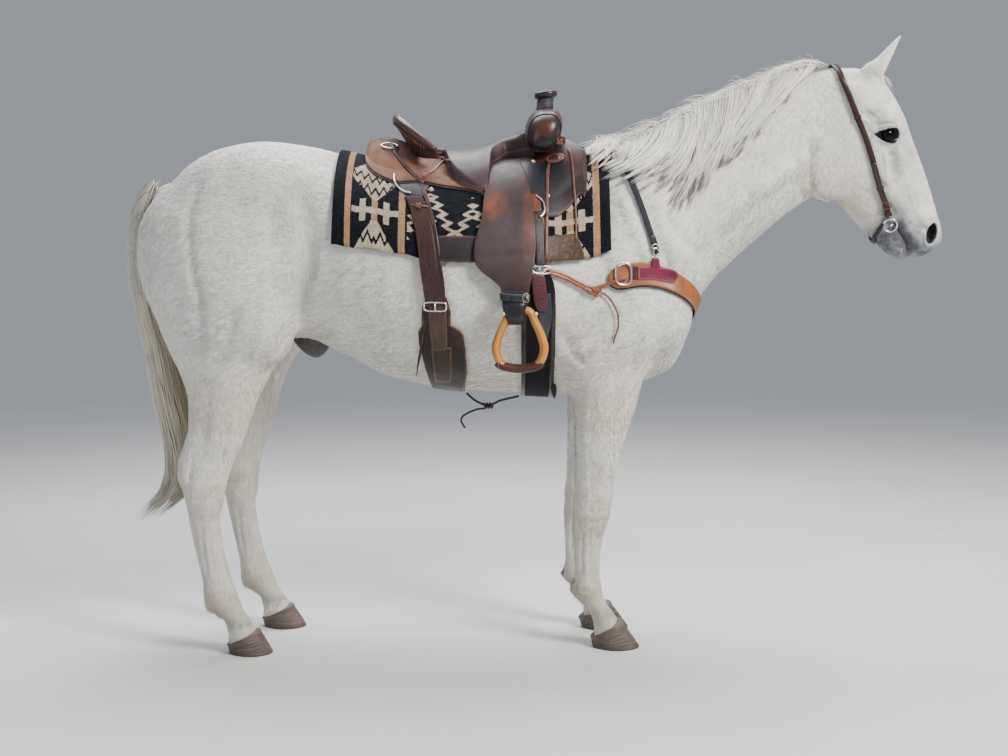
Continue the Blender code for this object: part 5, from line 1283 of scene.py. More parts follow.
def unwrapped(p):
    """Places on an unwrap of the skin: trunk, neck, head and legs each unrolled about their length."""
    x, y, z = p.T
    uv = np.empty((len(p), 2))
    leg = z < 0.86
    head = (x - 0.905) * 0.43 - (z - 1.62) * 0.09 > 0
    neck = ~head & ((x - 0.36) * 0.43 + (z - 1.335) * 0.32 > 0) & ~leg
    body = ~leg & ~head & ~neck
    roll = lambda a, b: np.arctan2(a, b) / (2 * np.pi) + 0.5
    along = (x - 0.28) * 0.860 + (z - 1.28) * 0.511
    across = -(x - 0.28) * 0.511 + (z - 1.28) * 0.860
    t, e = (p[:, [0, 2]] - HEAD_START) @ HEAD_WAY, (p[:, [0, 2]] - HEAD_START) @ HEAD_FRONT
    uv[body] = np.stack([0.01 + 0.58 * (x + 1.30) / 1.9, 0.01 + 0.47 * roll(y, z - 1.2)], 1)[body]
    uv[neck] = np.stack([0.01 + 0.28 * (along + 0.05) / 0.95, 0.50 + 0.48 * roll(y, across)], 1)[neck]
    uv[head] = np.stack([0.31 + 0.28 * (t + 0.14) / 0.72, 0.50 + 0.48 * roll(y, e)], 1)[head]
    for k, (front, side) in enumerate([(True, -1), (True, 1), (False, -1), (False, 1)]):
        mine = leg & ((x > -0.3) == front) & (y * side > 0)
        middle = np.where(front, 0.19, -1.02)
        ring = roll(y - side * 0.13, x - middle)
        uv[mine] = np.stack([0.61 + 0.095 * k + 0.085 * ring, 0.01 + 0.97 * z / 0.90], 1)[mine]
    return np.clip(uv, 0.003, 0.997)


def scattered(mesh, count, weight, seed):
    """Random places on a mesh, as points and outward directions, denser where weight is higher."""
    co = points_of(mesh)
    mesh.calc_loop_triangles()
    tri = np.empty(len(mesh.loop_triangles) * 3, np.int32)
    mesh.loop_triangles.foreach_get("vertices", tri)
    tri = tri.reshape(-1, 3)
    a, b, c = co[tri[:, 0]], co[tri[:, 1]], co[tri[:, 2]]
    cross = np.cross(b - a, c - a)
    area = np.linalg.norm(cross, axis=1) / 2
    share = area * weight((a + b + c) / 3)
    rng = np.random.default_rng(seed)
    pick = np.searchsorted(np.cumsum(share) / share.sum(), rng.random(count))
    pick = np.minimum(pick, len(tri) - 1)
    u, v = rng.random((2, count))
    over = u + v > 1
    u[over], v[over] = 1 - u[over], 1 - v[over]
    p = a[pick] + (b - a)[pick] * u[:, None] + (c - a)[pick] * v[:, None]
    corner = np.empty(len(mesh.vertices) * 3, np.float32)
    mesh.vertices.foreach_get("normal", corner)
    n = corner.reshape(-1, 3)[tri[pick]]
    w = np.stack([1 - u - v, u, v], 1)
    return p, unit((n * w[:, :, None]).sum(1))


TUFTS_A_PIECE = 45000


def tufts(name, p, way, flow, length, width, lift, look, colours):
    """Flat pointed tufts lying along the flow, four triangles each, in pieces of TUFTS_A_PIECE."""
    side = np.cross(way, flow)
    n = len(p)
    col = lambda v: np.asarray(v, float).reshape(-1, 1) * np.ones((n, 1))
    length, width, lift = col(length), col(width), col(lift)
    v = np.stack([
        p - side * width / 2 - way * 0.0006,
        p + side * width / 2 - way * 0.0006,
        p + flow * length * 0.38 + way * (lift * 0.55 + width * 0.16),
        p + flow * length + way * lift,
    ], 1)
    shape = np.array([[1, 0, 2], [0, 3, 2], [1, 2, 3], [0, 1, 3]])
    lean = np.stack([way - 0.25 * side, way + 0.25 * side, way + 0.05 * flow, way + 0.25 * flow], 1)
    spot = unwrapped(p)
    patch = np.array([[-1.4, -1.4], [1.4, -1.4], [0.0, 0.4], [0.0, 1.4]]) * 0.001
    for k, i in enumerate(range(0, n, TUFTS_A_PIECE)):
        j = min(i + TUFTS_A_PIECE, n)
        faces = (np.arange(j - i)[:, None, None] * 4 + shape[None]).reshape(-1, 3)
        mesh = mesh_of(f"{name}_{k + 1}", v[i:j].reshape(-1, 3), faces)
        shade = np.repeat(colours[i:j], 4, axis=0) * np.tile([0.92, 0.92, 1.0, 1.06], j - i)[:, None]
        paint(mesh, np.clip(shade, 0, 1))
        lay_uv(mesh, "OFBake", (spot[i:j, None] + patch[None]).reshape(-1, 2))
        piece(mesh.name, mesh, look)
        mesh.normals_split_custom_set_from_vertices(unit(lean[i:j].reshape(-1, 3)).astype(np.float32))


LOCK_DEPTH = 0.45  # a lock's thickness beside its width


def locks(name, paths, ways, widths, look, colours, roots=None, replaces=()):
    """Tapering locks of hair along paths (n, k, 3), three-sided, with their broad side turned to ways."""
    n, k, _ = paths.shape
    along = unit(np.gradient(paths, axis=1))
    side = unit(np.cross(ways, along))
    up = unit(np.cross(along, side))
    w = widths[..., None]
    rings = np.stack([paths - side * w / 2, paths + side * w / 2, paths + up * w * LOCK_DEPTH], 2)[:, : k - 1]
    body = np.concatenate([rings.reshape(n, -1, 3), paths[:, -1:]], 1)
    m = (k - 1) * 3 + 1
    faces = [[0, 1, 2]]
    for i in range(k - 2):
        a, b = 3 * i, 3 * i + 3
        for r, q in ((0, 1), (1, 2), (2, 0)):
            faces += [[a + r, b + r, b + q], [a + r, b + q, a + q]]
    a, tip = 3 * (k - 2), m - 1
    faces += [[a, tip, a + 1], [a + 1, tip, a + 2], [a + 2, tip, a]]
    faces = np.array(faces)
    every = (np.arange(n)[:, None, None] * m + faces[None]).reshape(-1, 3)
    mesh = mesh_of(name, body.reshape(-1, 3), every)
    shares = np.append(np.repeat(np.linspace(0, 1, k)[:-1], 3), 1.0)
    fade = 0.80 + 0.22 * np.sin(np.pi * np.clip(shares * 0.8 + 0.1, 0, 1))
    paint(mesh, np.clip((colours[:, None] * fade[None, :, None]).reshape(-1, 3), 0, 1))
    spot = unwrapped(paths[:, 0] if roots is None else roots)
    patch = np.stack([np.append(np.tile([-1.4, 1.4, 0.0], k - 1), 0.0), shares * 2.8 - 1.4], 1) * 0.001
    lay_uv(mesh, "OFBake", (spot[:, None] + patch[None]).reshape(-1, 2))
    return piece(name, mesh, look, replaces=replaces)


# ---------------------------------------------------------------- the horse

COAT_TUFTS = 200000
FEATHER_TUFTS = 9000
MANE_CLUMPS, CREST_LOCKS, MANE_WISPS = ((240, 520, 340))
FORELOCK_LOCKS, TAIL_CLUMPS, DOCK_TUFTS = ((150, 170, 2600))
FLESH = ["trunk", "neck", "head"] + [f"leg_{e}_{s}" for e in ("fore", "hind") for s in SIDES]
RNG = np.random.default_rng(7)


def skin_look():
    look = Look("skin", 0.60, Sheen_Weight=0.08, Sheen_Roughness=0.5, Specular_IOR_Level=0.30)
    col = look.attribute().outputs["Color"]
    fine = look.noise(240, 4)
    speck = look.span(look.noise(620, 2), 0.62, 0.80)
    shade = look.mix(look.math("MULTIPLY", speck, 0.22), col, (0.16, 0.14, 0.12), "MULTIPLY")
    look.colour(look.mix(look.span(fine, 0.3, 0.7, 0.0, 0.14), shade, (0.45, 0.42, 0.38), "MULTIPLY"))
    look.roughness(look.span(fine, 0.2, 0.8, 0.50, 0.72))
    look.bump(
        look.math("ADD", look.noise((900, 900, 380), 3), look.math("MULTIPLY", look.noise(95, 3), 0.8)),
        0.0011, 0.7
    )
    return look


def hair_look(name, rough=0.46, sheen=0.15):
    """Hair: the lock's own colour with fine strands run along it."""
    look = Look(name, rough, Sheen_Weight=sheen, Sheen_Roughness=0.45, Specular_IOR_Level=0.42)
    col = look.attribute().outputs["Color"]
    fine = look.noise((700, 700, 160), 3)
    look.colour(look.mix(look.span(fine, 0.35, 0.70, 0.0, 0.30), col, (0.55, 0.51, 0.45), "MULTIPLY"))
    look.roughness(look.span(fine, 0.2, 0.8, rough - 0.08, rough + 0.14))
    look.bump(fine, 0.0006, 0.55)
    return look


def horse():
    mesh = make_skin()
    paint(mesh, tone(points_of(mesh)))
    lay_uv(mesh, "OFBake", unwrapped(points_of(mesh)))
    return piece("horse_skin", mesh, skin_look(), replaces=FLESH)


def covered(p):
    """Places that the blanket hides."""
    x, z = p[:, [0, 2]].T
    hem = pchip(HEM, x)[:, 0]
    return (x > -0.590) & (x < 0.195) & (z > hem + 0.03)


def hairless(p):
    """How bare the skin is: the lips, the nostrils and the rims of the eyelids."""
    q = np.stack([p[:, 0], np.abs(p[:, 1]), p[:, 2]], 1)
    bare = (np.linalg.norm(q - EYE, axis=1) < 0.06) & (eye_gap(p) < 0.0048)
    bare |= (p[:, 0] > 1.2) & (polygon_gap(p, NOSTRIL) < 0.0035) & (np.abs(p[:, 1]) > 0.012)
    bare |= (p[:, 0] > 1.12) & (polyline_gap(p, MOUTH) < 0.0040)
    return bare


def thickness(p):
    """How many tufts a square metre of skin carries, beside the trunk's."""
    x, z = p[:, [0, 2]].T
    face = np.clip((x - 0.90) / 0.08, 0, 1) * (z > 1.15)
    low = np.clip((0.62 - z) / 0.15, 0, 1)
    w = 1 + 4.0 * face + 2.4 * low
    w *= np.where(covered(p), 0.0, 1.0)
    return w * (z > 0.07)


def coat(skin):
    p, way = scattered(skin.data, COAT_TUFTS, thickness, 11)
    keep = ~hairless(p)
    p, way = p[keep], way[keep]
    x, z = p[:, [0, 2]].T
    flow = lie(p, way)
    face = np.clip((x - 0.90) / 0.08, 0, 1) * (z > 1.15)
    muzzle = face * np.clip((x - 1.08) / 0.05, 0, 1) * np.clip((1.42 - z) / 0.06, 0, 1)
    low = np.clip((0.62 - z) / 0.15, 0, 1)
    row = streaks(p)
    rnd = RNG.random((5, len(p)))
    length = 0.0195 * (0.75 + 0.5 * rnd[0])
    width = 0.0048 * (0.75 + 0.5 * rnd[1])
    lift = 0.0014 + 0.0010 * rnd[2] + 0.0011 * np.clip(row, -0.6, 1)
    small = np.maximum(face * 0.60, low * 0.50)
    length, width, lift = length * (1 - small), width * (1 - small * 0.85), lift * (1 - small * 0.62)
    length, width, lift = [v * (1 - 0.35 * muzzle) for v in (length, width, lift)]
    # longer hair along the belly, behind the elbows and on the breast's midline, and shorter, flatter hair
    # under the jaw
    under = np.clip((-way[:, 2] - 0.55) / 0.4, 0, 1) * (z > 0.7) * (z < 1.1)
    jaw = np.clip((-way[:, 2] - 0.3) / 0.5, 0, 1) * (x > 0.78) * (x < 1.14)
    length += 0.012 * under - 0.35 * length * jaw
    lift += 0.0035 * under * rnd[3] - 0.5 * lift * jaw
    colours = tone(p)
    spread = 1 + 0.055 * (rnd[4] - 0.5) * 2
    # painted shadow: tufts darkened and warmed in dashes along the coat's rows, as the shade between raised
    # rows
    row_shadow = np.clip(row - 0.30, 0, 1) * (1 - 0.5 * face)
    colours = colours * (spread * (1 - 0.30 * row_shadow))[:, None]
    colours[:, 2] *= 1 - 0.05 * row_shadow
    tufts("coat", p, way, flow, length, width, lift, hair_look("coat", 0.56, 0.08), colours)


def feathers(skin):
    """The longer hair behind the fetlocks, over the coronets and at the backs of the legs."""
    def weight(p):
        x, y, z = p.T
        w = np.zeros(len(p))
        for front, legs in ((True, FORE), (False, HIND)):
            for name, side in SIDES.items():
                mine = ((x > -0.3) == front) & (y * side > 0)
                dx = legs[name][1]
                rear = (0.142 if front else -1.022) + dx
                w += mine * bell(z - (0.165 if front else 0.150), 0.035) * np.clip(
                    (rear + 0.035 - x) / 0.03, 0, 1
                ) * 3.0
                w += mine * bell(z - 0.30, 0.10) * np.clip((rear + 0.012 - x) / 0.02, 0, 1) * 0.5
        crown = np.zeros(len(p))
        for name, (_, (fx, fz), (hx, hz), *_) in HOOF_ROWS.items():
            side, front = (-1 if "right" in name else 1), "fore" in name
            mine = ((x > -0.3) == front) & (y * side > 0)
            gap = z - (hz + (fz - hz) * np.clip((x - hx) / (fx - hx), 0, 1))
            crown += mine * bell(gap - 0.010, 0.008)
        return w + crown * 3.2

    p, way = scattered(skin.data, FEATHER_TUFTS, weight, 12)
    z = p[:, 2]
    flow = unit(lie(p, way) + way * 0.10 + [0, 0, -0.25])
    rear = np.clip(-way[:, 0], 0, 1) * (z > 0.10)
    rnd = RNG.random((4, len(p)))
    tall = bell(z - 0.16, 0.04) * rear
    length = 0.012 + 0.016 * tall * (0.6 + rnd[0]) + 0.003 * rnd[1]
    tufts(
        "feather", p, way, flow, length, 0.0030 + 0.001 * rnd[2], 0.0012 + 0.006 * tall * rnd[3],
        hair_look("feather"), tone(p) * (0.92 + 0.14 * rnd[1])[:, None]
    )


def hoof_look():
    look = Look("hoof", 0.50, Specular_IOR_Level=0.4)
    rings = look.noise((14, 14, 260), 3)
    grain = look.noise((420, 420, 30), 3)
    tall = look.span(look.split(look.here)["Z"], 0.0, 0.085)
    base = look.mix(look.span(rings, 0.35, 0.65), (0.060, 0.044, 0.036), (0.125, 0.096, 0.080))
    base = look.mix(look.span(look.noise(16, 3), 0.42, 0.62, 0, 0.75), base, (0.150, 0.105, 0.085))
    base = look.mix(look.span(tall, 0.75, 1.0, 0.0, 0.5), base, (0.24, 0.20, 0.16))
    base = look.mix(look.span(tall, 0.22, 0.0, 0.0, 0.75), base, (0.040, 0.032, 0.027))
    look.colour(look.mix(look.span(grain, 0.4, 0.7, 0, 0.4), base, (0.45, 0.42, 0.40), "MULTIPLY"))
    look.roughness(look.span(grain, 0.2, 0.8, 0.38, 0.62))
    look.bump(look.math("ADD", look.math("MULTIPLY", rings, 1.4), grain), 0.0016, 0.8)
    return look


def hooves():
    look = hoof_look()
    m = 56
    a = np.arange(m) * 2 * math.pi / m
    pinch = 1 - 0.22 * np.clip(-np.cos(a), 0, 1) ** 2
    for name, (y, (fx, fz), (hx, hz), toe, heel, half) in HOOF_ROWS.items():
        rings = []
        for s in np.concatenate([[-0.015, 0.0, 0.02], np.linspace(0.06, 0.96, 22), [0.985, 1.0]]):
            flare = max(s, 0) if s < 0.985 else 0.965
            swell = 0.0012 * math.sin(s * 43) * (0.2 < s < 0.9) + (
                0.0028 * math.exp(-((s - 0.03) / 0.06) ** 2)
            )
            mid = (fx + hx) / 2 * (1 - flare) + (toe + heel) / 2 * flare
            rx = (fx - hx) / 2 * (1 - flare) + (toe - heel) / 2 * flare + swell - (0.010 if s < 0 else 0)
            ry = 0.051 * (1 - flare) + half * flare + swell - (0.010 if s < 0 else 0)
            x = mid + rx * np.cos(a)
            z = (hz + (fz - hz) * (np.cos(a) + 1) / 2) * (1 - max(s, 0)) + (0.003 if s < 0 else 0)
            notch = 0.010 * bell((a - math.pi + math.pi) % (2 * math.pi) - math.pi, 0.16)
            x = x + notch * (0.4 + 0.6 * s)
            rings.append(np.stack([x, y + ry * np.sin(a) * pinch, z], 1))
        piece(name + "_wall", lofted(rings), look, replaces=name)


def lofted(rings):
    """Points and faces through rings of equal numbers of points, closed at both ends."""
    rings = np.asarray(rings, float)
    n, m = rings.shape[:2]
    i, j = np.meshgrid(np.arange(n - 1), np.arange(m), indexing="ij")
    k = (j + 1) % m
    quads = np.stack([i * m + j, i * m + k, (i + 1) * m + k, (i + 1) * m + j], -1).reshape(-1, 4)
    ends = np.stack([rings[0].mean(0), rings[-1].mean(0)])
    a, b = n * m, n * m + 1
    j = np.arange(m)
    k = (j + 1) % m
    fans = np.concatenate(
        [np.stack([np.full(m, a), k, j], 1), np.stack([np.full(m, b), (n - 1) * m + j, (n - 1) * m + k], 1)]
    )
    return np.concatenate([rings.reshape(-1, 3), ends]), [quads, fans]


def eyes():
    look = Look("eye", 0.06, Specular_IOR_Level=0.13)
    look.colour(
        look.mix(look.attribute().outputs["Color"], (0.0035, 0.0022, 0.0016), (0.0012, 0.0012, 0.0016))
    )
    look.bump(look.noise(60, 2), 0.0002, 0.2)
    rims = Look("eyelid_skin", 0.6, Specular_IOR_Level=0.08)
    rims.colour(rims.mix(rims.noise(300, 3), rims.attribute().outputs["Color"], (0.010, 0.008, 0.008)))
    rims.bump(rims.noise(420, 3), 0.0003, 0.4)
    m, n = 48, 30
    for name, side in SIDES.items():
        out = unit(np.array([0.16, side * 1.0, -0.02]))
        across = unit(np.cross(out, [0.0, 0, 1.0]))
        up = np.cross(across, out)
        a = np.arange(m) * 2 * math.pi / m
        rings = []
        for lat in np.linspace(math.radians(2), math.radians(176), n):
            bulge = 1.0 + 0.030 * math.exp(-((lat / 0.85) ** 2))
            ring = math.cos(lat) * out + math.sin(lat) * (
                np.cos(a)[:, None] * across + np.sin(a)[:, None] * up
            )
            rings.append(np.array([EYE[0], side * EYE[1], EYE[2]]) + ring * EYE_R * bulge)
        mesh = mesh_of("eyeball_" + name, *lofted(rings))
        q = (points_of(mesh) - [EYE[0], side * EYE[1], EYE[2]]) / EYE_R
        wide, tall = q @ across, q @ up
        pupil = np.clip((0.30 - np.hypot(wide * 0.55, tall * 1.25)) / 0.06, 0, 1)
        ring = np.clip((np.hypot(wide, tall) - 0.62) / 0.10, 0, 1)
        paint(mesh, np.maximum(pupil, ring)[:, None] * [1, 1, 1])
        piece(mesh.name, mesh, look, replaces="eye_" + name)
        # dark skin between the lids, behind the eyeball's front, painted near-black for the shade in the
        # eye's corners
        x, z = np.meshgrid(np.linspace(1.044, 1.131, 36), np.linspace(1.586, 1.634, 22), indexing="ij")
        face = from_side(x, z)
        sunk = BODY.slope(face, 0.006)[1]
        outer, inner = [
            ((face - sunk * d) * [1, -side, 1]).reshape(36, 22, 3)[::-side] for d in (0.0045, 0.0065)
        ]
        mesh = mesh_of("eye_corners_" + name, *shell_of(inner, outer))
        paint(mesh, np.tile([0.004, 0.0035, 0.004], (len(mesh.vertices), 1)))
        piece(mesh.name, mesh, rims, replaces="eye_" + name)


# share of the ear's height, radius, how far it wraps round in degrees, depth against breadth
EAR_ROWS = [
    (0.0, 0.012, 128, 1.20), (0.13, 0.020, 128, 1.20), (0.25, 0.0270, 124, 1.16), (0.36, 0.0315, 120, 1.04),
    (0.50, 0.0310, 114, 0.91), (0.64, 0.0265, 108, 0.84), (0.76, 0.0205, 102, 0.82),
    (0.86, 0.0140, 96, 0.82), (0.93, 0.0090, 90, 0.84), (1.0, 0.0022, 80, 0.9)
]


def ear_at(side, share, turn, thick):
    """Places on an ear's shell: share of its height, turn from its back in shares of its spread."""
    share, turn, thick = [np.asarray(v, float) for v in np.broadcast_arrays(share, turn, thick)]
    ahead = 0.5 + 0.5 * side  # the left ear is pricked a little further forward
    base = np.array([1.034 + 0.010 * ahead, side * 0.043, 1.766])
    tip = np.array([1.129 + 0.024 * ahead, side * (0.074 - 0.012 * ahead), 1.920])
    up = tip - base
    length = np.linalg.norm(up)
    up /= length
    face = np.array([0.86, side * 0.10, -0.42])
    face = unit(face - up * (face @ up))
    across = np.cross(up, face)
    r, spread, deep = pchip(EAR_ROWS, share.ravel()).T.reshape(3, *share.shape)
    back = -0.0045 * np.sin(math.pi * share)
    centre = base + up * (length * share)[..., None] - face * back[..., None]
    a = np.radians(spread * turn)[..., None]
    radius = np.maximum(r * (1 - 0.16 * np.abs(turn) ** 4) - thick, r * 0.35)[..., None]
    flare = 0.024 * np.clip((0.50 - share) / 0.36, 0, 1) ** 1.2
    return centre + (np.cos(a) * -face * deep[..., None] + np.sin(a) * across) * radius - face * (
        flare[..., None] * np.maximum(np.cos(a), 0)
    )


def ears():
    look = hair_look("ear", 0.6, 0.12)
    at, turns = np.linspace(0, 1, 34)[:, None], np.linspace(-1, 1, 33)[None]
    for name, side in SIDES.items():
        outer = ear_at(side, at, turns, 0.0)
        inner = ear_at(side, at, turns, 0.0036 * np.clip((1.04 - at) * 6, 0.25, 1))
        points, faces = shell_of(inner, outer)
        mesh = mesh_of("ear_shell_" + name, points, faces)
        n = at.size * turns.size
        # darker inside, most in the ear's hollow: its dark skin, deepened there as painted shade
        deep = np.zeros(len(points))
        deep[:n] = ((1 - np.abs(turns) ** 1.6) * np.clip((0.92 - at) / 0.3, 0, 1)).ravel()
        base = WHITE * 0.97 + (np.array([0.20, 0.185, 0.185]) - WHITE * 0.97) * (deep[:, None] * 0.72)
        paint(mesh, base * (1 + 0.05 * wander(points, 130, 30))[:, None])
        piece(mesh.name, mesh, look, replaces="ear_" + name)
        # fur: short outside, longer inside and towards the rims
        rng = np.random.default_rng(31 + side)
        for kind, count, outside in (("fur", 3000, True), ("lining", 1800, False)):
            u, v = rng.random(count) ** 0.9 * 0.97, rng.uniform(-1, 1, count)
            if not outside:
                v = np.sign(v) * np.abs(v) ** 0.55
            t = 0.0 if outside else 0.0034
            p = ear_at(side, u, v, t)
            flow = unit(ear_at(side, np.minimum(u + 0.03, 1), v, t) - p)
            turn = unit(ear_at(side, u, v + 0.04, t) - p)
            way = unit(np.cross(turn, flow))
            out = ear_at(side, u, v, 0.0) - ear_at(side, u, v, 0.004)
            way = way * np.sign((out * way).sum(1) + 1e-9)[:, None] * (1 if outside else -1)
            if not outside:
                flow = unit(flow * 0.8 - turn * np.sign(v)[:, None] * 0.55 + way * 0.3)
            size = 0.0095 if outside else 0.019
            tufts(
                f"ear_{kind}_{name}", p, way, flow,
                size * (0.6 + 0.6 * rng.random(count)) * (1 - 0.65 * u**2), 0.0028 if outside else 0.0022,
                0.0010 + (0.0004 if outside else 0.004) * rng.random(count), look,
                (WHITE if outside else WHITE * 0.86)[None] * (0.90 + 0.14 * rng.random((count, 1)))
            )


def shell_of(inner, outer, closed=False):
    """Points and four-sided faces of a closed skin between two equal grids (rows, columns, 3)."""
    n, m = inner.shape[:2]
    points = np.concatenate([inner.reshape(-1, 3), outer.reshape(-1, 3)])
    k, last = n * m, m if closed else m - 1
    i, j = np.meshgrid(np.arange(n - 1), np.arange(last), indexing="ij")
    a = (i * m + j).ravel()
    b = (i * m + (j + 1) % m).ravel()
    c, d = b + m, a + m
    faces = [np.stack([a, b, c, d], 1), np.stack([k + d, k + c, k + b, k + a], 1)]
    j = np.arange(last)
    a, b = j, (j + 1) % m
    faces.append(np.stack([b, a, k + a, k + b], 1))
    a, b = a + (n - 1) * m, b + (n - 1) * m
    faces.append(np.stack([a, b, k + b, k + a], 1))
    if not closed:
        i = np.arange(n - 1)
        a, d = i * m, (i + 1) * m
        faces.append(np.stack([a, d, k + d, k + a], 1))
        a, d = a + m - 1, d + m - 1
        faces.append(np.stack([d, a, k + a, k + d], 1))
    faces = np.concatenate(faces)
    # outward, whichever way the grids were given
    mid = lambda g: g[n // 2, m // 2]
    way = np.cross(
        inner[n // 2, (m // 2 + 1) % m] - mid(inner), inner[min(n // 2 + 1, n - 1), m // 2] - mid(inner)
    )
    if way @ (mid(outer) - mid(inner)) > 0:
        faces = faces[:, ::-1]
    return points, faces


# ---------------------------------------------------------------- mane, forelock and tail

# how the mane's locks lie, seen from the right: from the crest down, from the withers to the poll
MANE_LIE = [
    [(0.205, 1.596), (0.190, 1.588), (0.178, 1.574), (0.168, 1.560), (0.160, 1.545)],
    [(0.250, 1.614), (0.221, 1.601), (0.198, 1.581), (0.181, 1.562), (0.160, 1.535)],
    [(0.328, 1.657), (0.293, 1.625), (0.258, 1.578), (0.228, 1.538), (0.180, 1.500)],
    [(0.391, 1.684), (0.371, 1.638), (0.329, 1.578), (0.268, 1.530), (0.196, 1.492)],
    [(0.454, 1.706), (0.442, 1.635), (0.406, 1.562), (0.346, 1.507), (0.268, 1.462)],
    [(0.516, 1.732), (0.508, 1.650), (0.480, 1.570), (0.434, 1.500), (0.362, 1.436)],
    [(0.579, 1.756), (0.567, 1.665), (0.542, 1.580), (0.506, 1.500), (0.452, 1.382)],
    [(0.641, 1.780), (0.619, 1.693), (0.588, 1.620), (0.542, 1.540), (0.490, 1.445)],
    [(0.704, 1.798), (0.672, 1.722), (0.627, 1.650), (0.586, 1.590), (0.535, 1.510)],
    [(0.766, 1.818), (0.722, 1.737), (0.668, 1.664), (0.624, 1.598), (0.576, 1.520)],
    [(0.828, 1.838), (0.775, 1.755), (0.715, 1.685), (0.655, 1.610), (0.602, 1.535)],
    [(0.885, 1.838), (0.828, 1.790), (0.762, 1.722), (0.706, 1.655), (0.650, 1.590)],
]


def crest(x, y):
    top = np.stack([x, y, np.full(len(x), 2.0)], 1)
    return march(top, np.array([[0, 0, -1.0]]))


def beside(x, z, off=0.0):
    """The body's right side where something standing off by off is seen at (x, z) from the side."""
    x, z = np.ravel(x).astype(float), np.ravel(z).astype(float)
    off = np.broadcast_to(off, x.shape)
    at, high = x.copy(), z.copy()
    roof = np.where(x < 0.45, crest(x, 0 * x)[:, 2] - 0.0015, 9.0)
    for _ in range(3 if np.max(off) > 0 else 1):
        base = from_side(at, np.minimum(high, roof))
        way = BODY.slope(base, 0.006)[1]
        at, high = x - way[:, 0] * off, z - way[:, 2] * off
    return base


def mane_paths(root, share, lift, steps):
    """Paths over the neck's right side from crest roots down to share of their fall, lift above the skin."""
    n = len(root)
    lie = np.array(MANE_LIE)
    fine = np.stack([pchip(np.column_stack([np.linspace(0, 1, 5), g]), np.linspace(0, 1, 41)) for g in lie])
    at = pchip(np.column_stack([lie[:, 0, 0], fine.reshape(len(lie), -1)]), root).reshape(n, 41, 2)
    s = np.linspace(0, 1, steps)
    place = np.clip(s[None] * share[:, None], 0, 1.25) * 40
    i = np.clip(place.astype(int), 0, 39)
    f = (place - i)[..., None]
    rows = np.arange(n)[:, None]
    seen = at[rows, i] * (1 - f) + at[rows, i + 1] * f
    top = crest(root, np.full(n, 0.010))
    brow = crest((root + seen[:, 1, 0]) / 2, np.full(n, -0.012))
    side = beside(seen[:, 2:, 0], seen[:, 2:, 1], 0.012).reshape(n, steps - 2, 3)
    path = np.concatenate([top[:, None], brow[:, None], side], 1)
    way = BODY.slope(path.reshape(-1, 3), 0.010)[1].reshape(path.shape)
    arch = np.concatenate([[0.15, 1.3], 1.0 - 0.15 * s[2:]])
    over = 0.0145 * np.clip((0.262 - path[..., 0]) / 0.025, 0, 1)
    return path + way * (np.maximum(lift[:, None] * arch[None], over * 1.25) + 0.35 * over)[..., None], way


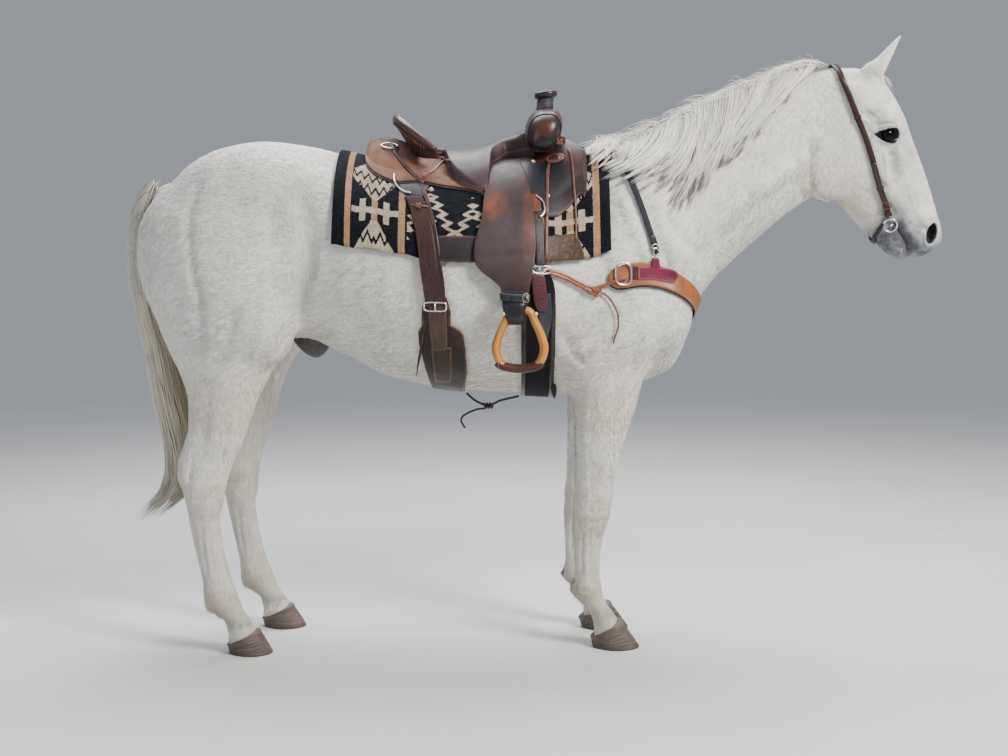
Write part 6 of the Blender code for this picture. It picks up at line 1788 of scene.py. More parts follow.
def mane(look):
    # a mass under the locks, painted soft grey for the shade between them
    root = np.linspace(0.215, 0.880, 90)
    tuck = 0.56 + 0.05 * np.sin(np.arange(90) * 1.9) + 0.05 * np.sin(np.arange(90) * 0.7)
    path, way = mane_paths(root, tuck, np.full(90, 0.0050), 18)
    thick = 0.0030 * np.concatenate([[0.3, 0.8], np.linspace(1, 0.25, 16)])
    points, faces = shell_of(path - way * 0.0015, path + way * thick[None, :, None])
    mesh = mesh_of("mane_under", points, faces)
    shade = 0.56 + 0.22 * wander(points * [1, 1, 0.35], 150, 50)
    paint(mesh, WHITE * 0.9 * shade[:, None])
    lay_uv(mesh, "OFBake", unwrapped(points))
    piece("mane_under", mesh, look, replaces="mane")
    # clumps of locks, each drawn together towards its own tip
    rng = np.random.default_rng(41)
    clumps, each, steps = MANE_CLUMPS, 11, 13
    centre = np.sort(rng.uniform(0.200, 0.892, clumps))
    spread = rng.uniform(0.010, 0.028, clumps)
    reach = np.where(
        rng.random(clumps) < 0.40, rng.uniform(0.45, 0.85, clumps), rng.uniform(0.85, 1.10, clumps)
    )
    level = rng.uniform(0.0080, 0.0200, clumps)
    drift = rng.uniform(-0.042, 0.026, clumps)
    waves = rng.uniform(0, 2 * math.pi, clumps)
    k = np.repeat(np.arange(clumps), each)
    n = len(k)
    off = rng.uniform(-1, 1, n)
    root = np.clip(centre[k] + off * spread[k], 0.196, 0.898)
    share = reach[k] * rng.uniform(0.78, 1.08, n)
    lift = level[k] * rng.uniform(0.75, 1.20, n)
    path, way = mane_paths(root, share, lift, steps)
    s = np.linspace(0, 1, steps)
    line = np.repeat(path.reshape(clumps, each, steps, 3).mean(1), each, axis=0)
    pull = 0.86 * s**1.15
    path = path + (line - path) * pull[None, :, None]
    wave = 0.0135 * np.sin(waves[k][:, None] + s[None] * 6.5) * s[None] + drift[k][:, None] * s[None] ** 2
    wave += 0.0035 * np.sin(rng.uniform(0, 6.28, n)[:, None] + s[None] * 14) * s[None]
    path[..., 0] += wave
    path[..., 2] += 0.30 * wave
    wide = rng.uniform(0.0024, 0.0052, n)[:, None] * np.interp(
        s, [0, 0.1, 0.6, 0.85, 1], [0.7, 1, 1, 0.65, 0.18]
    )[None]
    # painted shade: locks that lie lower in the mane are darker
    depth_of = (level[k] - 0.008) / 0.012
    shade_and_tint = (0.76 + 0.30 * depth_of) * rng.uniform(0.86, 1.08, n) * rng.uniform(0.90, 1.06, clumps)[k]
    warm = rng.uniform(-1, 1, clumps)[k]
    # painted shade: broad grey bands along the mane and scattered grey locks, for the shade between and under
    # locks
    band = np.clip(wander(np.stack([root * 1.0, share * 0.0, 0 * root], 1), 34, 53) * 1.3, 0, 1)
    shade_grey = np.maximum((rng.random(n) < 0.26) * rng.uniform(0.25, 0.70, n), band * rng.uniform(0.15, 0.75, n))
    col = WHITE * 1.08 * shade_and_tint[:, None] * np.stack([1 + 0.014 * warm, np.ones(n), 1 - 0.040 * warm], 1)
    col = col + (np.array([0.34, 0.34, 0.355]) - col) * shade_grey[:, None]
    rosy = np.clip(1 - np.abs(root - 0.60) / 0.05, 0, 1) * (share > 0.9) * rng.random(n)
    col = col + (np.array([0.52, 0.42, 0.37]) - col) * rosy[:, None] * 0.6
    locks("mane_locks", path, way, wide, look, np.clip(col, 0, 0.82))
    # hair that runs back along the crest, arching from the poll
    n, steps = CREST_LOCKS, 9
    root = rng.uniform(0.30, 0.925, n) ** 0.9
    root = np.clip(root, 0.28, 0.920)
    far = rng.uniform(0.08, 0.20, n)
    s = np.linspace(0, 1, steps)
    x = root[:, None] - far[:, None] * s[None]
    y = rng.uniform(-0.006, 0.012, n)[:, None] - (rng.uniform(0.008, 0.034, n))[:, None] * s[None]
    path = crest(x.ravel(), y.ravel()).reshape(n, steps, 3)
    way = BODY.slope(path.reshape(-1, 3), 0.010)[1].reshape(path.shape)
    poll = np.clip((root - 0.80) / 0.08, 0, 1)
    rise = (rng.uniform(0.007, 0.018, n) + 0.010 * poll)[:, None] * (
        0.25 + 1.1 * np.sin(np.pi * np.clip(s[None] * 0.85 + 0.05, 0, 1))
    )
    path = path + way * rise[..., None]
    path[..., 1] += 0.003 * np.sin(rng.uniform(0, 6, n)[:, None] + s[None] * 7)
    wide = rng.uniform(0.0022, 0.0046, n)[:, None] * np.interp(
        s, [0, 0.1, 0.6, 0.85, 1], [0.6, 1, 1, 0.6, 0.15]
    )[None]
    col = WHITE * 1.10 * rng.uniform(0.84, 1.06, (n, 1)) * [1, 0.992, 0.97]
    locks("mane_crest", path, way, wide, look, np.clip(col, 0, 0.84))
    # fine strands that fly above the crest and back over the blanket's edge
    n, steps = MANE_WISPS, 8
    root = rng.uniform(0.25, 0.91, n)
    top = crest(root, rng.uniform(-0.026, 0.010, n))
    way0 = BODY.slope(top, 0.010)[1]
    s = np.linspace(0, 1, steps)
    far = rng.uniform(0.04, 0.135, n) * (0.75 + 0.6 * (root < 0.45))
    rise = rng.uniform(0.004, 0.020, n) + (rng.random(n) < 0.30) * rng.uniform(0.004, 0.018, n)
    path = top[:, None] + way0[:, None] * (0.009 + rise[:, None] * np.sin(s * 2.2)[None])[..., None]
    steep = np.interp(root, [0.25, 0.42, 0.62, 0.80, 0.91], [0.30, 0.40, 0.38, 0.30, 0.10])
    path[..., 0] -= far[:, None] * s[None]
    path[..., 1] -= rng.uniform(-0.01, 0.03, n)[:, None] * s[None]
    path[..., 2] -= (far * steep)[:, None] * s[None] * rng.uniform(
        0.75, 1.35, n
    )[:, None] - 0.010 * np.sin(s * 3.0)[None]
    wide = rng.uniform(0.0012, 0.0034, n)[:, None] * np.linspace(1, 0.15, steps)[None]
    locks(
        "mane_wisps", path, np.repeat(way0[:, None], steps, 1), wide, look,
        WHITE * 1.08 * rng.uniform(0.85, 1.1, (n, 1))
    )


def forelock(look):
    rng = np.random.default_rng(43)
    n, steps = FORELOCK_LOCKS, 8
    y0 = rng.uniform(-0.022, 0.022, n)
    t0 = rng.uniform(-0.070, -0.030, n)
    length = rng.uniform(0.035, 0.075, n)
    s = np.linspace(0, 1, steps)
    t = t0[:, None] + length[:, None] * s[None]
    y = y0[:, None] * (1 - 0.35 * s[None]) - 0.010 * s[None] ** 2
    start = np.stack(on_head_many(t.ravel(), 0.21, y.ravel()), 1)
    base = march(start, np.array([[-0.893, 0, -0.45]]))
    way = BODY.slope(base, 0.008)[1].reshape(n, steps, 3)
    lift = rng.uniform(0.003, 0.012, n)[:, None] * (0.5 + s[None] * 1.1)
    path = base.reshape(n, steps, 3) + way * lift[..., None]
    wide = rng.uniform(0.0022, 0.0038, n)[:, None] * np.array([0.8, 1, 1, 1, 0.9, 0.75, 0.5, 0.2])[None]
    locks(
        "forelock_locks", path, way, wide, look, WHITE * rng.uniform(0.86, 1.08, (n, 1)),
        replaces="forelock"
    )


def on_head_many(t, e, y):
    x = HEAD_START[0] + HEAD_WAY[0] * t + HEAD_FRONT[0] * e
    z = HEAD_START[1] + HEAD_WAY[1] * t + HEAD_FRONT[1] * e
    return x, y, z


TAIL_ROWS = [
    # z, rear x, depth, half-width
    (1.490, -1.214, 0.030, 0.020), (1.462, -1.236, 0.048, 0.027),
    (1.425, -1.262, 0.062, 0.034), (1.371, -1.280, 0.066, 0.040),
    (1.300, -1.287, 0.070, 0.045), (1.200, -1.287, 0.074, 0.050),
    (1.080, -1.276, 0.082, 0.056), (0.950, -1.250, 0.096, 0.062),
    (0.820, -1.232, 0.108, 0.066), (0.700, -1.207, 0.112, 0.066),
    (0.600, -1.190, 0.110, 0.060), (0.520, -1.194, 0.104, 0.052),
    (0.460, -1.222, 0.092, 0.042), (0.412, -1.262, 0.078, 0.030), (0.385, -1.292, 0.066, 0.022),
]


def in_tail(z, angle, share):
    """Places in the tail: at a height, an angle about its middle from the rear, a share of its half-depth."""
    rows = sorted(TAIL_ROWS)
    rear, depth_, half = pchip(rows, np.ravel(z)).T.reshape(3, *np.shape(z))
    x = rear + depth_ / 2 - share * depth_ / 2 * np.cos(angle)
    return np.stack([x, share * half * np.sin(angle), z], -1)


def tail(look):
    rng = np.random.default_rng(47)
    # the inner mass, painted darker than the locks for the shade inside the tail, and browner towards the
    # legs: stain and painted shade
    a = np.linspace(0, 2 * math.pi, 40, endpoint=False)
    zs = np.concatenate([np.linspace(1.470, 0.60, 46), np.linspace(0.585, 0.46, 8)])
    tight = np.interp(zs, [0.46, 0.56, 0.75, 1.2, 1.47], [0.25, 0.60, 0.80, 0.86, 0.80])
    rings = in_tail(
        np.repeat(zs[:, None], 40, 1), a[None] + 0 * zs[:, None],
        tight[:, None] * (1 + 0.05 * np.sin(a * 9)[None])
    )
    mesh = mesh_of("tail_core", *lofted(rings))
    pts = points_of(mesh)
    shade = 0.62 + 0.30 * wander(pts * [1, 1, 0.08], 150, 52)
    inner = np.clip((pts[:, 0] + 1.235 + (pts[:, 2] - 0.9) * 0.05) / 0.06, 0, 1)
    base = np.array([0.50, 0.43, 0.30]) + (
        np.array([0.22, 0.155, 0.075]) - np.array([0.50, 0.43, 0.30])
    ) * inner[:, None]
    paint(mesh, base * shade[:, None])
    lay_uv(mesh, "OFBake", unwrapped(pts))
    piece("tail_core", mesh, look, replaces="tail")
    clumps, each, steps = TAIL_CLUMPS, 12, 13
    ca = rng.uniform(0, 2 * math.pi, clumps)
    top = rng.uniform(0.98, 1.46, clumps)
    top[: clumps // 2] = rng.uniform(1.28, 1.47, clumps // 2)
    low = rng.uniform(0.415, 0.62, clumps)
    low[: clumps // 5] = rng.uniform(0.375, 0.44, clumps // 5)
    k = np.repeat(np.arange(clumps), each)
    n = len(k)
    s = np.linspace(0, 1, steps)
    z0, z1 = top[k] + rng.uniform(-0.03, 0.015, n), low[k] + rng.uniform(-0.012, 0.05, n)
    z = z0[:, None] + (z1 - z0)[:, None] * s[None]
    a0 = ca[k] + rng.uniform(-0.26, 0.26, n)
    angle = a0[:, None] + (ca[k] - a0)[:, None] * 0.7 * s[None] + (
        rng.uniform(-0.35, 0.35, clumps)[k]
    )[:, None] * s[None]
    angle += 0.10 * np.sin(rng.uniform(0, 6.28, clumps)[k][:, None] + s[None] * 6)
    share = rng.uniform(0.84, 1.04, n)[:, None] * (0.86 + 0.14 * np.clip(s[None] * 6, 0, 1))
    path = in_tail(z, angle, share)
    centre = in_tail(z, angle, 0 * share)
    way = unit(path - centre + 1e-6)
    flick = np.clip((0.52 - path[..., 2]) / 0.14, 0, 1) ** 1.5 * rng.uniform(0.0, 0.035, n)[:, None]
    path[..., 0] -= flick
    path[..., 2] += flick * 0.20
    path[..., 1] += 0.004 * np.sin(rng.uniform(0, 6.28, clumps)[k][:, None] + s[None] * 9)
    wide = rng.uniform(0.0030, 0.0056, n)[:, None] * np.array(
        [0.5, 0.9] + [1] * 6 + [0.95, 0.85, 0.7, 0.5, 0.22]
    )[None]
    # locks on the side towards the legs go brown: stain, and painted shade
    front = np.clip(-np.cos(ca[k]) * 0.6 + 0.25, 0, 1)
    cream, brown, white = np.array([0.60, 0.54, 0.42]), np.array([0.36, 0.27, 0.14]), WHITE
    col = cream[None] * rng.uniform(0.84, 1.12, (n, 1))
    col = col + (white - col) * (np.clip((z0 - 1.25) / 0.2, 0, 1) * 0.6 * rng.uniform(0.5, 1, n))[:, None]
    col = col + (brown - col) * (front * rng.uniform(0.25, 1.0, n))[:, None]
    col *= rng.uniform(0.86, 1.08, clumps)[k][:, None]
    locks("tail_locks", path, way, wide, look, np.clip(col, 0, 0.8), roots=path[:, 0])
    # short hair over the dock and its edges
    n = DOCK_TUFTS
    z = rng.uniform(1.14, 1.482, n)
    ang = rng.normal(0, 0.9, n)
    root = in_tail(z, ang, 1.0 + 0 * z)
    below = in_tail(z - 0.02, ang, 1.0 + 0 * z)
    way = unit(root - in_tail(z, ang, 0 * z) + 1e-6)
    flow = unit(unit(below - root) + way * rng.uniform(0.10, 0.50, n)[:, None])
    tufts(
        "dock_hair", root - way * 0.002, way, flow, rng.uniform(0.020, 0.046, n), 0.0030,
        rng.uniform(0.001, 0.006, n), look, WHITE * rng.uniform(0.86, 1.06, (n, 1)) * [1, 0.985, 0.93]
    )


# ---------------------------------------------------------------- tack: tools


def values(mesh, name, numbers):
    """A number for each point, for the shader to read."""
    layer = mesh.attributes.new(name, "FLOAT", "POINT")
    layer.data.foreach_set("value", np.asarray(numbers, np.float32).ravel())


BEVEL = np.array([0, 0.0009, 0.0024, 0.005])  # how far from an edge its rounding has its points


def spaced(total, step):
    """Distances from 0 to total about step apart, closer near both ends for a rounded edge."""
    e = min(1.0, total / 0.02)
    edge = BEVEL * e
    n = max(2, int(round((total - 0.01 * e) / step)))
    return np.concatenate([edge, np.linspace(edge[-1], total - edge[-1], n + 1)[1:-1], total - edge[::-1]])


def run_of(line):
    """How far along a line each of its points is."""
    return np.concatenate([[0], np.cumsum(np.linalg.norm(np.diff(line, axis=0), axis=1))])


def shares_across(near, count):
    """Shares across each row of a strap: near's at both of its edges, and even steps between them."""
    inner = near[:, -1:] + (1 - 2 * near[:, -1:]) * np.linspace(0, 1, count)[None, 1:-1]
    return np.concatenate([near, inner, 1 - near[:, ::-1]], 1)


def rim_of(s, wide, run):
    """How far each place of a strap is from its nearest edge."""
    return np.minimum(np.minimum(s, 1 - s) * wide[:, None], np.minimum(run, run[-1] - run)[:, None])


def panel_grid(rows, step=0.006):
    """Places between the ends of a panel's rows (x, z, x, z, more...), and how far each is from the edge."""
    rows = np.array(rows, float)
    mid = (rows[:, :2] + rows[:, 2:4]) / 2
    run = run_of(mid)
    at = spaced(run[-1], step)
    fine = pchip(np.column_stack([run, rows]), at)
    w = np.linalg.norm(fine[:, 2:4] - fine[:, :2], axis=1)
    n = max(2, int(round(w.max() / step)))
    e = np.minimum(1, w / 0.02)[:, None]
    s = shares_across(BEVEL * e / w[:, None], n + 1)
    x = fine[:, 0:1] * (1 - s) + fine[:, 2:3] * s
    z = fine[:, 1:2] * (1 - s) + fine[:, 3:4] * s
    rim = rim_of(s, w, at)
    more = [np.repeat(fine[:, k : k + 1], s.shape[1], 1) for k in range(4, fine.shape[1])]
    return x, z, rim, np.repeat(at[:, None], s.shape[1], 1), more


def rounded(rim, edge=0.0026):
    """The share of a hide's thickness at each distance from its edge."""
    t = np.clip(rim / edge, 0, 1)
    return 0.35 + 0.65 * np.sqrt(np.clip(1 - (1 - t) ** 2, 0, 1))


def layers(base, low, high, rim):
    """The inner and outer grids of a hide on the body, standing off by low to high, with rounded edges."""
    shape = rim.shape
    base = settle(base.reshape(-1, 3), 2)
    way = BODY.slope(base, 0.006)[1]
    low = np.broadcast_to(low, shape).ravel()
    high = np.broadcast_to(high, shape).ravel()
    top = low + (high - low) * rounded(rim.ravel())
    return (base + way * low[:, None]).reshape(*shape, 3), (base + way * top[:, None]).reshape(*shape, 3)


def hide_of(name, grids, rim, run, colour):
    """A leather mesh with a colour, its distance from the edge and along it."""
    points, faces = shell_of(*grids)
    mesh = mesh_of(name, points, faces)
    rims = np.concatenate([np.zeros(rim.size), rim.ravel()])
    values(mesh, "Rim", rims)
    values(mesh, "Run", np.tile(run.ravel(), 2))
    paint(mesh, np.clip(colour(points), 0.002, 1))
    return mesh


def dressed(name, solid, colour, rim, along):
    """A leather part's mesh with its colour, its distance from an edge, and its run along one axis."""
    points, faces = solid
    mesh = mesh_of(name, points, faces)
    paint(mesh, np.clip(colour(points), 0.003, 1))
    values(mesh, "Rim", np.broadcast_to(rim, len(points)))
    values(mesh, "Run", points[:, along])
    return mesh


def mirrored(mesh, name):
    """A copy of the mesh on the horse's other side."""
    copy = mesh.copy()
    copy.name = name
    copy.vertices.foreach_set("co", (points_of(copy) * [1, -1, 1]).astype(np.float32).ravel())
    copy.flip_normals()
    copy.update()
    return copy


def pair(name, mesh, look, node=None, slot=None):
    """The same piece on the right and, mirrored, on the left."""
    if not isinstance(mesh, bpy.types.Mesh):
        mesh = mesh_of(name + "_right", *mesh)
    other = mirrored(mesh, name + "_left")
    return [
        piece(f"{name}_{side}", m, look, replaces=f"{node}_{side}" if node else ())
        for side, m in (("right", mesh), ("left", other))
    ]


def panel(name, rows, look, colour, low=None, high=None, node=None, slot=None, step=0.006):
    """A hide on the right side, and mirrored on the left. rows may carry their own low and high."""
    x, z, rim, run, more = panel_grid(rows, step)
    low, high = (more[0], more[1]) if more else (low, high)
    base = beside(x, z, np.broadcast_to((low + high) / 2, x.shape).ravel())
    mesh = hide_of(name + "_right", layers(base, low, high, rim), rim, run, colour)
    return pair(name, mesh, look, node, slot)


class Under:
    """What a thing on the right side rests on: some pieces, and the coat between them."""

    def __init__(self, obs):
        points, faces, k = [], [], 0
        for ob in obs:
            co = points_of(ob.data)
            points += co.tolist()
            faces += [[k + i for i in p.vertices] for p in ob.data.polygons]
            k += len(co)
        self.tree = BVHTree.FromPolygons(points, faces)

    def __call__(self, x, z, off=0.0):
        """Places on it, off above it, and its outward directions."""
        base = beside(x, z, 0.02)
        way = BODY.slope(base, 0.006)[1]
        base = base + way * 0.003
        for i, (a, b) in enumerate(zip(np.ravel(x), np.ravel(z))):
            hit = self.tree.ray_cast(Vector((a, -0.6, b)), Vector((0, 1, 0)))
            if hit[0] is not None and hit[0].y < base[i, 1]:
                base[i] = hit[0]
                way[i] = hit[1] if hit[1].y < 0 else -hit[1]
            elif b > 1.5:
                near = self.tree.find_nearest(Vector((a, base[i, 1], b)))
                if near[3] is not None and near[3] < 0.05:
                    base[i], way[i] = near[0], near[1] if near[1].y < 0.2 else -near[1]
        return base + way * off, way


def fine_line(points, step=0.006):
    """A smooth line through points of any dimension, about step apart."""
    points = np.array(points, float)
    d = run_of(points)
    return pchip(np.column_stack([d, points]), np.linspace(0, d[-1], max(3, int(round(d[-1] / step)) + 1)))


def relaxed(numbers, rounds=3):
    """The numbers along a line, evened out with their neighbours; the two ends stay."""
    v = np.asarray(numbers, float)
    for _ in range(rounds):
        w = v.copy()
        w[1:-1] = (v[:-2] + 2 * v[1:-1] + v[2:]) / 4
        v = w
    return v


SECTION = np.array([(-0.5, 0.0), (-0.49, -0.32), (-0.44, -0.5), (0.0, -0.5), (0.44, -0.5), (0.49, -0.32),
                    (0.5, 0.0), (0.49, 0.32), (0.44, 0.5), (0.0, 0.5), (-0.44, 0.5), (-0.49, 0.32)])


def ribbon(line, way, width, thick, ends=0.6):
    """Points and faces of a strap along a line, its outer side turned to way."""
    line = np.asarray(line, float)
    n = len(line)
    along = unit(np.gradient(line, axis=0))
    way = np.broadcast_to(way, line.shape)
    side = unit(np.cross(way, along))
    up = unit(np.cross(along, side))
    width, thick = np.array(np.broadcast_to(width, (n,)), float), np.array(
        np.broadcast_to(thick, (n,)), float
    )
    width[[0, -1]] *= ends
    thick[[0, -1]] *= 0.7
    a = SECTION[:, 0][None, :, None] * width[:, None, None]
    b = SECTION[:, 1][None, :, None] * thick[:, None, None]
    return lofted(line[:, None] + side[:, None] * a + up[:, None] * b)


def tube(path, radius, sides=14, closed=False, flat=1.0):
    """Points and faces of a round bar along a path; flat squashes it across the path's plane."""
    path = np.asarray(path, float)
    n = len(path)
    along = unit(np.roll(path, -1, 0) - np.roll(path, 1, 0)) if closed else unit(np.gradient(path, axis=0))
    plane = np.linalg.svd(path - path.mean(0))[2][2] if closed else np.array([0.31, 0.52, 0.79])
    ups = [unit(plane - along[0] * (plane @ along[0]))]
    for i in range(1, n):
        ups.append(unit(ups[-1] - along[i] * (ups[-1] @ along[i])))
    ups = np.array(ups)
    side = np.cross(along, ups)
    a = np.arange(sides) * 2 * math.pi / sides
    radius = np.broadcast_to(radius, (n,))[:, None, None]
    rings = path[:, None] + radius * (
        ups[:, None] * np.cos(a)[None, :, None] * flat + side[:, None] * np.sin(a)[None, :, None]
    )
    if not closed:
        return lofted(rings)
    i, j = np.meshgrid(np.arange(n), np.arange(sides), indexing="ij")
    b, k = (j + 1) % sides, (i + 1) % n
    return rings.reshape(-1, 3), np.stack(
        [i * sides + j, i * sides + b, k * sides + b, k * sides + j], -1
    ).reshape(-1, 4)


def joined(*parts):
    """One mesh's points and faces from several."""
    points, faces, k = [], [], 0
    for p, f in parts:
        points.append(p)
        faces += [g + k for g in (f if isinstance(f, list) else [f])]
        k += len(p)
    return np.concatenate(points), faces


def dome(centre, way, radius, tall):
    """A round stud standing on way."""
    way = unit(np.asarray(way, float))
    a = unit(np.cross(way, [0.3, 0.2, 0.9]))
    b = np.cross(way, a)
    t = np.arange(20) * 2 * math.pi / 20
    ring = np.cos(t)[:, None] * a + np.sin(t)[:, None] * b
    rows = [(1.0, -0.4), (1.0, 0.15), (0.93, 0.45), (0.72, 0.78), (0.42, 0.95), (0.12, 1.0)]
    return lofted([np.asarray(centre) + ring * radius * r + way * tall * h for r, h in rows])


def seat_of_ring(node):
    """The centre and the in-plane axes of a ring that the solids set: along x, across it, and outwards."""
    co = points_of(frame["nodes"][node].data)
    centre = co.mean(0)
    out = np.linalg.svd(co - centre)[2][2]
    out = out * np.sign(out[1] * centre[1] + 1e-9)
    u = unit(np.array([1.0, 0, 0]) - out * out[0])
    v = np.cross(out, u)
    return centre, u, v * np.sign(v[2]), out


def squared(count, bend):
    """The two shares of a ring's half-axes at each of count points; a smaller bend makes it squarer."""
    a = np.arange(count) * 2 * math.pi / count
    c, s = np.cos(a), np.sin(a)
    return np.sign(c) * np.abs(c) ** bend, np.sign(s) * np.abs(s) ** bend


def ring_line(node, width, height, power, count, lift):
    """A closed line of the ring's true outline, in the plane that the solid sets."""
    centre, u, v, out = seat_of_ring(node)
    c, s = squared(count, 2 / power)
    return centre + out * lift + (c * width / 2)[:, None] * u + (s * height / 2)[:, None] * v


# ---------------------------------------------------------------- tack: looks


def leather(
    name, rough=0.40, coat=0.12, edge=(0.035, 0.020, 0.014), stitch=None, crease=0.0055, nap=0.0, worn=0.4
):
    """Leather over its painted colour: grain, wear, a burnished edge with a crease, and a row of stitches."""
    look = Look(
        name, rough, Coat_Weight=coat, Coat_Roughness=0.22, Specular_IOR_Level=0.24, Sheen_Weight=0.20 * nap
    )
    col = look.attribute().outputs["Color"]
    rim = look.attribute("Rim").outputs["Fac"]
    run = look.attribute("Run").outputs["Fac"]
    blotch, fine = look.noise(26, 4), look.noise(330, 4)
    grain = look.cells(620 if nap == 0 else 420)
    scuff = look.noise((30, 30, 260), 3)
    col = look.mix(look.span(blotch, 0.40, 0.72, 0, worn), col, (0.50, 0.42, 0.40), "MULTIPLY")
    col = look.mix(look.span(scuff, 0.62, 0.85, 0, 0.30), col, (1.55, 1.45, 1.38), "MULTIPLY")
    col = look.mix(look.span(fine, 0.35, 0.70, 0, 0.22 + 0.35 * nap), col, (0.45, 0.40, 0.36), "MULTIPLY")
    if crease:
        line = look.math("ABSOLUTE", look.math("SUBTRACT", rim, crease))
        groove = look.span(line, 0.0008, 0.0002)
        col = look.mix(look.math("MULTIPLY", groove, 0.55), col, edge)
    else:
        groove = 0.0
    height = look.math("MULTIPLY_ADD", grain, 0.35 + nap, look.math("MULTIPLY", fine, 0.5 + nap))
    if crease:
        height = look.math("SUBTRACT", height, look.math("MULTIPLY", groove, 1.6))
    if stitch:
        track = look.span(look.math("ABSOLUTE", look.math("SUBTRACT", rim, 0.0033)), 0.0009, 0.0006)
        beat = look.math("GREATER_THAN", look.math("FRACT", look.math("MULTIPLY", run, 210.0)), 0.32)
        thread = look.math("MULTIPLY", track, beat)
        col = look.mix(thread, col, stitch)
        height = look.math("ADD", height, look.math("MULTIPLY", thread, 1.2))
    col = look.mix(look.span(rim, 0.0020, 0.0004, 0, 0.85), col, edge)
    look.colour(col)
    look.roughness(look.span(blotch, 0.3, 0.7, rough - 0.06, rough + 0.12))
    look.bump(height, 0.0009, 0.55)
    return look


def plain_leather(name, colour, rough=0.42, coat=0.1):
    """Leather of one colour, for laces and small parts."""
    look = Look(name, rough, Coat_Weight=coat, Coat_Roughness=0.25, Specular_IOR_Level=0.28)
    dark = tuple(c * 0.45 for c in colour)
    blotch = look.noise(42, 4)
    look.colour(look.mix(look.span(blotch, 0.35, 0.7), colour, dark))
    look.roughness(look.span(blotch, 0.3, 0.7, rough - 0.05, rough + 0.12))
    look.bump(look.math("ADD", look.noise(420, 3), look.noise((90, 90, 90), 2)), 0.0008, 0.5)
    return look


def metal(name, colour, rough):
    """Worn metal, duller where it is marked."""
    look = Look(name, rough, 1.0)
    mark = look.noise(160, 4)
    look.colour(look.mix(look.span(mark, 0.45, 0.75), colour, tuple(c * 0.55 for c in colour)))
    look.roughness(look.span(mark, 0.3, 0.75, rough, rough + 0.22))
    look.bump(look.noise(900, 2), 0.0002, 0.25)
    return look


# ---------------------------------------------------------------- tack: colours

BLACK = np.array([0.006, 0.007, 0.010])
CREAM = np.array([0.56, 0.47, 0.37])
TAN_YARN = np.array([0.45, 0.27, 0.155])
ROUGH_OUT = np.array([0.400, 0.165, 0.092])
PLUM = np.array([0.085, 0.046, 0.052])
RUSSET = np.array([0.260, 0.068, 0.026])
UMBER = np.array([0.105, 0.048, 0.040])
SOOT = np.array([0.022, 0.019, 0.024])


def tinted(base, *patches):
    """A colour with soft patches: x, z, half-breadths, colour, share."""

    def colour(p):
        c = np.broadcast_to(np.asarray(base, float), p.shape).copy()
        for x, z, rx, rz, other, share in patches:
            far = ((p[:, 0] - x) / rx) ** 2 + ((p[:, 2] - z) / rz) ** 2
            w = share * np.exp(-(far**1.6)) * np.clip(0.75 + 0.5 * wander(p, 70, 44), 0, 1.1)
            c += (np.asarray(other) - c) * np.clip(w, 0, 1)[:, None]
        return c * (0.46 + 0.10 * wander(p, 38, 41) + 0.05 * wander(p, 120, 42))[:, None]

    return colour


# ---------------------------------------------------------------- the blanket

HEM = [(-0.616, 1.283), (-0.41, 1.253), (-0.26, 1.228), (0.04, 1.228), (0.13, 1.236), (0.225, 1.262)]


def table(rows):
    """A smooth function through rows of x and its value."""
    return lambda x: pchip(rows, np.ravel(x))[:, 0].reshape(np.shape(x))


def edge_angle(x, z_edge):
    """The angle about the trunk's axis at which a layer's outline comes down to each height."""
    layer, height = 0.02, 1.2
    angle = np.full(len(x), 1.3)
    for _ in range(6):
        p = around(x, angle, height)
        r = np.hypot(p[:, 1], p[:, 2] - height) + layer
        angle = np.arccos(np.clip((z_edge - height) / r, -0.99, 0.99))
    return angle


def over_back(start, end, hem, low, high, step=0.006, edge=0.0026):
    """A piece over the back: start and end give its x at each share from the spine (0) to its hem (1).

    Returns its two grids, and each place's distance from the edge and from the hem."""
    xs = np.linspace(start(np.array([1.0]))[0], end(np.array([1.0]))[0], 60)
    angle = edge_angle(xs, hem(xs))
    half = 0.40 * angle.max()
    s = spaced(half * 2, step)
    s = s / s[-1] * 2 - 1
    length = xs[-1] - xs[0]
    t = spaced(length, step) / length
    share = np.abs(s)[None]
    x = start(share) * (1 - t[:, None]) + end(share) * t[:, None]
    a = np.interp(x.ravel(), xs, angle).reshape(x.shape) * s[None]
    base = around(x.ravel(), a.ravel()).reshape(*x.shape, 3)
    run = np.concatenate(
        [np.zeros((len(t), 1)), np.cumsum(np.linalg.norm(np.diff(base, axis=1), axis=2), axis=1)], 1
    )
    up = np.minimum(run, run[:, -1:] - run)
    ends = np.minimum(t, 1 - t)[:, None] * (end(share) - start(share))
    rim = np.minimum(up, ends)
    flat = x.ravel(), np.broadcast_to(share, x.shape).ravel(), np.abs(a).ravel()
    lows, highs = low(*flat).reshape(x.shape), high(*flat).reshape(x.shape)
    way = BODY.slope(base.reshape(-1, 3), 0.012)[1].reshape(base.shape)
    top = lows + (highs - lows) * rounded(rim, edge)
    return base + way * lows[..., None], base + way * top[..., None], rim, up


def level(h):
    """For over_back: one height everywhere."""
    return lambda x, s, a: np.full(np.shape(x), float(h))


def always(v):
    """For over_back: an end that runs straight across the back."""
    return lambda s: np.full(np.shape(s), float(v))


def saw(v, period):
    """A triangle wave from -1 to 1."""
    return abs((v * (1 / period)) % 1.0 - 0.5) * 4 - 1


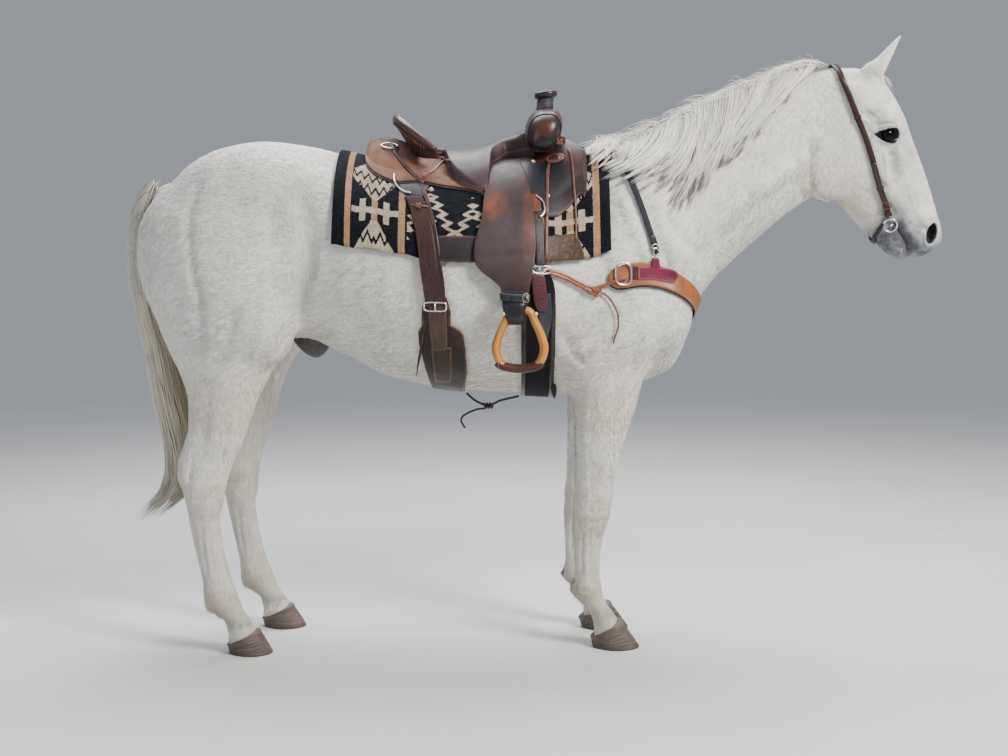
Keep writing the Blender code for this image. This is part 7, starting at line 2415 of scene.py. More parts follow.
def woven(look):
    """The blanket's geometric pattern: how far each place is cream, and how far tan."""
    flat = look.split(look.uv("Cloth"))
    shake = look.math("MULTIPLY", look.math("SUBTRACT", look.noise(190, 2), 0.5), 0.0045)
    x = Value(look, look.math("SNAP", look.math("ADD", flat["X"], shake), 0.0030))
    up = Value(look, look.math("SNAP", look.math("ADD", flat["Y"], shake), 0.0024))
    end = (x + 0.616).do("MINIMUM", 0.225 - x)
    up = up - (up - 0.365).do("MAXIMUM", 0.0) * 2
    tan = ((end > 0.034) & (end < 0.055)) | ((end > 0.197) & (end < 0.218))
    field = (end > 0.0555) & (end < 0.1965)
    u = abs(end - 0.126)
    foot = field & (up < 0.088) & (u - 0.060 < up * -0.60)
    foot = foot & (abs(up - 0.034 - saw(u + 0.0065, 0.026) * 0.015) > 0.0080)
    stem = field & (up > 0.086) & (up < 0.150) & (u < 0.0095)
    cross = (abs(u - 0.036) < 0.0095) & (abs(up - 0.116) < 0.036) | (abs(up - 0.116) < 0.0095)
    bloom = (up > 0.143) & (up < 0.330) & (u < (up - 0.143) * 0.80) & (
        u - 0.074 < (up - 0.265).do("MAXIMUM", 0.0) * -0.9
    )
    for rise in (0.180, 0.226):
        bloom = bloom & (abs(up - rise - u * 0.45 - saw(u, 0.024) * 0.015) > 0.0072)
    cream = foot | (field & (cross | bloom))
    tan = tan | (stem & (abs(up - 0.116) > 0.0095))
    v = abs((end - 0.143) % 0.150 - 0.075)
    bolt = (up - 0.040 - v * 2.0 - saw(up, 0.029) * 0.027) % 0.205
    middle = (end > 0.224) & (up > 0.030) & ((bolt < 0.040) | (abs(v - 0.068) + abs(up - 0.115) < 0.013))
    return (cream | middle).socket, tan.socket


def blanket():
    wave = lambda x: table(HEM)(x) + 0.0022 * np.sin(x * 61 + 0.6) + 0.0012 * np.sin(x * 143)
    start, end = always(HEM[0][0]), always(HEM[-1][0])
    cell, edge = 0.0072, 0.006
    inner, outer, rim, up = over_back(start, end, wave, level(0.0066), level(0.0142), cell, edge)
    p = outer.reshape(-1, 3)
    way = unit(p - inner.reshape(-1, 3))
    free = np.clip(1 - up.ravel() / 0.05, 0, 1) * np.clip((-0.40 - p[:, 0]) / 0.05, 0, 1)
    lift = 0.0006 * wander(p, (90, 60, 60), 60) + 0.0045 * free * np.clip(
        wander(p, (16, 3, 3), 61) + 0.3, 0, 1
    )
    outer = (p + way * (lift * rounded(rim, edge).ravel())[:, None]).reshape(outer.shape)
    points, faces = shell_of(inner, outer)
    mesh = mesh_of("saddle_blanket", points, faces)
    lay_uv(mesh, "Cloth", np.column_stack([points[:, 0], np.concatenate([up.ravel()] * 2)]))

    look = Look("wool", 0.95, Sheen_Weight=0.03, Sheen_Roughness=0.5, Specular_IOR_Level=0.08)
    uv = look.uv("Cloth")
    cream, tan = woven(look)
    age = look.noise(19, 4)
    pale = look.mix(look.span(age, 0.35, 0.75), tuple(CREAM), tuple(CREAM * [0.70, 0.66, 0.62]))
    sand = look.mix(look.span(age, 0.35, 0.75), tuple(TAN_YARN), tuple(TAN_YARN * 0.75))
    dark = look.mix(look.span(look.noise(60, 3), 0.4, 0.8), tuple(BLACK), (0.014, 0.018, 0.026))
    col = look.mix(tan, look.mix(cream, dark, pale), sand)
    knob = look.cells((290, 360, 1), uv)
    weft = look.math("SINE", look.math("MULTIPLY", look.split(uv)["X"], 1600.0))
    fuzz = look.noise(900, 3)
    col = look.mix(look.span(knob, 0.25, 0.85, 0, 0.55), col, (0.28, 0.27, 0.27), "MULTIPLY")
    look.colour(look.mix(look.span(fuzz, 0.55, 0.8, 0, 0.4), col, (1.5, 1.45, 1.4), "MULTIPLY"))
    rise = look.math("ADD", look.math("MULTIPLY", weft, 0.30), look.math("MULTIPLY", fuzz, 0.8))
    look.bump(look.math("SUBTRACT", rise, look.math("MULTIPLY", knob, 1.2)), 0.0022, 0.85)
    ob = piece("saddle_blanket", mesh, look, replaces="blanket")

    # leather let into the hem where the straps rub
    plain = tinted(SOOT * 1.6, (-0.24, 1.28, 0.05, 0.03, PLUM * 0.9, 0.6))
    dark = leather("wear_leather", 0.46, 0.08, edge=(0.20, 0.085, 0.035))
    rows = [
        (-0.318, 1.304, -0.14, 1.304), (-0.318, 1.262, -0.14, 1.262), (-0.318, 1.236, -0.14, 1.232),
        (-0.318, 1.229, -0.14, 1.224)
    ]
    panel("wear_rear", rows, dark, plain, 0.0142, 0.0168, slot="dark_leather")
    carved = leather("carved_leather", 0.55, 0.05, edge=(0.10, 0.045, 0.02), nap=0.3, worn=0.8)
    mottled = lambda p: np.where(
        (wander(p, (170, 60, 210), 68) > 0.1)[:, None], np.array([0.105, 0.050, 0.018]),
        np.array([0.045, 0.024, 0.011])
    ) * (1 + 0.3 * wander(p, 210, 69))[:, None]
    rows = [
        (0.026, 1.303, 0.120, 1.312), (0.026, 1.262, 0.135, 1.270), (0.026, 1.236, 0.143, 1.243),
        (0.026, 1.226, 0.143, 1.234)
    ]
    panel("wear_front", rows, carved, mottled, 0.0142, 0.0165, slot="tan_leather", step=0.004)


# ---------------------------------------------------------------- the saddle


def draped(name, start, end, hem, low, high, look, colour, node=None, step=0.006):
    inner, outer, rim, _ = over_back(start, end, hem, low, high, step)
    mesh = hide_of(name, (inner, outer), rim, outer[..., 0], colour)
    return piece(name, mesh, look, replaces=node or ())


def skirts():
    """The rear jockeys, rough side out, and the polished fork skirts, each over a black lining."""
    rear = [
        (-0.5405, 1.590), (-0.538, 1.560), (-0.528, 1.532), (-0.508, 1.507), (-0.477, 1.488),
        (-0.42, 1.470), (-0.366, 1.474), (-0.321, 1.465), (-0.277, 1.456), (-0.226, 1.450), (-0.165, 1.435)
    ]
    front = [
        (-0.18, 1.437), (-0.12, 1.41), (-0.06, 1.388), (-0.01, 1.376), (0.030, 1.369), (0.055, 1.370),
        (0.085, 1.390), (0.106, 1.412), (0.128, 1.440), (0.145, 1.485), (0.154, 1.530), (0.158, 1.565)
    ]
    top = table(
        [
            (-0.545, 0.085), (-0.50, 0.089), (-0.44, 0.082), (-0.36, 0.064), (-0.30, 0.052), (0.0, 0.042),
            (0.10, 0.060), (0.16, 0.046)
        ]
    )

    def swollen(edge):
        return lambda x, s, a: edge + (top(x) - edge) * np.clip(1 - s / 0.75, 0, 1) ** 1.2

    notch = lambda s: -0.5405 + 0.075 * np.exp(-((s / 0.13) ** 2))
    brow = lambda s: 0.158 - 0.050 * np.exp(-((s / 0.20) ** 2))
    rough = leather("rough_out", 0.72, 0.0, edge=(0.10, 0.045, 0.03), nap=0.8, worn=0.5)
    black = plain_leather("lining", (0.012, 0.011, 0.013), 0.6)
    bare = tinted(
        ROUGH_OUT, (-0.47, 1.56, 0.07, 0.05, ROUGH_OUT * 1.12, 0.7),
        (-0.50, 1.51, 0.04, 0.03, ROUGH_OUT * 0.75, 0.5), (-0.33, 1.50, 0.05, 0.04, ROUGH_OUT * 0.85, 0.5),
        (-0.30, 1.545, 0.06, 0.02, ROUGH_OUT * 0.45, 0.8)
    )
    lower = lambda rows, d: table([(x, z - d) for x, z in rows])
    draped(
        "skirt_lining_rear", lambda s: notch(s) + 0.002, always(-0.165), lower(rear, 0.0055), level(0.0172),
        level(0.0188), black, tinted(BLACK), step=0.009
    )
    draped(
        "jockey_rear", notch, always(-0.168), table(rear), level(0.0189), swollen(0.0225), rough, bare,
        "saddle_skirts"
    )
    shine = leather("skirt_leather", 0.40, 0.10, edge=(0.16, 0.08, 0.06))
    # the fork skirts' colour: soot black with brown and plum bands, and a bluish patch that is a painted sky
    # reflection
    soot_with_sheen = tinted(
        SOOT * 1.5, (0.02, 1.50, 0.06, 0.05, np.array([0.018, 0.026, 0.040]), 0.9),
        (0.13, 1.52, 0.035, 0.09, UMBER, 0.9), (0.09, 1.40, 0.03, 0.03, PLUM, 0.7),
        (0.03, 1.548, 0.09, 0.017, RUSSET * 0.9, 1.0), (0.10, 1.60, 0.05, 0.03, UMBER * 1.1, 0.9)
    )
    draped(
        "skirt_lining_front", always(-0.170), lambda s: brow(s) - 0.002, lower(front, 0.004), level(0.0172),
        level(0.0188), black, tinted(BLACK), step=0.009
    )
    draped(
        "fork_skirt", always(-0.172), brow, table(front), level(0.0189), swollen(0.0225), shine, soot_with_sheen,
        "saddle_skirts"
    )


def seat():
    edge = [
        (-0.352, 1.562), (-0.320, 1.560), (-0.300, 1.553), (-0.2905, 1.536), (-0.285, 1.515),
        (-0.270, 1.485), (-0.250, 1.468), (-0.217, 1.450), (-0.175, 1.439), (-0.154, 1.440),
        (-0.147, 1.456), (-0.143, 1.482), (-0.139, 1.509), (-0.128, 1.517), (-0.10, 1.528), (-0.055, 1.543),
        (-0.020, 1.553), (0.004, 1.558)
    ]
    spine = [
        (-0.39, 1.590), (-0.34, 1.584), (-0.24, 1.578), (-0.19, 1.583), (-0.145, 1.596), (-0.10, 1.611),
        (-0.05, 1.626), (-0.02, 1.640), (0.005, 1.648)
    ]
    top = table(spine)
    broad = table([(-0.39, 5.0), (-0.30, 3.5), (-0.20, 1.7), (-0.10, 1.4), (-0.02, 1.4)])
    reach = table([(-0.39, 0.70), (-0.30, 0.74), (-0.22, 0.82), (-0.14, 0.72), (-0.08, 0.62), (0.01, 0.58)])

    def high(x, share, angle):
        rise = top(x) - around(x, np.zeros(len(x)))[:, 2]
        return 0.0275 + (rise - 0.0275) * (
            1 - np.clip(np.maximum(angle / reach(x), share**2.6), 0, 1) ** broad(x)
        )

    look = leather("seat_leather", 0.42, 0.08, edge=(0.18, 0.085, 0.055), stitch=None)
    tone_of = tinted(
        PLUM * 1.05, (-0.23, 1.50, 0.06, 0.04, np.array([0.115, 0.072, 0.088]), 0.8),
        (-0.12, 1.575, 0.08, 0.02, np.array([0.10, 0.085, 0.11]), 0.7),
        (-0.06, 1.60, 0.05, 0.03, UMBER, 0.7), (-0.28, 1.56, 0.04, 0.015, UMBER * 0.8, 0.8)
    )
    draped(
        "saddle_seat_hide", always(-0.352), always(0.004), table(edge), level(0.0228), high, look, tone_of,
        "saddle_seat", 0.0055
    )
    cantle(look)


def cantle(look):
    a = np.radians(np.linspace(-86, 86, 64))
    tall = np.cos(a) ** 0.75

    def at(s, thick):
        low = 1 - np.cos(a)
        x = -0.330 - 0.045 * np.cos(a) + 0.040 * low**3 - 0.066 * s * tall
        y = (0.150 + 0.016 * s) * np.sin(a)
        z = 1.530 + 0.030 * np.cos(a) + 0.010 * low**2 + s * (0.028 - 0.018 * low**2 + 0.082 * tall)
        width = (0.013 + 0.008 * s) * np.clip(np.cos(a) * 3.2, 0.12, 1)
        k = {-1: (0.8, 0.95, 0.4), 1: (-0.5, 1.0, -0.25)}[thick]
        return np.stack([x + width * k[0], y * k[1], z + width * k[2]], 1)

    s = np.concatenate([np.linspace(0, 0.9, 16), [0.95, 0.985, 1.0]])
    inner, outer = (np.array([at(v, k) for v in s]) for k in (-1, 1))
    rim = np.repeat((1 - s)[:, None] * 0.11, len(a), 1)
    run = np.broadcast_to(np.degrees(a)[None] * 0.003, rim.shape)
    mesh = hide_of(
        "cantle", (inner, outer), rim + 0.01, run,
        tinted(UMBER * 0.75, (-0.40, 1.61, 0.05, 0.04, RUSSET * 0.6, 0.7))
    )
    piece("cantle", mesh, look, replaces="saddle_seat")
    roll = (inner[-1] + outer[-1]) / 2 + [0.001, 0, 0.001]
    wide = 0.0120 * np.cos(a) ** 0.35 + 0.003
    bind = leather("binding", 0.34, 0.3, crease=None)
    points, faces = tube(roll, wide, 16)
    mesh = mesh_of("cantle_roll", points, faces)
    values(mesh, "Rim", np.full(len(points), 0.01))
    values(mesh, "Run", points[:, 1])
    paint(mesh, tinted(UMBER * 1.1, (-0.43, 1.67, 0.03, 0.02, RUSSET * 0.9, 0.8))(points))
    piece("cantle_roll", mesh, bind, replaces="saddle_seat")
    # lacing over the foot of the roll, on both faces
    lace = plain_leather("lacing", (0.26, 0.13, 0.08), 0.45)
    parts = []
    for k in range(2, 60, 1):
        b = a[0] + (a[-1] - a[0]) * (k + 0.2) / 62
        i = int(np.clip(np.searchsorted(a, b), 1, 62))
        along = unit(roll[i + 1 if i < 63 else i] - roll[i - 1])
        down = unit(outer[-4][i] - outer[-1][i])
        for face, back in ((outer, -1), (inner, 1)):
            out = unit(np.cross(along, down)) * back
            out = out * np.sign(out[0] * back + 1e-9)
            c = face[-2][i] + down * 0.0065 + out * 0.0018
            parts.append(
                tube(
                    np.array(
                        [
                            c - down * 0.005 - along * 0.0022, c + out * 0.0010,
                            c + down * 0.0048 + along * 0.0022
                        ]
                    ),
                    0.0013, 6
                )
            )
    piece("cantle_lacing", joined(*parts), lace, replaces="saddle_seat")


def fork():
    m = 64
    a = np.arange(m) * 2 * math.pi / m
    half = [
        (-0.1535, 0.004), (-0.1525, 0.012), (-0.150, 0.021), (-0.146, 0.030), (-0.140, 0.038),
        (-0.132, 0.0445), (-0.122, 0.0495), (-0.10, 0.0540), (-0.07, 0.0575), (-0.035, 0.0595),
        (0.0, 0.0600)
    ]
    at = pchip(half, np.concatenate([np.linspace(-0.1535, -0.118, 16), np.linspace(-0.112, 0.0, 16)]))
    ys = np.concatenate([np.linspace(-0.1535, -0.118, 16), np.linspace(-0.112, 0.0, 16)])
    rows = list(zip(ys, at[:, 0]))
    rows += [(-y, r) for y, r in rows[-2::-1]]

    def ring(y, r):
        lift = 0.026 * (1 - (y / 0.15) ** 2)
        c, s = [np.sign(v) * np.abs(v) ** 0.80 for v in (np.cos(a), np.sin(a))]
        x = 0.024 + 0.97 * r * c + 0.17 * r * s
        return np.stack([x, np.full(m, y), 1.611 + lift + 1.12 * r * s], 1)

    points, faces = lofted([ring(y, r) for y, r in rows])
    mesh = mesh_of("fork", points, faces)
    values(mesh, "Rim", np.full(len(points), 0.02))
    values(mesh, "Run", points[:, 0])
    cheek = np.clip((np.abs(points[:, 1]) - 0.114) / 0.004, 0, 1)[:, None]
    dark = tinted(
        SOOT * 1.4, (0.025, 1.635, 0.035, 0.030, RUSSET * 0.75, 0.85), (0.0, 1.60, 0.02, 0.03, UMBER, 0.7),
        (0.02, 1.585, 0.05, 0.018, SOOT * 0.6, 0.9)
    )(points)
    light = tinted(UMBER * 1.25, (0.08, 1.63, 0.02, 0.05, RUSSET * 0.9, 0.8))(points)
    paint(mesh, light + (dark - light) * cheek)
    look = leather("fork_leather", 0.34, 0.22, crease=None)
    piece("fork", mesh, look, replaces="saddle_fork")
    welt = plain_leather("welt", (0.030, 0.018, 0.016), 0.4)
    parts = [tube(ring(side * 0.118, 0.0512), 0.0026, 10, closed=True) for side in (-1, 1)]
    # the welt round each side face and a knotted lace on each side
    piece("fork_welt", joined(*parts), welt)
    thong = plain_leather("thong", (0.16, 0.062, 0.036), 0.42)
    knots = []
    for side in (-1, 1):
        c = np.array([0.0755, side * 0.128, 1.597])
        t = np.linspace(0, 2 * math.pi, 30)[:-1]
        for tilt, w, h in ((0.5, 0.015, 0.0085), (-0.6, 0.014, 0.008), (1.5, 0.011, 0.007)):
            u = np.stack(
                [
                    w * np.cos(t) * math.cos(tilt) - h * np.sin(t) * math.sin(tilt),
                    side * 0.0030 * np.sin(2 * t + tilt) + side * 0.003,
                    w * np.cos(t) * math.sin(tilt) + h * np.sin(t) * math.cos(tilt)
                ],
                1
            )
            knots.append(tube(c + u, 0.0027, 8, closed=True))
        knots.append(dome(c + [0, side * 0.002, 0], [0.2, side, 0.1], 0.0075, 0.005))
    piece("fork_knot", joined(*knots), thong)


def horn():
    m = 48
    a = np.arange(m) * 2 * math.pi / m

    def ring(x, z, r):
        return np.stack([x + r * np.cos(a), r * np.sin(a), z + 0.10 * r * np.cos(a)], 1)

    rows = [
        (0.027, 1.668, 0.0275), (0.027, 1.690, 0.0270), (0.028, 1.706, 0.0258), (0.029, 1.720, 0.0244),
        (0.031, 1.736, 0.0250)
    ]
    black = Look("wrap", 0.55, Coat_Weight=0.15)
    weave = black.noise((900, 900, 320), 2)
    black.colour(black.mix(black.span(weave, 0.35, 0.7), (0.010, 0.011, 0.015), (0.045, 0.047, 0.058)))
    black.bump(weave, 0.0006, 0.6)
    t = np.linspace(0, 1, 420)
    turn = t * 2 * math.pi * 5.5
    z = 1.698 + t * 0.035
    at = pchip([(z, x, r) for x, z, r in rows], z)
    path = np.stack(
        [
            at[:, 0] + at[:, 1] * np.cos(turn), at[:, 1] * np.sin(turn),
            z + 0.35 * at[:, 1] * np.cos(turn + 0.8)
        ],
        1
    )
    out = np.stack([np.cos(turn), np.sin(turn), np.full(len(t), 0.12)], 1)
    piece(
        "horn_wrap", joined(lofted([ring(*r) for r in rows]), ribbon(path, unit(out), 0.0105, 0.0034)),
        black, replaces="saddle_horn"
    )
    cap = [
        (0.030, 1.7345, 0.024), (0.031, 1.7385, 0.0325), (0.032, 1.7425, 0.0352), (0.032, 1.7480, 0.0362),
        (0.032, 1.7530, 0.0356), (0.032, 1.7570, 0.0330), (0.032, 1.7590, 0.0270), (0.032, 1.7600, 0.0150)
    ]
    points, faces = lofted([ring(*r) for r in cap])
    mesh = mesh_of("horn_cap", points, faces)
    values(mesh, "Rim", np.hypot(points[:, 0] - 0.032, points[:, 1]) * -1 + 0.045)
    values(mesh, "Run", np.arctan2(points[:, 1], points[:, 0] - 0.032) * 0.036)
    side = np.clip((1.7572 - points[:, 2]) / 0.003, 0, 1)[:, None]
    paint(mesh, UMBER * 0.40 * (1 - side) + SOOT * 0.9 * side)
    piece(
        "horn_cap", mesh, leather("horn_leather", 0.40, 0.25, crease=None), replaces="saddle_horn",
    )


def fenders():
    """The fenders, and the rolled edge of the slot that the leathers come through."""
    rows = [
        (-0.1455, 1.5015, -0.0500, 1.5365), (-0.150, 1.480, -0.034, 1.500), (-0.156, 1.453, -0.023, 1.462),
        (-0.162, 1.410, -0.015, 1.412), (-0.166, 1.365, -0.009, 1.365), (-0.176, 1.325, -0.006, 1.325),
        (-0.187, 1.285, -0.004, 1.285), (-0.190, 1.250, -0.006, 1.250), (-0.184, 1.222, -0.009, 1.222),
        (-0.168, 1.200, -0.013, 1.200), (-0.130, 1.170, -0.019, 1.170), (-0.109, 1.146, -0.024, 1.146),
        (-0.107, 1.132, -0.026, 1.132),
    ]
    z = np.array([(r[1] + r[3]) / 2 for r in rows])
    away = np.clip((1.25 - z) / 0.11, 0, 1) * 0.010 + np.clip((z - 1.40) / 0.12, 0, 1) ** 1.5 * 0.006
    rows = [(*r, 0.0245 + d, 0.0292 + d) for r, d in zip(rows, away)]
    worn = np.array([0.440, 0.112, 0.032])
    colour = tinted(
        PLUM, (-0.130, 1.395, 0.030, 0.040, worn, 1.0), (-0.028, 1.40, 0.012, 0.06, RUSSET * 0.9, 0.7),
        (-0.026, 1.31, 0.018, 0.085, RUSSET, 0.85), (-0.062, 1.34, 0.016, 0.10, SOOT * 1.6, 0.75),
        (-0.080, 1.47, 0.05, 0.05, np.array([0.075, 0.034, 0.030]), 0.8),
        (-0.055, 1.20, 0.04, 0.06, np.array([0.085, 0.032, 0.024]), 0.8),
        (-0.15, 1.28, 0.04, 0.05, np.array([0.088, 0.058, 0.072]), 0.8),
        (-0.105, 1.36, 0.03, 0.08, np.array([0.10, 0.070, 0.090]), 0.5),
    )
    panel(
        "fender_hide", rows, leather("fender_leather", 0.46, 0.06, edge=(0.13, 0.060, 0.045)), colour,
        node="fender", slot="dark_leather", step=0.0055
    )
    # rolled edge of the slot the leathers come through
    lip = plain_leather("lip", (0.060, 0.034, 0.030), 0.35)
    x, z = fine_line(
        [
            (-0.151, 1.494), (-0.150, 1.506), (-0.140, 1.5125), (-0.10, 1.5255), (-0.055, 1.5405),
            (-0.040, 1.549)
        ],
        0.005
    ).T
    base = beside(x, z, 0.0295)
    pair("slot_lip", tube(base + BODY.slope(base, 0.006)[1] * 0.0295, 0.0021, 8), lip, slot="dark_leather")


def oval(x0, x1, y, deep, z):
    """A level ring with flattened sides, from x0 to x1 and deep across y."""
    c, s = squared(28, 2 / 3.4)
    return np.stack([(x0 + x1) / 2 + c * (x1 - x0) / 2, y + s * deep / 2, np.full(len(c), z)], 1)


def stirrups():
    """The stirrups' wood and treads, and the ends of the leathers hobbled round their top bars."""
    out = -0.358
    right = [
        (-0.0525, 1.086, 0.0115), (-0.034, 1.085, 0.0115), (-0.020, 1.077, 0.0115), (-0.008, 1.050, 0.0120),
        (0.010, 1.010, 0.0125), (0.019, 0.972, 0.0130), (0.010, 0.937, 0.0125), (-0.012, 0.917, 0.0115)
    ]
    left = [(-0.105 - x, z, r) for x, z, r in right[::-1]]
    loop = np.array(right + [(-0.0525, 0.911, 0.0115)] + left[:-1])
    n = len(loop)
    wrapped = np.concatenate([loop[-3:], loop, loop[:4]])
    at = pchip(np.column_stack([np.arange(-3, n + 4), wrapped]), np.linspace(0, n, 120, endpoint=False))
    path = np.stack([at[:, 0], np.full(len(at), out), at[:, 1]], 1)
    points, faces = tube(path, at[:, 2], 20, closed=True, flat=1.75)
    wood = Look("wood", 0.38, Coat_Weight=0.25, Coat_Roughness=0.16, Specular_IOR_Level=0.3)
    run, turn = wood.attribute("Run").outputs["Fac"], wood.attribute("Turn").outputs["Fac"]
    place = wood.node("CombineXYZ", {"X": run, "Y": turn, "Z": wood.split(wood.here)["Y"]}).outputs["Vector"]
    grain, broad = wood.noise((26, 620, 420), 4, place), wood.noise((6, 90, 60), 3, place)
    col = wood.mix(wood.span(broad, 0.35, 0.65), (0.60, 0.270, 0.046), (0.42, 0.150, 0.022))
    col = wood.mix(wood.span(grain, 0.45, 0.75, 0, 0.7), col, (0.30, 0.095, 0.018))
    wood.colour(wood.mix(wood.span(wood.noise(55, 4), 0.6, 0.85, 0, 0.6), col, (0.20, 0.075, 0.025)))
    wood.roughness(wood.span(grain, 0.3, 0.7, 0.28, 0.5))
    wood.bump(wood.math("ADD", grain, wood.math("MULTIPLY", wood.noise(180, 3), 0.4)), 0.0006, 0.45)
    mesh = mesh_of("stirrup_wood_right", points, faces)
    values(mesh, "Run", np.repeat(np.linspace(0, 0.62, len(at)), 20))
    values(mesh, "Turn", np.tile(np.abs(np.arange(20) - 10) * 0.006, len(at)))
    pair("stirrup_wood", mesh, wood, "stirrup", "wood")
    # the tread's leather, laced below
    tread = fine_line(
        [
            (-0.1195, 0.9315), (-0.112, 0.9235), (-0.093, 0.917), (-0.0525, 0.9115), (-0.012, 0.917),
            (0.006, 0.9245), (0.0125, 0.930)
        ],
        0.004
    )
    line = np.stack([tread[:, 0], np.full(len(tread), out), tread[:, 1]], 1)
    points, faces = tube_in_plane(line, 0.0137, 1.66)
    rim = np.minimum(points[:, 0] + 0.1195, 0.0125 - points[:, 0]) + 0.0006
    brown = tinted(np.array([0.135, 0.050, 0.036]), (-0.09, 0.915, 0.02, 0.02, RUSSET, 0.6))
    mesh = dressed("tread_right", (points, faces), brown, rim, 0)
    pair("tread", mesh, leather("tread_leather", 0.5, 0.1, stitch=(0.30, 0.20, 0.12)), slot="dark_leather")
    steel = metal("bolt", (0.75, 0.75, 0.76), 0.16)
    bolts = [
        dome((-0.0525 + s * 0.0455, out - 0.016, 1.0745), (s * 0.75, -0.66, 0.2), 0.0062, 0.0085)
        for s in (-1, 1)
    ]
    bolts += [
        tube(
            np.array(
                [(-0.0525 + s * 0.047, out - 0.014, 1.0745), (-0.0525 + s * 0.047, out + 0.014, 1.0745)]
            ),
            0.0035, 12
        )
        for s in (-1, 1)
    ]
    pair("stirrup_bolt", joined(*bolts), steel, slot="steel")
    # the hobbled end of the leathers round the top bar
    rows = [
        (1.140, -0.108, -0.027, 0.016), (1.134, -0.108, -0.027, 0.020), (1.118, -0.107, -0.029, 0.034),
        (1.108, -0.1065, -0.0305, 0.048), (1.100, -0.106, -0.032, 0.056), (1.085, -0.1035, -0.0345, 0.060),
        (1.070, -0.100, -0.037, 0.059), (1.058, -0.097, -0.039, 0.054), (1.050, -0.094, -0.042, 0.044),
        (1.044, -0.090, -0.046, 0.030), (1.041, -0.086, -0.050, 0.016)
    ]
    fine = pchip([(-r[0], *r[1:]) for r in rows], np.linspace(-1.140, -1.041, 40))
    z = np.linspace(1.140, 1.041, 40)
    rings = [oval(f[0], f[1], out, f[2], b) for f, b in zip(fine, z)]
    points, faces = lofted(rings)
    rim = np.minimum(points[:, 0] + 0.108, -0.027 - points[:, 0]) + 0.006
    dark = tinted(
        SOOT * 1.25, (-0.06, 1.05, 0.05, 0.01, PLUM, 0.6), (-0.04, 1.048, 0.012, 0.012, RUSSET * 0.6, 0.7)
    )
    mesh = dressed("hobbled_leather_right", (points, faces), dark, rim, 2)
    pair(
        "hobbled_leather", mesh, leather("hobble_leather", 0.38, 0.25, crease=None), "stirrup_leather",
        "dark_leather"
    )
    band = plain_leather("hobble", (0.020, 0.020, 0.028), 0.36, 0.3)
    rings = []
    for z, grow in (
        (1.1335, 0.001), (1.133, 0.0042), (1.131, 0.0052), (1.122, 0.0054), (1.1135, 0.0052),
        (1.1115, 0.0042), (1.111, 0.001)
    ):
        f = pchip([(-r[0], *r[1:]) for r in rows], np.array([-z]))[0]
        rings.append(oval(f[0] - grow, f[1] + grow, out, f[2] + 2 * grow, z))
    rings = np.array(rings)
    rings[..., 2] += (rings[..., 0] + 0.067) * -0.06
    strap_end = ribbon(
        fine_line(
            [(-0.034, out - 0.020, 1.1225), (-0.052, out - 0.023, 1.121), (-0.078, out - 0.0235, 1.1215)]
        ),
        [0, -1.0, 0], 0.017, 0.003
    )
    pair("hobble_strap", joined(lofted(rings), strap_end), band, slot="dark_leather")
    c = np.array([-0.036, out - 0.024, 1.1215])
    across, up = squared(28, 0.6)
    frame_of = np.stack([c[0] + 0.0085 * across, c[1] + 0 * up, c[2] + 0.0125 * up], 1)
    pair(
        "hobble_buckle",
        joined(
            tube(frame_of, 0.0017, 8, closed=True), tube(np.array([c, c + [0.0085, -0.0012, 0]]), 0.0013, 8)
        ),
        metal("brass", (0.45, 0.33, 0.22), 0.3), slot="steel"
    )


def tube_in_plane(line, radius, flat):
    """A flattened tube whose line lies in the upright plane, wider across that plane."""
    sides = 20
    along = unit(np.gradient(line, axis=0))
    side = np.broadcast_to([0.0, 1.0, 0.0], line.shape)
    up = np.cross(along, side)
    a = np.arange(sides) * 2 * math.pi / sides
    taper = np.ones(len(line))
    taper[[0, -1]] = 0.90
    ring = side[:, None] * (np.cos(a) * flat)[None, :, None] + up[:, None] * np.sin(a)[None, :, None]
    return lofted(line[:, None] + ring * (radius * taper)[:, None, None])


# ---------------------------------------------------------------- tack: straps


def hole_marks(look, places, radius=0.0030):
    """The look with punched holes added at (x, z) places seen from the side: near-black discs of painted
    shade over a dent in the bump.
    """
    col = look.shader.inputs["Base Color"].links[0].from_socket
    flat = look.stretched((1, 0, 1))
    near = None
    for x, z in places:
        d = look.node("VectorMath", {0: flat, 1: (x, 0, z)}, operation="DISTANCE").outputs["Value"]
        near = d if near is None else look.math("MINIMUM", near, d)
    look.colour(
        look.mix(look.span(near, radius + 0.0005, radius - 0.0005, 0, 0.93), col, (0.004, 0.003, 0.003))
    )
    under = look.shader.inputs["Normal"].links[0].from_socket
    look.bump(look.span(near, radius - 0.0008, radius + 0.0012), 0.002, 0.6, under)
    return look


def belt(name, rows, low, high, look, colour, node, step=0.006):
    """A strap right round the girth: rows are the angle from straight up, its rear x and its front x."""
    rows = np.array(rows + [(360 - a, x0, x1) for a, x0, x1 in rows[-2::-1]], float)
    first, last, soon = rows[0, 0], rows[-1, 0], np.array([0.25, 0.8])
    even = np.linspace(first, last, 150)[1:-1]
    at = np.concatenate([[first], first + soon, even, last - soon[::-1], [last]])
    fine = pchip(rows, at)
    w = fine[:, 1] - fine[:, 0]
    s = shares_across(BEVEL / w[:, None], max(4, int(w.max() / step)))
    x = fine[:, :1] + w[:, None] * s
    a = np.repeat(np.radians(-at)[:, None], s.shape[1], 1)
    base = around(x.ravel(), a.ravel()).reshape(*x.shape, 3)
    run = run_of(base[:, s.shape[1] // 2])
    rim = rim_of(s, w, run)
    mesh = hide_of(name, layers(base, low, high, rim), rim, np.repeat(run[:, None], s.shape[1], 1), colour)
    return piece(name, mesh, look, replaces=node or ())


def strap_line(points, step=0.005):
    """A line on the body through these points, and its outward directions."""
    base = settle(fine_line(points, step))
    return base, BODY.slope(base, 0.006)[1]


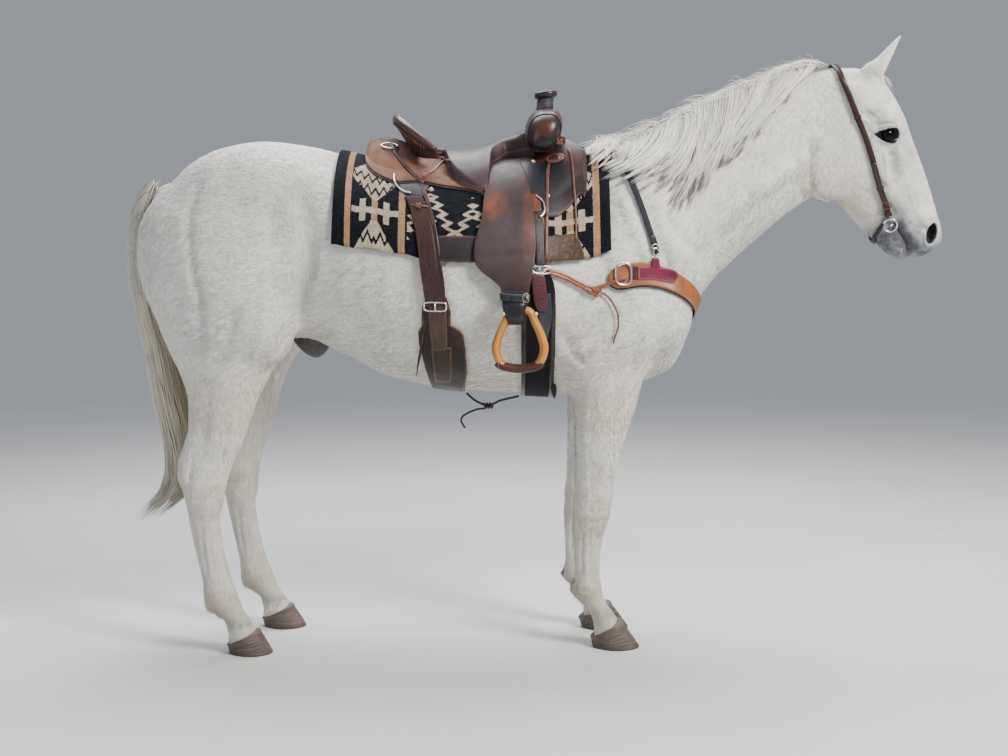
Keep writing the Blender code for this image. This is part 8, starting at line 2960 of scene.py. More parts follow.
def rear_rigging():
    """The billet with its rings and buckle. Returns the look of the tack's steel."""
    holes = [(-0.339, 1.327), (-0.331, 1.268), (-0.325, 1.218), (-0.319, 1.174), (-0.308, 1.120)]
    brown = tinted(
        UMBER * 0.85, (-0.352, 1.42, 0.03, 0.03, RUSSET * 0.6, 0.6),
        (-0.33, 1.20, 0.03, 0.08, PLUM * 1.1, 0.7)
    )
    rows = [
        (-0.400, 1.4235, -0.3465, 1.4235), (-0.388, 1.400, -0.336, 1.400), (-0.370, 1.340, -0.317, 1.340),
        (-0.357, 1.270, -0.304, 1.270), (-0.350, 1.210, -0.296, 1.210), (-0.343, 1.160, -0.288, 1.160),
        (-0.336, 1.108, -0.283, 1.108), (-0.334, 1.092, -0.282, 1.092)
    ]
    low = [0.0175, 0.0172, 0.0172, 0.0172, 0.0170, 0.0140, 0.0105, 0.0100]
    rows = [(*r, b, b + 0.0048) for r, b in zip(rows, low)]
    look = hole_marks(leather("billet_leather", 0.42, 0.12, edge=(0.045, 0.022, 0.018)), holes)
    panel("billet", rows, look, brown, node="rear_billet", slot="dark_leather", step=0.005)
    # the doubled layer beneath, which shows along its front edge
    rows = [
        (-0.380, 1.395, -0.326, 1.395), (-0.362, 1.320, -0.306, 1.320), (-0.345, 1.24, -0.290, 1.24),
        (-0.333, 1.16, -0.277, 1.16), (-0.328, 1.10, -0.273, 1.10)
    ]
    rows = [(*r, b, b + 0.0024) for r, b in zip(rows, [0.0144, 0.0144, 0.0142, 0.010, 0.0075])]
    panel(
        "billet_under", rows, plain_leather("billet_lining", (0.038, 0.026, 0.028), 0.4), tinted(SOOT),
        slot="dark_leather"
    )
    # lace tie through the head of the billet
    tie = plain_leather("tie", (0.12, 0.055, 0.042), 0.45)
    points = []
    for k, (x0, x1, z0, z1) in enumerate(
        (
            (-0.378, -0.350, 1.384, 1.380), (-0.362, -0.328, 1.381, 1.379), (-0.366, -0.352, 1.388, 1.372),
            (-0.352, -0.366, 1.389, 1.374)
        )
    ):
        line, way = strap_line(from_side(np.array([x0, x1]), np.array([z0, z1])))
        points.append(ribbon(line + way * (0.0225 + 0.0012 * k), way, 0.0062, 0.0022))
    pair("billet_tie", joined(*points), tie, slot="dark_leather")
    # rigging plate and dee under the jockey
    plate = plain_leather("rigging", (0.020, 0.019, 0.022), 0.36, 0.3)
    rows = [
        (-0.424, 1.492, -0.318, 1.492), (-0.422, 1.465, -0.324, 1.465), (-0.408, 1.440, -0.334, 1.440),
        (-0.392, 1.422, -0.342, 1.422)
    ]
    panel("rigging_plate", rows, plate, tinted(SOOT), 0.0144, 0.0169, slot="dark_leather")
    steel = metal("tack_steel", (0.78, 0.78, 0.80), 0.14)
    x, z = fine_line(
        [
            (-0.438, 1.478), (-0.4365, 1.462), (-0.429, 1.445), (-0.415, 1.432), (-0.398, 1.4235),
            (-0.384, 1.4205)
        ],
        0.003
    ).T
    base = from_side(x, z)
    pair("rear_dee", tube(base + BODY.slope(base, 0.006)[1] * 0.0195, 0.0034, 12), steel, slot="steel")
    # buckle, with its bar and tongue
    for name in SIDES:
        node = "flank_buckle_" + name
        c, u, v, out = seat_of_ring(node)
        loop = ring_line(node, 0.066, 0.0265, 4.5, 80, 0.001)
        bar = np.array([c + v * -0.012 + out * 0.001, c + out * 0.0022, c + v * 0.012 + out * 0.001])
        pin = np.array(
            [
                c - u * 0.002 + v * 0.010 + out * 0.004, c + v * -0.004 + out * 0.0055,
                c + v * -0.016 + out * 0.0035
            ]
        )
        piece(
            node + "_frame",
            joined(tube(loop, 0.0030, 12, closed=True), tube(bar, 0.0026, 10), tube(pin, 0.0017, 8)), steel,
            replaces=node
        )
        c, u, v, out = seat_of_ring("saddle_ring_" + name)
        loop = ring_line("saddle_ring_" + name, 0.050, 0.040, 2.0, 80, 0.0075)
        keeper = tube(
            np.array([c + v * 0.026 - u * 0.004, c + v * 0.020 + out * 0.004, c + v * 0.013 + u * 0.003]),
            0.0035, 8
        )
        piece(
            "rear_ring_" + name, tube(loop, 0.0030, 12, closed=True), steel, replaces="saddle_ring_" + name,
        )
        piece("rear_ring_keeper_" + name, keeper, plate)
    return steel


def flank():
    """The flank strap right round the belly, with its tongue, pocket, keeper and lace."""
    dark = tinted(
        np.array([0.040, 0.018, 0.012]), (-0.23, 1.0, 0.03, 0.06, np.array([0.075, 0.030, 0.014]), 0.8),
        (-0.29, 0.84, 0.06, 0.04, SOOT * 0.6, 0.7)
    )
    rows = [
        (104, -0.332, -0.272), (107, -0.338, -0.266), (110, -0.345, -0.262), (113, -0.346, -0.258),
        (116, -0.345, -0.262), (118.5, -0.342, -0.262), (121, -0.350, -0.240), (124, -0.358, -0.224),
        (130, -0.357, -0.219), (136, -0.351, -0.216), (146, -0.342, -0.214), (158, -0.332, -0.220),
        (169, -0.327, -0.226), (180, -0.326, -0.226)
    ]
    look = leather("flank_leather", 0.46, 0.12, edge=(0.12, 0.055, 0.025), stitch=(0.09, 0.05, 0.03))
    belt("flank_strap", rows, 0.0045, 0.0100, look, dark, "flank_cinch")
    holes = [(-0.308, 0.981), (-0.316, 1.056)]
    rows = [
        (-0.3275, 1.096, -0.2725, 1.096), (-0.3265, 1.060, -0.2720, 1.060),
        (-0.3235, 1.010, -0.2715, 1.010), (-0.3205, 0.975, -0.2720, 0.975), (-0.3185, 0.958, -0.2735, 0.958)
    ]
    rows = [(*r, b, b + 0.0048) for r, b in zip(rows, [0.0105, 0.0100, 0.0098, 0.0098, 0.0098])]
    panel(
        "flank_tongue", rows,
        hole_marks(leather("tongue_leather", 0.36, 0.25, edge=(0.16, 0.075, 0.04)), holes),
        tinted(UMBER * 1.2, (-0.30, 0.98, 0.03, 0.03, np.array([0.10, 0.075, 0.040]), 0.6)),
        slot="dark_leather", step=0.005
    )
    rows = [
        (-0.3215, 0.966, -0.2575, 0.970), (-0.3185, 0.930, -0.2590, 0.930),
        (-0.3170, 0.880, -0.2600, 0.880), (-0.3140, 0.852, -0.2640, 0.852)
    ]
    panel(
        "flank_pocket", rows,
        leather("pocket_leather", 0.42, 0.15, edge=(0.14, 0.065, 0.03), stitch=(0.16, 0.09, 0.05)),
        tinted(np.array([0.055, 0.026, 0.016])), 0.0102, 0.0142, slot="dark_leather", step=0.005
    )
    cuff = [
        (-0.3470, 1.078, -0.2620, 1.078), (-0.3480, 1.05, -0.2590, 1.05), (-0.3460, 1.025, -0.2600, 1.025),
        (-0.3380, 1.010, -0.2660, 1.010)
    ]
    panel(
        "flank_keeper", cuff, leather("keeper_leather", 0.5, 0.1, edge=(0.22, 0.11, 0.055)),
        tinted(np.array([0.17, 0.085, 0.05])), 0.0060, 0.0097, slot="dark_leather", step=0.005
    )
    line, way = strap_line(
        from_side(
            np.array([-0.331, -0.342, -0.352, -0.362, -0.3715]),
            np.array([1.062, 1.01, 0.960, 0.915, 0.876])
        )
    )
    rise = 0.008 + 0.010 * np.sin(np.linspace(0, math.pi, len(line)))
    wide = np.interp(
        np.linspace(0, 1, len(line)), [0, 0.15, 0.5, 0.7, 1], [0.004, 0.006, 0.0085, 0.006, 0.002]
    )
    pair(
        "flank_lace", ribbon(line + way * rise[:, None], way, wide, 0.0022),
        plain_leather("lace_dark", (0.045, 0.018, 0.012), 0.5), slot="dark_leather"
    )


def girth(steel):
    felt = Look("felt", 0.90, Sheen_Weight=0.04, Sheen_Roughness=0.5, Specular_IOR_Level=0.10)
    weave = felt.noise((700, 300, 700), 3)
    felt.colour(felt.mix(felt.span(weave, 0.35, 0.7), (0.004, 0.004, 0.006), (0.014, 0.014, 0.017)))
    felt.bump(felt.math("ADD", weave, felt.math("MULTIPLY", felt.noise((60, 60, 60), 3), 1.2)), 0.0014, 0.8)
    rows = [
        (92, -0.012, 0.036), (95, -0.022, 0.042), (98, -0.034, 0.048), (104, -0.044, 0.0525),
        (114, -0.048, 0.055), (126, -0.048, 0.055), (138, -0.047, 0.055), (150, -0.046, 0.055),
        (160, -0.046, 0.055), (170, -0.046, 0.055), (180, -0.046, 0.055)
    ]
    belt("girth", rows, 0.0042, 0.0112, felt, tinted(BLACK), "front_cinch")
    # binding strips along the girth
    for name, x0, x1 in (("rear", -0.0465, -0.034), ("front", 0.040, 0.0535)):
        rows = [
            (104, x0 + 0.004, x1 + (0.002 if name == "rear" else -0.001)), (120, x0, x1),
            (150, x0 + 0.001, x1), (180, x0 + 0.001, x1)
        ]
        belt(
            "girth_binding_" + name, rows, 0.0108, 0.0124,
            plain_leather("binding_" + name, (0.016, 0.014, 0.016), 0.4, 0.2), tinted(BLACK), None,
            step=0.004
        )
    tab = fine_line(
        [
            (0.052, -0.082, 0.8455, 0.016), (0.055, -0.084, 0.832, 0.0175), (0.0565, -0.084, 0.815, 0.013),
            (0.0565, -0.083, 0.801, 0.004)
        ],
        0.003
    )
    base = from_side(tab[:, 0], np.maximum(tab[:, 2], 0.845))
    line = np.column_stack([tab[:, 0], tab[:, 1], tab[:, 2]])
    line[:, 1] += (base[0, 1] - 0.012) - line[0, 1]
    pair(
        "girth_tab", ribbon(line, [0, -1.0, 0], tab[:, 3], 0.003),
        plain_leather("tab", (0.014, 0.013, 0.015), 0.5), slot="black_web"
    )

    holes = [(-0.004, 1.346), (0.001, 1.304), (0.004, 1.262), (0.009, 1.226)]
    look = hole_marks(leather("latigo_leather", 0.45, 0.08, edge=(0.09, 0.045, 0.03)), holes, 0.0026)
    rows = [
        (-0.014, 1.372, 0.014, 1.372), (-0.012, 1.340, 0.019, 1.340), (-0.008, 1.300, 0.0215, 1.300),
        (-0.006, 1.260, 0.022, 1.260), (-0.005, 1.214, 0.0225, 1.214)
    ]
    panel(
        "latigo_strap", rows, look, tinted(np.array([0.034, 0.024, 0.030])), 0.0173, 0.0232, "latigo",
        "dark_leather", step=0.005
    )
    # what shows of the rigging in front of the fender
    rows = [
        (-0.018, 1.432, 0.002, 1.432), (-0.018, 1.412, 0.010, 1.412), (-0.018, 1.392, 0.0125, 1.392),
        (-0.018, 1.378, 0.0125, 1.378)
    ]
    panel(
        "rigging_front", rows, leather("rigging_tan", 0.45, 0.2, edge=(0.02, 0.015, 0.013)),
        tinted(RUSSET * 1.05), 0.0224, 0.0250, slot="dark_leather", step=0.005
    )
    x, z = fine_line(
        [
            (-0.006, 1.4085), (0.0075, 1.400), (0.0155, 1.386), (0.0170, 1.370), (0.0125, 1.356),
            (0.002, 1.3485)
        ],
        0.003
    ).T
    base = from_side(x, z)
    pair("front_dee", tube(base + BODY.slope(base, 0.006)[1] * 0.0275, 0.0032, 12), steel, slot="steel")

    wine = tinted(
        np.array([0.170, 0.048, 0.062]), (0.0, 1.10, 0.03, 0.02, np.array([0.080, 0.030, 0.040]), 0.7)
    )
    look = hole_marks(
        leather("tongue_wine", 0.34, 0.3, edge=(0.05, 0.02, 0.02)), [(0.012, 1.153), (0.0125, 1.115)],
        0.0028
    )
    rows = [
        (-0.016, 1.190, 0.020, 1.190), (-0.018, 1.176, 0.024, 1.176), (-0.016, 1.145, 0.028, 1.145),
        (-0.012, 1.110, 0.031, 1.110), (-0.006, 1.090, 0.030, 1.090), (0.004, 1.078, 0.026, 1.078)
    ]
    rows = [(*r, b, b + 0.0050) for r, b in zip(rows, [0.0150, 0.0150, 0.0150, 0.0148, 0.0140, 0.0138])]
    panel("cinch_tongue_wine", rows, look, wine, node="cinch_tongue", slot="dark_leather", step=0.005)
    rows = [
        (-0.008, 1.132, 0.040, 1.132), (0.000, 1.095, 0.044, 1.095), (0.004, 1.060, 0.044, 1.060),
        (0.010, 1.030, 0.040, 1.030), (0.018, 1.006, 0.034, 1.006), (0.022, 0.994, 0.031, 0.994)
    ]
    panel(
        "cinch_strap_end", rows, plain_leather("slate_strap", (0.030, 0.036, 0.050), 0.42, 0.2),
        tinted(SOOT), 0.0114, 0.0137, node="cinch_tongue", slot="dark_leather", step=0.005
    )
    for name in SIDES:
        node = "cinch_ring_" + name
        piece(
            node + "_bar", tube(ring_line(node, 0.058, 0.0235, 2.6, 80, 0.0012), 0.0031, 12, closed=True),
            steel, replaces=node
        )


def laces(under):
    """Saddle strings and small fittings on the skirts."""
    red = plain_leather("string", (0.14, 0.055, 0.034), 0.4)
    for name, places, wide, off in (
        (
            "front_string",
            [(0.040, 1.530), (0.035, 1.503), (0.031, 1.409), (0.0275, 1.292), (0.027, 1.210)], 0.0098,
            0.0016
        ),
        (
            "brow_string",
            [
                (0.098, 1.575), (0.1085, 1.545), (0.111, 1.512), (0.1165, 1.409), (0.1185, 1.340),
                (0.1165, 1.292)
            ],
            0.0068, 0.0016
        ),
    ):
        x, z = fine_line(places, 0.007).T
        line, way = under(x, z, off + 0.0012)
        line = np.stack([relaxed(line[:, k], 4) for k in range(3)], 1)
        line[:, 1] -= 0.0010
        pair(name, ribbon(line, relaxed_ways(way), wide, 0.0024), red, slot="dark_leather")
    down = [
        (-0.452, 1.597), (-0.444, 1.575), (-0.420, 1.542), (-0.396, 1.512), (-0.370, 1.488),
        (-0.352, 1.470), (-0.338, 1.435), (-0.322, 1.390), (-0.306, 1.330), (-0.296, 1.270),
        (-0.288, 1.200), (-0.281, 1.140)
    ]
    x, z = fine_line(down, 0.007).T
    dark = plain_leather("rear_lace", (0.060, 0.030, 0.026), 0.42)
    line, way = under(x, z, 0.0018)
    line = np.stack([relaxed(line[:, k], 5) for k in range(3)], 1)
    line[:, 1] -= 0.0012
    ways = relaxed_ways(way)
    mesh = joined(
        ribbon(line, ways, 0.0068, 0.0026),
        ribbon(
            (line + np.cross(unit(np.gradient(line, axis=0)), ways) * 0.0062)[: int(len(line) * 0.62)]
            + ways[: int(len(line) * 0.62)] * 0.0006,
            ways[: int(len(line) * 0.62)], 0.0056, 0.0024
        )
    )
    pair("rear_lace", mesh, dark, "rear_string", "dark_leather")
    # the second lace from the seat's corner to the knot
    x, z = fine_line(
        [(-0.285, 1.541), (-0.297, 1.528), (-0.318, 1.503), (-0.342, 1.486), (-0.350, 1.470)], 0.006
    ).T
    line, way = under(x, z, 0.0022)
    knot, kway = under(np.array([-0.350]), np.array([1.476]), 0.004)
    twist = [
        dome(knot[0] + [dx, -0.001, dz], kway[0], 0.0058, 0.0045) for dx,
        dz in ((0.0, 0.0), (0.005, 0.006), (-0.004, -0.006), (0.001, -0.011))
    ]
    pair(
        "seat_lace", joined(ribbon(line, relaxed_ways(way), 0.0062, 0.0026), *twist),
        plain_leather("seat_lace", (0.15, 0.075, 0.05), 0.45), slot="dark_leather"
    )
    x, z = fine_line([(-0.262, 1.531), (-0.285, 1.541), (-0.306, 1.551), (-0.320, 1.552)], 0.006).T
    line, way = under(x, z, 0.0022)
    bits = [
        ribbon(line, relaxed_ways(way), 0.0075, 0.0030),
        dome(line[len(line) // 2], way[len(line) // 2], 0.0085, 0.006)
    ]
    pair("seat_knot", joined(*bits), red, slot="dark_leather")

    # rosette and conchos
    c, way = under(np.array([0.058]), np.array([1.542]), 0.001)
    rings, a = [], np.arange(40) * 2 * math.pi / 40
    u = unit(np.array([1.0, 0, 0]) - way[0] * way[0][0])
    v = np.cross(way[0], u)
    for r, h in (
        (1.0, -0.001), (1.0, 0.002), (0.96, 0.0042), (0.80, 0.0052), (0.64, 0.0035), (0.60, 0.0060),
        (0.44, 0.0085), (0.22, 0.0095), (0.05, 0.0098)
    ):
        rings.append(
            c[0] + way[0] * h + (np.cos(a)[:, None] * u * 0.0300 + np.sin(a)[:, None] * v * 0.0195) * r
        )
    points, faces = lofted(rings)
    mesh = mesh_of("rosette_right", points, faces)
    q = (points - c[0]) @ np.stack([u / 0.030, v / 0.0195], 1)
    r = np.hypot(*q.T)
    paint(
        mesh,
        np.where(
            (r < 0.62)[:, None], np.array([0.045, 0.016, 0.014]),
            np.where((r < 0.82)[:, None], np.array([0.17, 0.062, 0.045]), UMBER * 1.3)
        )
    )
    values(mesh, "Rim", (1 - r) * 0.02 + 0.002)
    values(mesh, "Run", np.arctan2(q[:, 1], q[:, 0]) * 0.02)
    pair("rosette", mesh, leather("rosette_leather", 0.32, 0.4, crease=None), slot="dark_leather")
    studs = []
    for x, z, size in ((-0.008, 1.535, 0.0072), (0.034, 1.426, 0.0066), (-0.321, 1.447, 0.0060)):
        p, w = under(np.array([x]), np.array([z]), 0.0)
        studs.append(dome(p[0], w[0], size, 0.0038))
        studs.append(dome(p[0] + w[0] * 0.003, w[0], size * 0.45, 0.0022))
    pair("conchos", joined(*studs), metal("concho", (0.80, 0.78, 0.74), 0.18), slot="steel")


def relaxed_ways(way, rounds=6):
    """Outward directions along a strap, evened out."""
    return unit(np.stack([relaxed(way[:, k], rounds) for k in range(3)], 1))


def collar(steel):
    """The breast collar with its overlay, tab, rings and snap, and the strap over the neck."""
    rows = np.array(
        [
            (-86, 1.177, 0.012), (-84, 1.177, 0.022), (-80, 1.178, 0.032), (-72, 1.184, 0.036),
            (-62, 1.189, 0.036), (-52, 1.184, 0.035), (-42, 1.166, 0.035), (-32, 1.136, 0.036),
            (-22, 1.104, 0.036), (-11, 1.076, 0.036), (0, 1.066, 0.036)
        ],
        float
    )
    rows = np.concatenate([rows, rows[-2::-1] * [-1, 1, 1]])
    angles = np.concatenate([[-86, -85.7, -85.0], np.linspace(-84, 84, 170), [85.0, 85.7, 86]])

    def band(name, low, high, drop, look, colour, node):
        fine = pchip(rows, angles)
        w = fine[:, 1] * 2
        s = shares_across(BEVEL / np.maximum(w[:, None], 0.012), 12)
        z = fine[:, :1] - drop + (s - 0.5) * w[:, None]
        a = np.repeat(np.radians(angles)[:, None], s.shape[1], 1)
        way = np.stack([np.cos(a), np.sin(a), 0 * a], -1).reshape(-1, 3)
        centre = np.stack([np.full(a.size, 0.2), 0 * a.ravel(), z.ravel()], 1)
        base = march(centre + way * 0.42, -way).reshape(*a.shape, 3)
        run = run_of(base[:, 7])
        rim = rim_of(s, w, run)
        mesh = hide_of(
            name, layers(base, low, high, rim), rim, np.repeat(run[:, None], s.shape[1], 1), colour
        )
        return piece(name, mesh, look, replaces=node)

    tan = np.array([0.66, 0.245, 0.085])
    colour = tinted(
        tan, (0.50, 1.10, 0.06, 0.05, np.array([0.52, 0.180, 0.032]), 0.9),
        (0.30, 1.19, 0.05, 0.05, np.array([0.58, 0.195, 0.105]), 0.8)
    )
    strap = band(
        "collar_strap", 0.0062, 0.0112, 0.0,
        leather("collar_tan", 0.40, 0.15, edge=(0.40, 0.140, 0.080), worn=0.3), colour, "breast_collar"
    )
    band(
        "collar_lining", 0.0045, 0.0063, 0.005, plain_leather("collar_black", (0.012, 0.011, 0.012), 0.6),
        tinted(BLACK), "breast_collar"
    )
    wine = np.array([0.330, 0.030, 0.095])
    rows2 = [
        (0.306, 1.1710, 0.306, 1.2110), (0.330, 1.1705, 0.330, 1.2120), (0.358, 1.1700, 0.358, 1.2120),
        (0.390, 1.1650, 0.390, 1.2080), (0.408, 1.1610, 0.408, 1.2040), (0.419, 1.1600, 0.420, 1.2010),
        (0.427, 1.1700, 0.429, 1.1930), (0.433, 1.1800, 0.4335, 1.1840)
    ]
    panel(
        "collar_overlay", rows2,
        leather("wine_leather", 0.44, 0.08, edge=(0.26, 0.05, 0.08), stitch=(0.40, 0.12, 0.15), worn=0.5),
        tinted(
            wine, (0.42, 1.18, 0.02, 0.02, wine * 0.55, 0.7),
            (0.31, 1.19, 0.010, 0.03, np.array([0.30, 0.075, 0.085]), 0.9)
        ),
        0.0110, 0.0140, slot="collar_leather", step=0.005
    )
    rows3 = [
        (0.3455, 1.2075, 0.3780, 1.2075), (0.3480, 1.2180, 0.3755, 1.2180),
        (0.3495, 1.2300, 0.3735, 1.2300), (0.3515, 1.2380, 0.3715, 1.2380)
    ]
    panel(
        "collar_tab", rows3, leather("tab_leather", 0.4, 0.25, edge=(0.12, 0.02, 0.04)), tinted(wine * 0.8),
        0.0112, 0.0156, slot="collar_leather", step=0.004
    )
    rows4 = [(0.2905, 1.172, 0.2905, 1.213), (0.2985, 1.172, 0.2985, 1.213), (0.3065, 1.172, 0.3065, 1.213)]
    panel(
        "collar_fold", rows4, plain_leather("fold", (0.055, 0.014, 0.012), 0.5), tinted(BLACK), 0.0110,
        0.0128, slot="collar_leather", step=0.004
    )
    under = Under([strap])
    p, w = under(np.array([0.3625]), np.array([1.2275]), 0.0)
    rivet = [dome(p[0] + w[0] * 0.0045, w[0], 0.0052, 0.0036)]
    for name in SIDES:
        node = "collar_ring_" + name
        piece(
            node + "_dee", tube(ring_line(node, 0.050, 0.066, 2.7, 90, 0.0015), 0.0031, 12, closed=True),
            steel, replaces=node
        )
    # snap between the tab and the neck strap
    line, way = strap_line(
        from_side(np.array([0.3660, 0.3630, 0.3590, 0.3555]), np.array([1.234, 1.246, 1.258, 1.272]))
    )
    up = line + way * 0.0125
    t = np.linspace(0, 2 * math.pi, 36)[:-1]
    u, n = unit(up[-1] - up[0]), way[len(way) // 2]
    v = np.cross(n, u)
    c = up.mean(0)
    eye = c + (np.cos(t)[:, None] * u * 0.0135 + np.sin(t)[:, None] * v * 0.0085)
    small = up[-1] + (np.cos(t)[:, None] * u * 0.006 + np.sin(t)[:, None] * v * 0.0095)
    pair(
        "collar_snap",
        joined(tube(eye, 0.0018, 8, closed=True), tube(small, 0.0019, 8, closed=True), *rivet),
        metal("nickel", (0.72, 0.71, 0.70), 0.22), slot="steel"
    )
    # strap over the neck
    a = np.radians(
        np.concatenate([np.linspace(-90, -20, 36), np.linspace(-18, 18, 19), np.linspace(20, 90, 36)])
    )
    x = np.full(len(a), 0.33)
    for _ in range(8):
        q = around(x, a, 1.25)
        x = 0.366 - (q[:, 2] - 1.25) * 0.34
    line = settle(around(x, a, 1.25), 2)
    web = Look("web", 0.7, Specular_IOR_Level=0.15)
    rib = web.noise((1400, 700, 500), 2)
    web.colour(web.mix(web.span(rib, 0.35, 0.7), (0.016, 0.016, 0.024), (0.042, 0.040, 0.054)))
    web.bump(rib, 0.0008, 0.7)
    way = BODY.slope(line, 0.006)[1]
    piece(
        "neck_strap", ribbon(line + way * 0.0062, way, 0.019, 0.0028, ends=0.8), web,
        replaces="collar_neck_strap"
    )
    pair(
        "neck_strap_end", ribbon((line + way * 0.0086)[1:9], way[1:9], 0.0205, 0.0030, ends=0.7),
        plain_leather("web_end", (0.015, 0.014, 0.018), 0.5), slot="black_web"
    )
    return strap


def tugs(under):
    """The two tugs from the breast collar to the rigging, their knot and the lace that hangs from it."""
    brown = leather("tug_leather", 0.36, 0.3, edge=(0.25, 0.08, 0.03), crease=None)
    colour = tinted(
        np.array([0.54, 0.155, 0.055]), (0.10, 1.17, 0.03, 0.02, np.array([0.34, 0.090, 0.038]), 0.7)
    )

    def run(name, places, off, wide, node):
        x, z = fine_line(places, 0.005).T
        line, way = under(x, z, off)
        line = np.stack([relaxed(line[:, k], 6) for k in range(3)], 1)
        line[:, 1] -= 0.0015
        mesh = dressed(name + "_right", ribbon(line, relaxed_ways(way), wide, 0.0042), colour, 0.012, 0)
        return pair(name, mesh, brown, node, "collar_leather")

    run(
        "tug_low",
        [(0.036, 1.196), (0.060, 1.190), (0.100, 1.172), (0.130, 1.156), (0.158, 1.142), (0.180, 1.132)],
        0.0045, 0.0105, "tug_strap"
    )
    run(
        "tug_high",
        [
            (0.028, 1.200), (0.050, 1.201), (0.085, 1.188), (0.120, 1.170), (0.150, 1.155), (0.175, 1.148),
            (0.200, 1.155), (0.225, 1.164), (0.250, 1.1745), (0.272, 1.178)
        ],
        0.0050, 0.0100, "tug_strap"
    )
    c, w = under(np.array([0.160, 0.172, 0.184]), np.array([1.142, 1.138, 1.134]), 0.006)
    t = np.linspace(0, 2 * math.pi, 32)[:-1]
    loops = []
    for k, tilt in enumerate((-0.35, -0.2, 0.9)):
        n = unit(w[k])
        u = unit(
            np.array([math.cos(tilt), 0, math.sin(tilt)])
            - n * (n @ np.array([math.cos(tilt), 0, math.sin(tilt)]))
        )
        v = np.cross(n, u)
        loops.append(
            tube(
                c[k] + np.cos(t)[:, None] * u * (0.017, 0.016, 0.011)[k] + np.sin(t)[:, None] * v * 0.0075
                + np.sin(2 * t)[:, None] * n * 0.0025,
                0.0036, 10, closed=True
            )
        )
    pair(
        "tug_knot", joined(*loops), plain_leather("tug_knot", (0.26, 0.075, 0.034), 0.38, 0.3),
        slot="collar_leather"
    )
    end = [
        (0.186, 1.136), (0.196, 1.1345), (0.210, 1.127), (0.226, 1.112), (0.238, 1.090), (0.246, 1.067),
        (0.2475, 1.040), (0.242, 1.012), (0.2345, 0.990), (0.232, 0.975)
    ]
    x, z = fine_line(end, 0.006).T
    line, way = under(x, z, 0.0022)
    line[:, 1] -= 0.004 * np.sin(np.linspace(0, math.pi, len(line)))
    wide = np.interp(np.linspace(0, 1, len(line)), [0, 0.1, 0.8, 1], [0.006, 0.0068, 0.0060, 0.0052])
    pair(
        "tug_lace", ribbon(line, relaxed_ways(way), wide, 0.0028),
        plain_leather("tug_lace", (0.20, 0.075, 0.05), 0.42), "tug_tail", "collar_leather"
    )


def bridle(steel):
    """The headstall with its keepers and knots, the bit's rings and the curb strap."""
    side = [
        (1.109, 1.366), (1.100, 1.400), (1.084, 1.436), (1.061, 1.493), (1.043, 1.547), (1.024, 1.601),
        (0.994, 1.672), (0.966, 1.745), (0.948, 1.790)
    ]
    x, z = np.array(side).T
    right = from_side(x, z)
    top = np.array(
        [[0.938, -0.045, 1.830], [0.934, -0.015, 1.842], [0.934, 0.015, 1.842], [0.938, 0.045, 1.830]]
    )
    line, way = strap_line(np.concatenate([right, top, right[::-1] * [1, -1, 1]]), 0.006)
    way = relaxed_ways(way, 4)
    look = leather("bridle_leather", 0.42, 0.12, edge=(0.070, 0.028, 0.020))
    colour = tinted(
        np.array([0.062, 0.022, 0.019]), (1.09, 1.41, 0.03, 0.05, np.array([0.150, 0.048, 0.028]), 0.9)
    )
    mesh = dressed("headstall", ribbon(line + way * 0.0070, way, 0.0185, 0.0042), colour, 0.012, 2)
    piece("headstall_strap", mesh, look, replaces="headstall")

    def cheek(height, off):
        """The strap's place at a height on the right cheek, off above it, and its three directions."""
        i = int(np.argmin(np.abs(line[: len(line) // 2, 2] - height)))
        along = unit(np.gradient(line, axis=0)[i])
        return line[i] + way[i] * off, along, np.cross(way[i], along), way[i]

    # doubled end, keepers and buckle on each cheek
    n = int(len(line) * 0.17)
    loop = plain_leather("keeper", (0.032, 0.017, 0.013), 0.4, 0.2)
    parts = [ribbon((line + way * 0.0108)[3:n], way[3:n], 0.0165, 0.0036)]
    for height in (1.671, 1.456, 1.372):
        c, a, s, out = cheek(height, 0.0082)
        across, rise = squared(24, 0.45)
        ring = c + across[:, None] * s * 0.0112 + rise[:, None] * out * 0.0062
        parts.append(lofted([ring + a * d for d in (-0.0045, -0.0038, 0.0038, 0.0045)]))
    pair("cheek_keepers", joined(*parts), loop, slot="dark_leather")
    c, a, s, out = cheek(1.398, 0.0135)
    across, up = squared(36, 0.6)
    ring = c + across[:, None] * s * 0.0130 + up[:, None] * a * 0.0105
    pair(
        "cheek_buckle",
        joined(
            tube(ring, 0.0018, 8, closed=True), tube(np.array([c - s * 0.012, c + s * 0.012]), 0.0015, 8),
            tube(np.array([c + out * 0.001, c + a * 0.010 + out * 0.0015]), 0.0013, 8)
        ),
        plain_leather("cheek_knot", (0.150, 0.055, 0.030), 0.42), slot="dark_leather"
    )
    for name in SIDES:
        node = "bit_ring_" + name
        c, u, _, out = seat_of_ring(node)
        mouth = np.array([c + out * 0.002, c - out * 0.006 + u * 0.006, c - out * 0.016 + u * 0.012])
        piece(
            node + "_loop",
            joined(
                tube(ring_line(node, 0.041, 0.041, 2.0, 80, 0.0008), 0.0030, 12, closed=True),
                tube(mouth, (0.0042, 0.0048, 0.0052), 12)
            ),
            steel, replaces=node
        )
    right = from_side(np.array([1.094, 1.085, 1.076]), np.array([1.346, 1.326, 1.304]))
    under = np.array([[1.066, -0.026, 1.280], [1.062, 0.0, 1.270], [1.066, 0.026, 1.280]])
    line, way = strap_line(np.concatenate([right, under, right[::-1] * [1, -1, 1]]), 0.005)
    way = relaxed_ways(way, 4)
    piece(
        "curb", ribbon(line + way * 0.0062, way, 0.0125, 0.0034),
        plain_leather("curb_web", (0.012, 0.012, 0.015), 0.45, 0.2), replaces="curb_strap"
    )


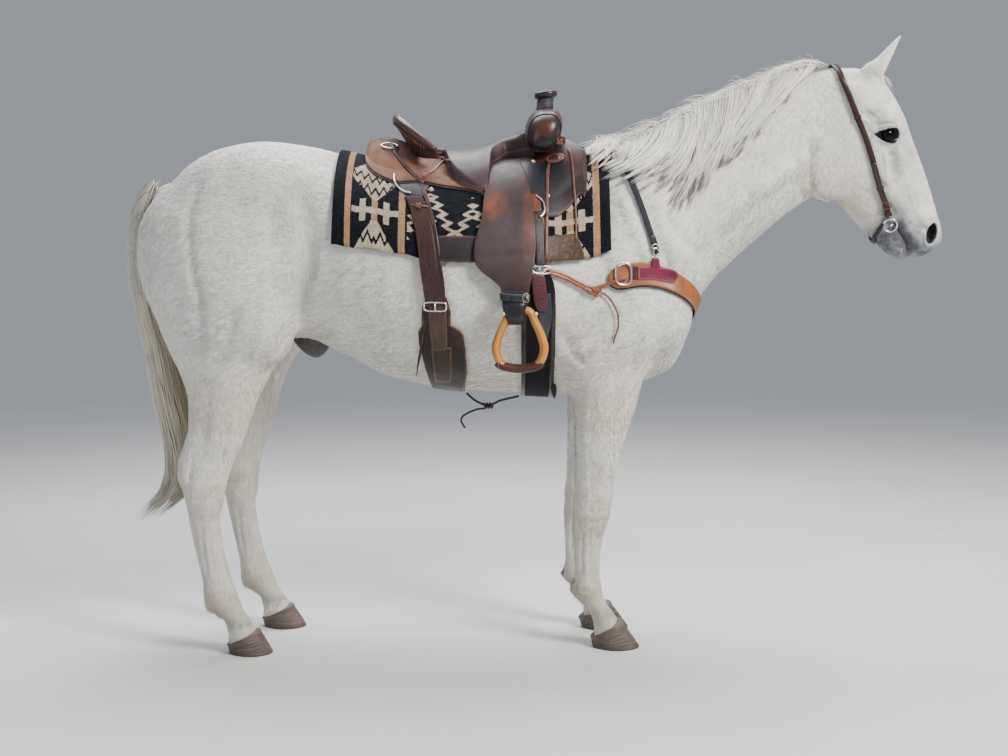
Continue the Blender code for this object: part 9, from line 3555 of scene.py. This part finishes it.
def underparts():
    """The sheath's skin."""
    look = Look("sheath", 0.55, Specular_IOR_Level=0.4)
    fold = look.noise((60, 200, 60), 4)
    look.colour(look.mix(look.span(fold, 0.3, 0.7), (0.075, 0.066, 0.068), (0.030, 0.027, 0.030)))
    look.bump(look.math("ADD", fold, look.math("MULTIPLY", look.noise(320, 3), 0.5)), 0.004, 0.6)
    a = np.arange(40) * 2 * math.pi / 40
    rings = []
    for t in np.linspace(0.03, math.pi - 0.03, 26):
        h = math.cos(t)
        taper = 1 - 0.25 * max(0.0, -h)
        fold_of = 1 + 0.035 * np.sin(a * 9 + 2 * h) * math.sin(t) ** 2
        x = -0.715 + 0.062 * math.sin(t) * np.cos(a) * taper * fold_of - 0.012 * h
        rings.append(
            np.stack(
                [x, 0.045 * math.sin(t) * np.sin(a) * taper * fold_of, np.full(40, 0.978 + 0.062 * h)], 1
            )
        )
    piece("sheath_skin", lofted(rings), look, replaces="sheath")


def tack():
    """All that the horse wears, from the blanket up; the laces and tugs lie on what is made before them."""
    blanket()
    skirts()
    seat()
    fork()
    horn()
    fenders()
    stirrups()
    parts = {ob.name: ob for ob in bpy.data.objects}
    names = ["saddle_blanket", "jockey_rear", "fork_skirt", "saddle_seat_hide", "fender_hide_right"]
    steel = rear_rigging()
    flank()
    girth(steel)
    band = collar(steel)
    base = [parts[n] for n in names] + [
        bpy.data.objects["billet_right"], bpy.data.objects["latigo_strap_right"],
        bpy.data.objects["cinch_tongue_wine_right"], bpy.data.objects["girth"], band
    ]
    under = Under(base)
    laces(under)
    tugs(under)
    bridle(steel)
    underparts()


hide = horse()
coat(hide)
feathers(hide)
hooves()
eyes()
ears()
HAIR = hair_look("hair", 0.44, 0.2)
mane(HAIR)
forelock(HAIR)
tail(HAIR)
tack()


# ---------------------------------------------------------------- floor and light


SKY, SKY_LIGHT = (0.84, 0.89, 1.0), 0.38


def studio():
    """The floor, the background's light and three lamps."""
    bpy.ops.mesh.primitive_plane_add(size=60, location=(0, 0, 0))
    floor = bpy.context.object
    floor.name = "floor"
    look = Look("floor", 0.75)
    shade = look.noise(1.3, 5)
    look.colour(look.mix(look.span(shade, 0.3, 0.7), (0.60, 0.60, 0.59), (0.66, 0.66, 0.65)))
    look.bump(look.noise(180, 2), 0.001, 0.3)
    # further off it fades into the light of the background
    far = look.node("VectorMath", {0: look.here}, operation="LENGTH").outputs["Value"]
    glow = look.node("Emission", {"Color": (*SKY, 1), "Strength": SKY_LIGHT}).outputs[0]
    blend = look.node(
        "MixShader", {0: look.span(far, 3.2, 9.0), 1: look.shader.outputs[0], 2: glow}
    ).outputs[0]
    look.tree.links.new(blend, look.tree.nodes["Material Output"].inputs["Surface"])
    floor.data.materials.append(look.material)

    world = bpy.data.worlds.new("world")
    bpy.context.scene.world = world
    world.use_nodes = True
    world.node_tree.nodes["Background"].inputs["Color"].default_value = (*SKY, 1)
    world.node_tree.nodes["Background"].inputs["Strength"].default_value = SKY_LIGHT

    def lamp(name, place, aim, size, power, colour):
        data = bpy.data.lights.new(name, "AREA")
        data.shape, data.size, data.size_y, data.energy, data.color = "RECTANGLE", *size, power, colour
        ob = bpy.data.objects.new(name, data)
        bpy.context.scene.collection.objects.link(ob)
        ob.location = place
        ob.rotation_euler = (Vector(aim) - Vector(place)).to_track_quat("-Z", "Y").to_euler()

    lamp("key", (3.4, -3.2, 4.6), (0, 0, 1.0), (1.8, 1.8), 560, (1.0, 0.965, 0.91))
    lamp("fill", (-4.5, -4.2, 2.2), (-0.2, 0, 1.1), (3.5, 3.0), 70, (0.88, 0.94, 1.0))
    lamp("top", (-0.6, 1.6, 5.0), (0, 0, 1.3), (4.0, 3.0), 400, (0.97, 0.98, 1.0))


studio()
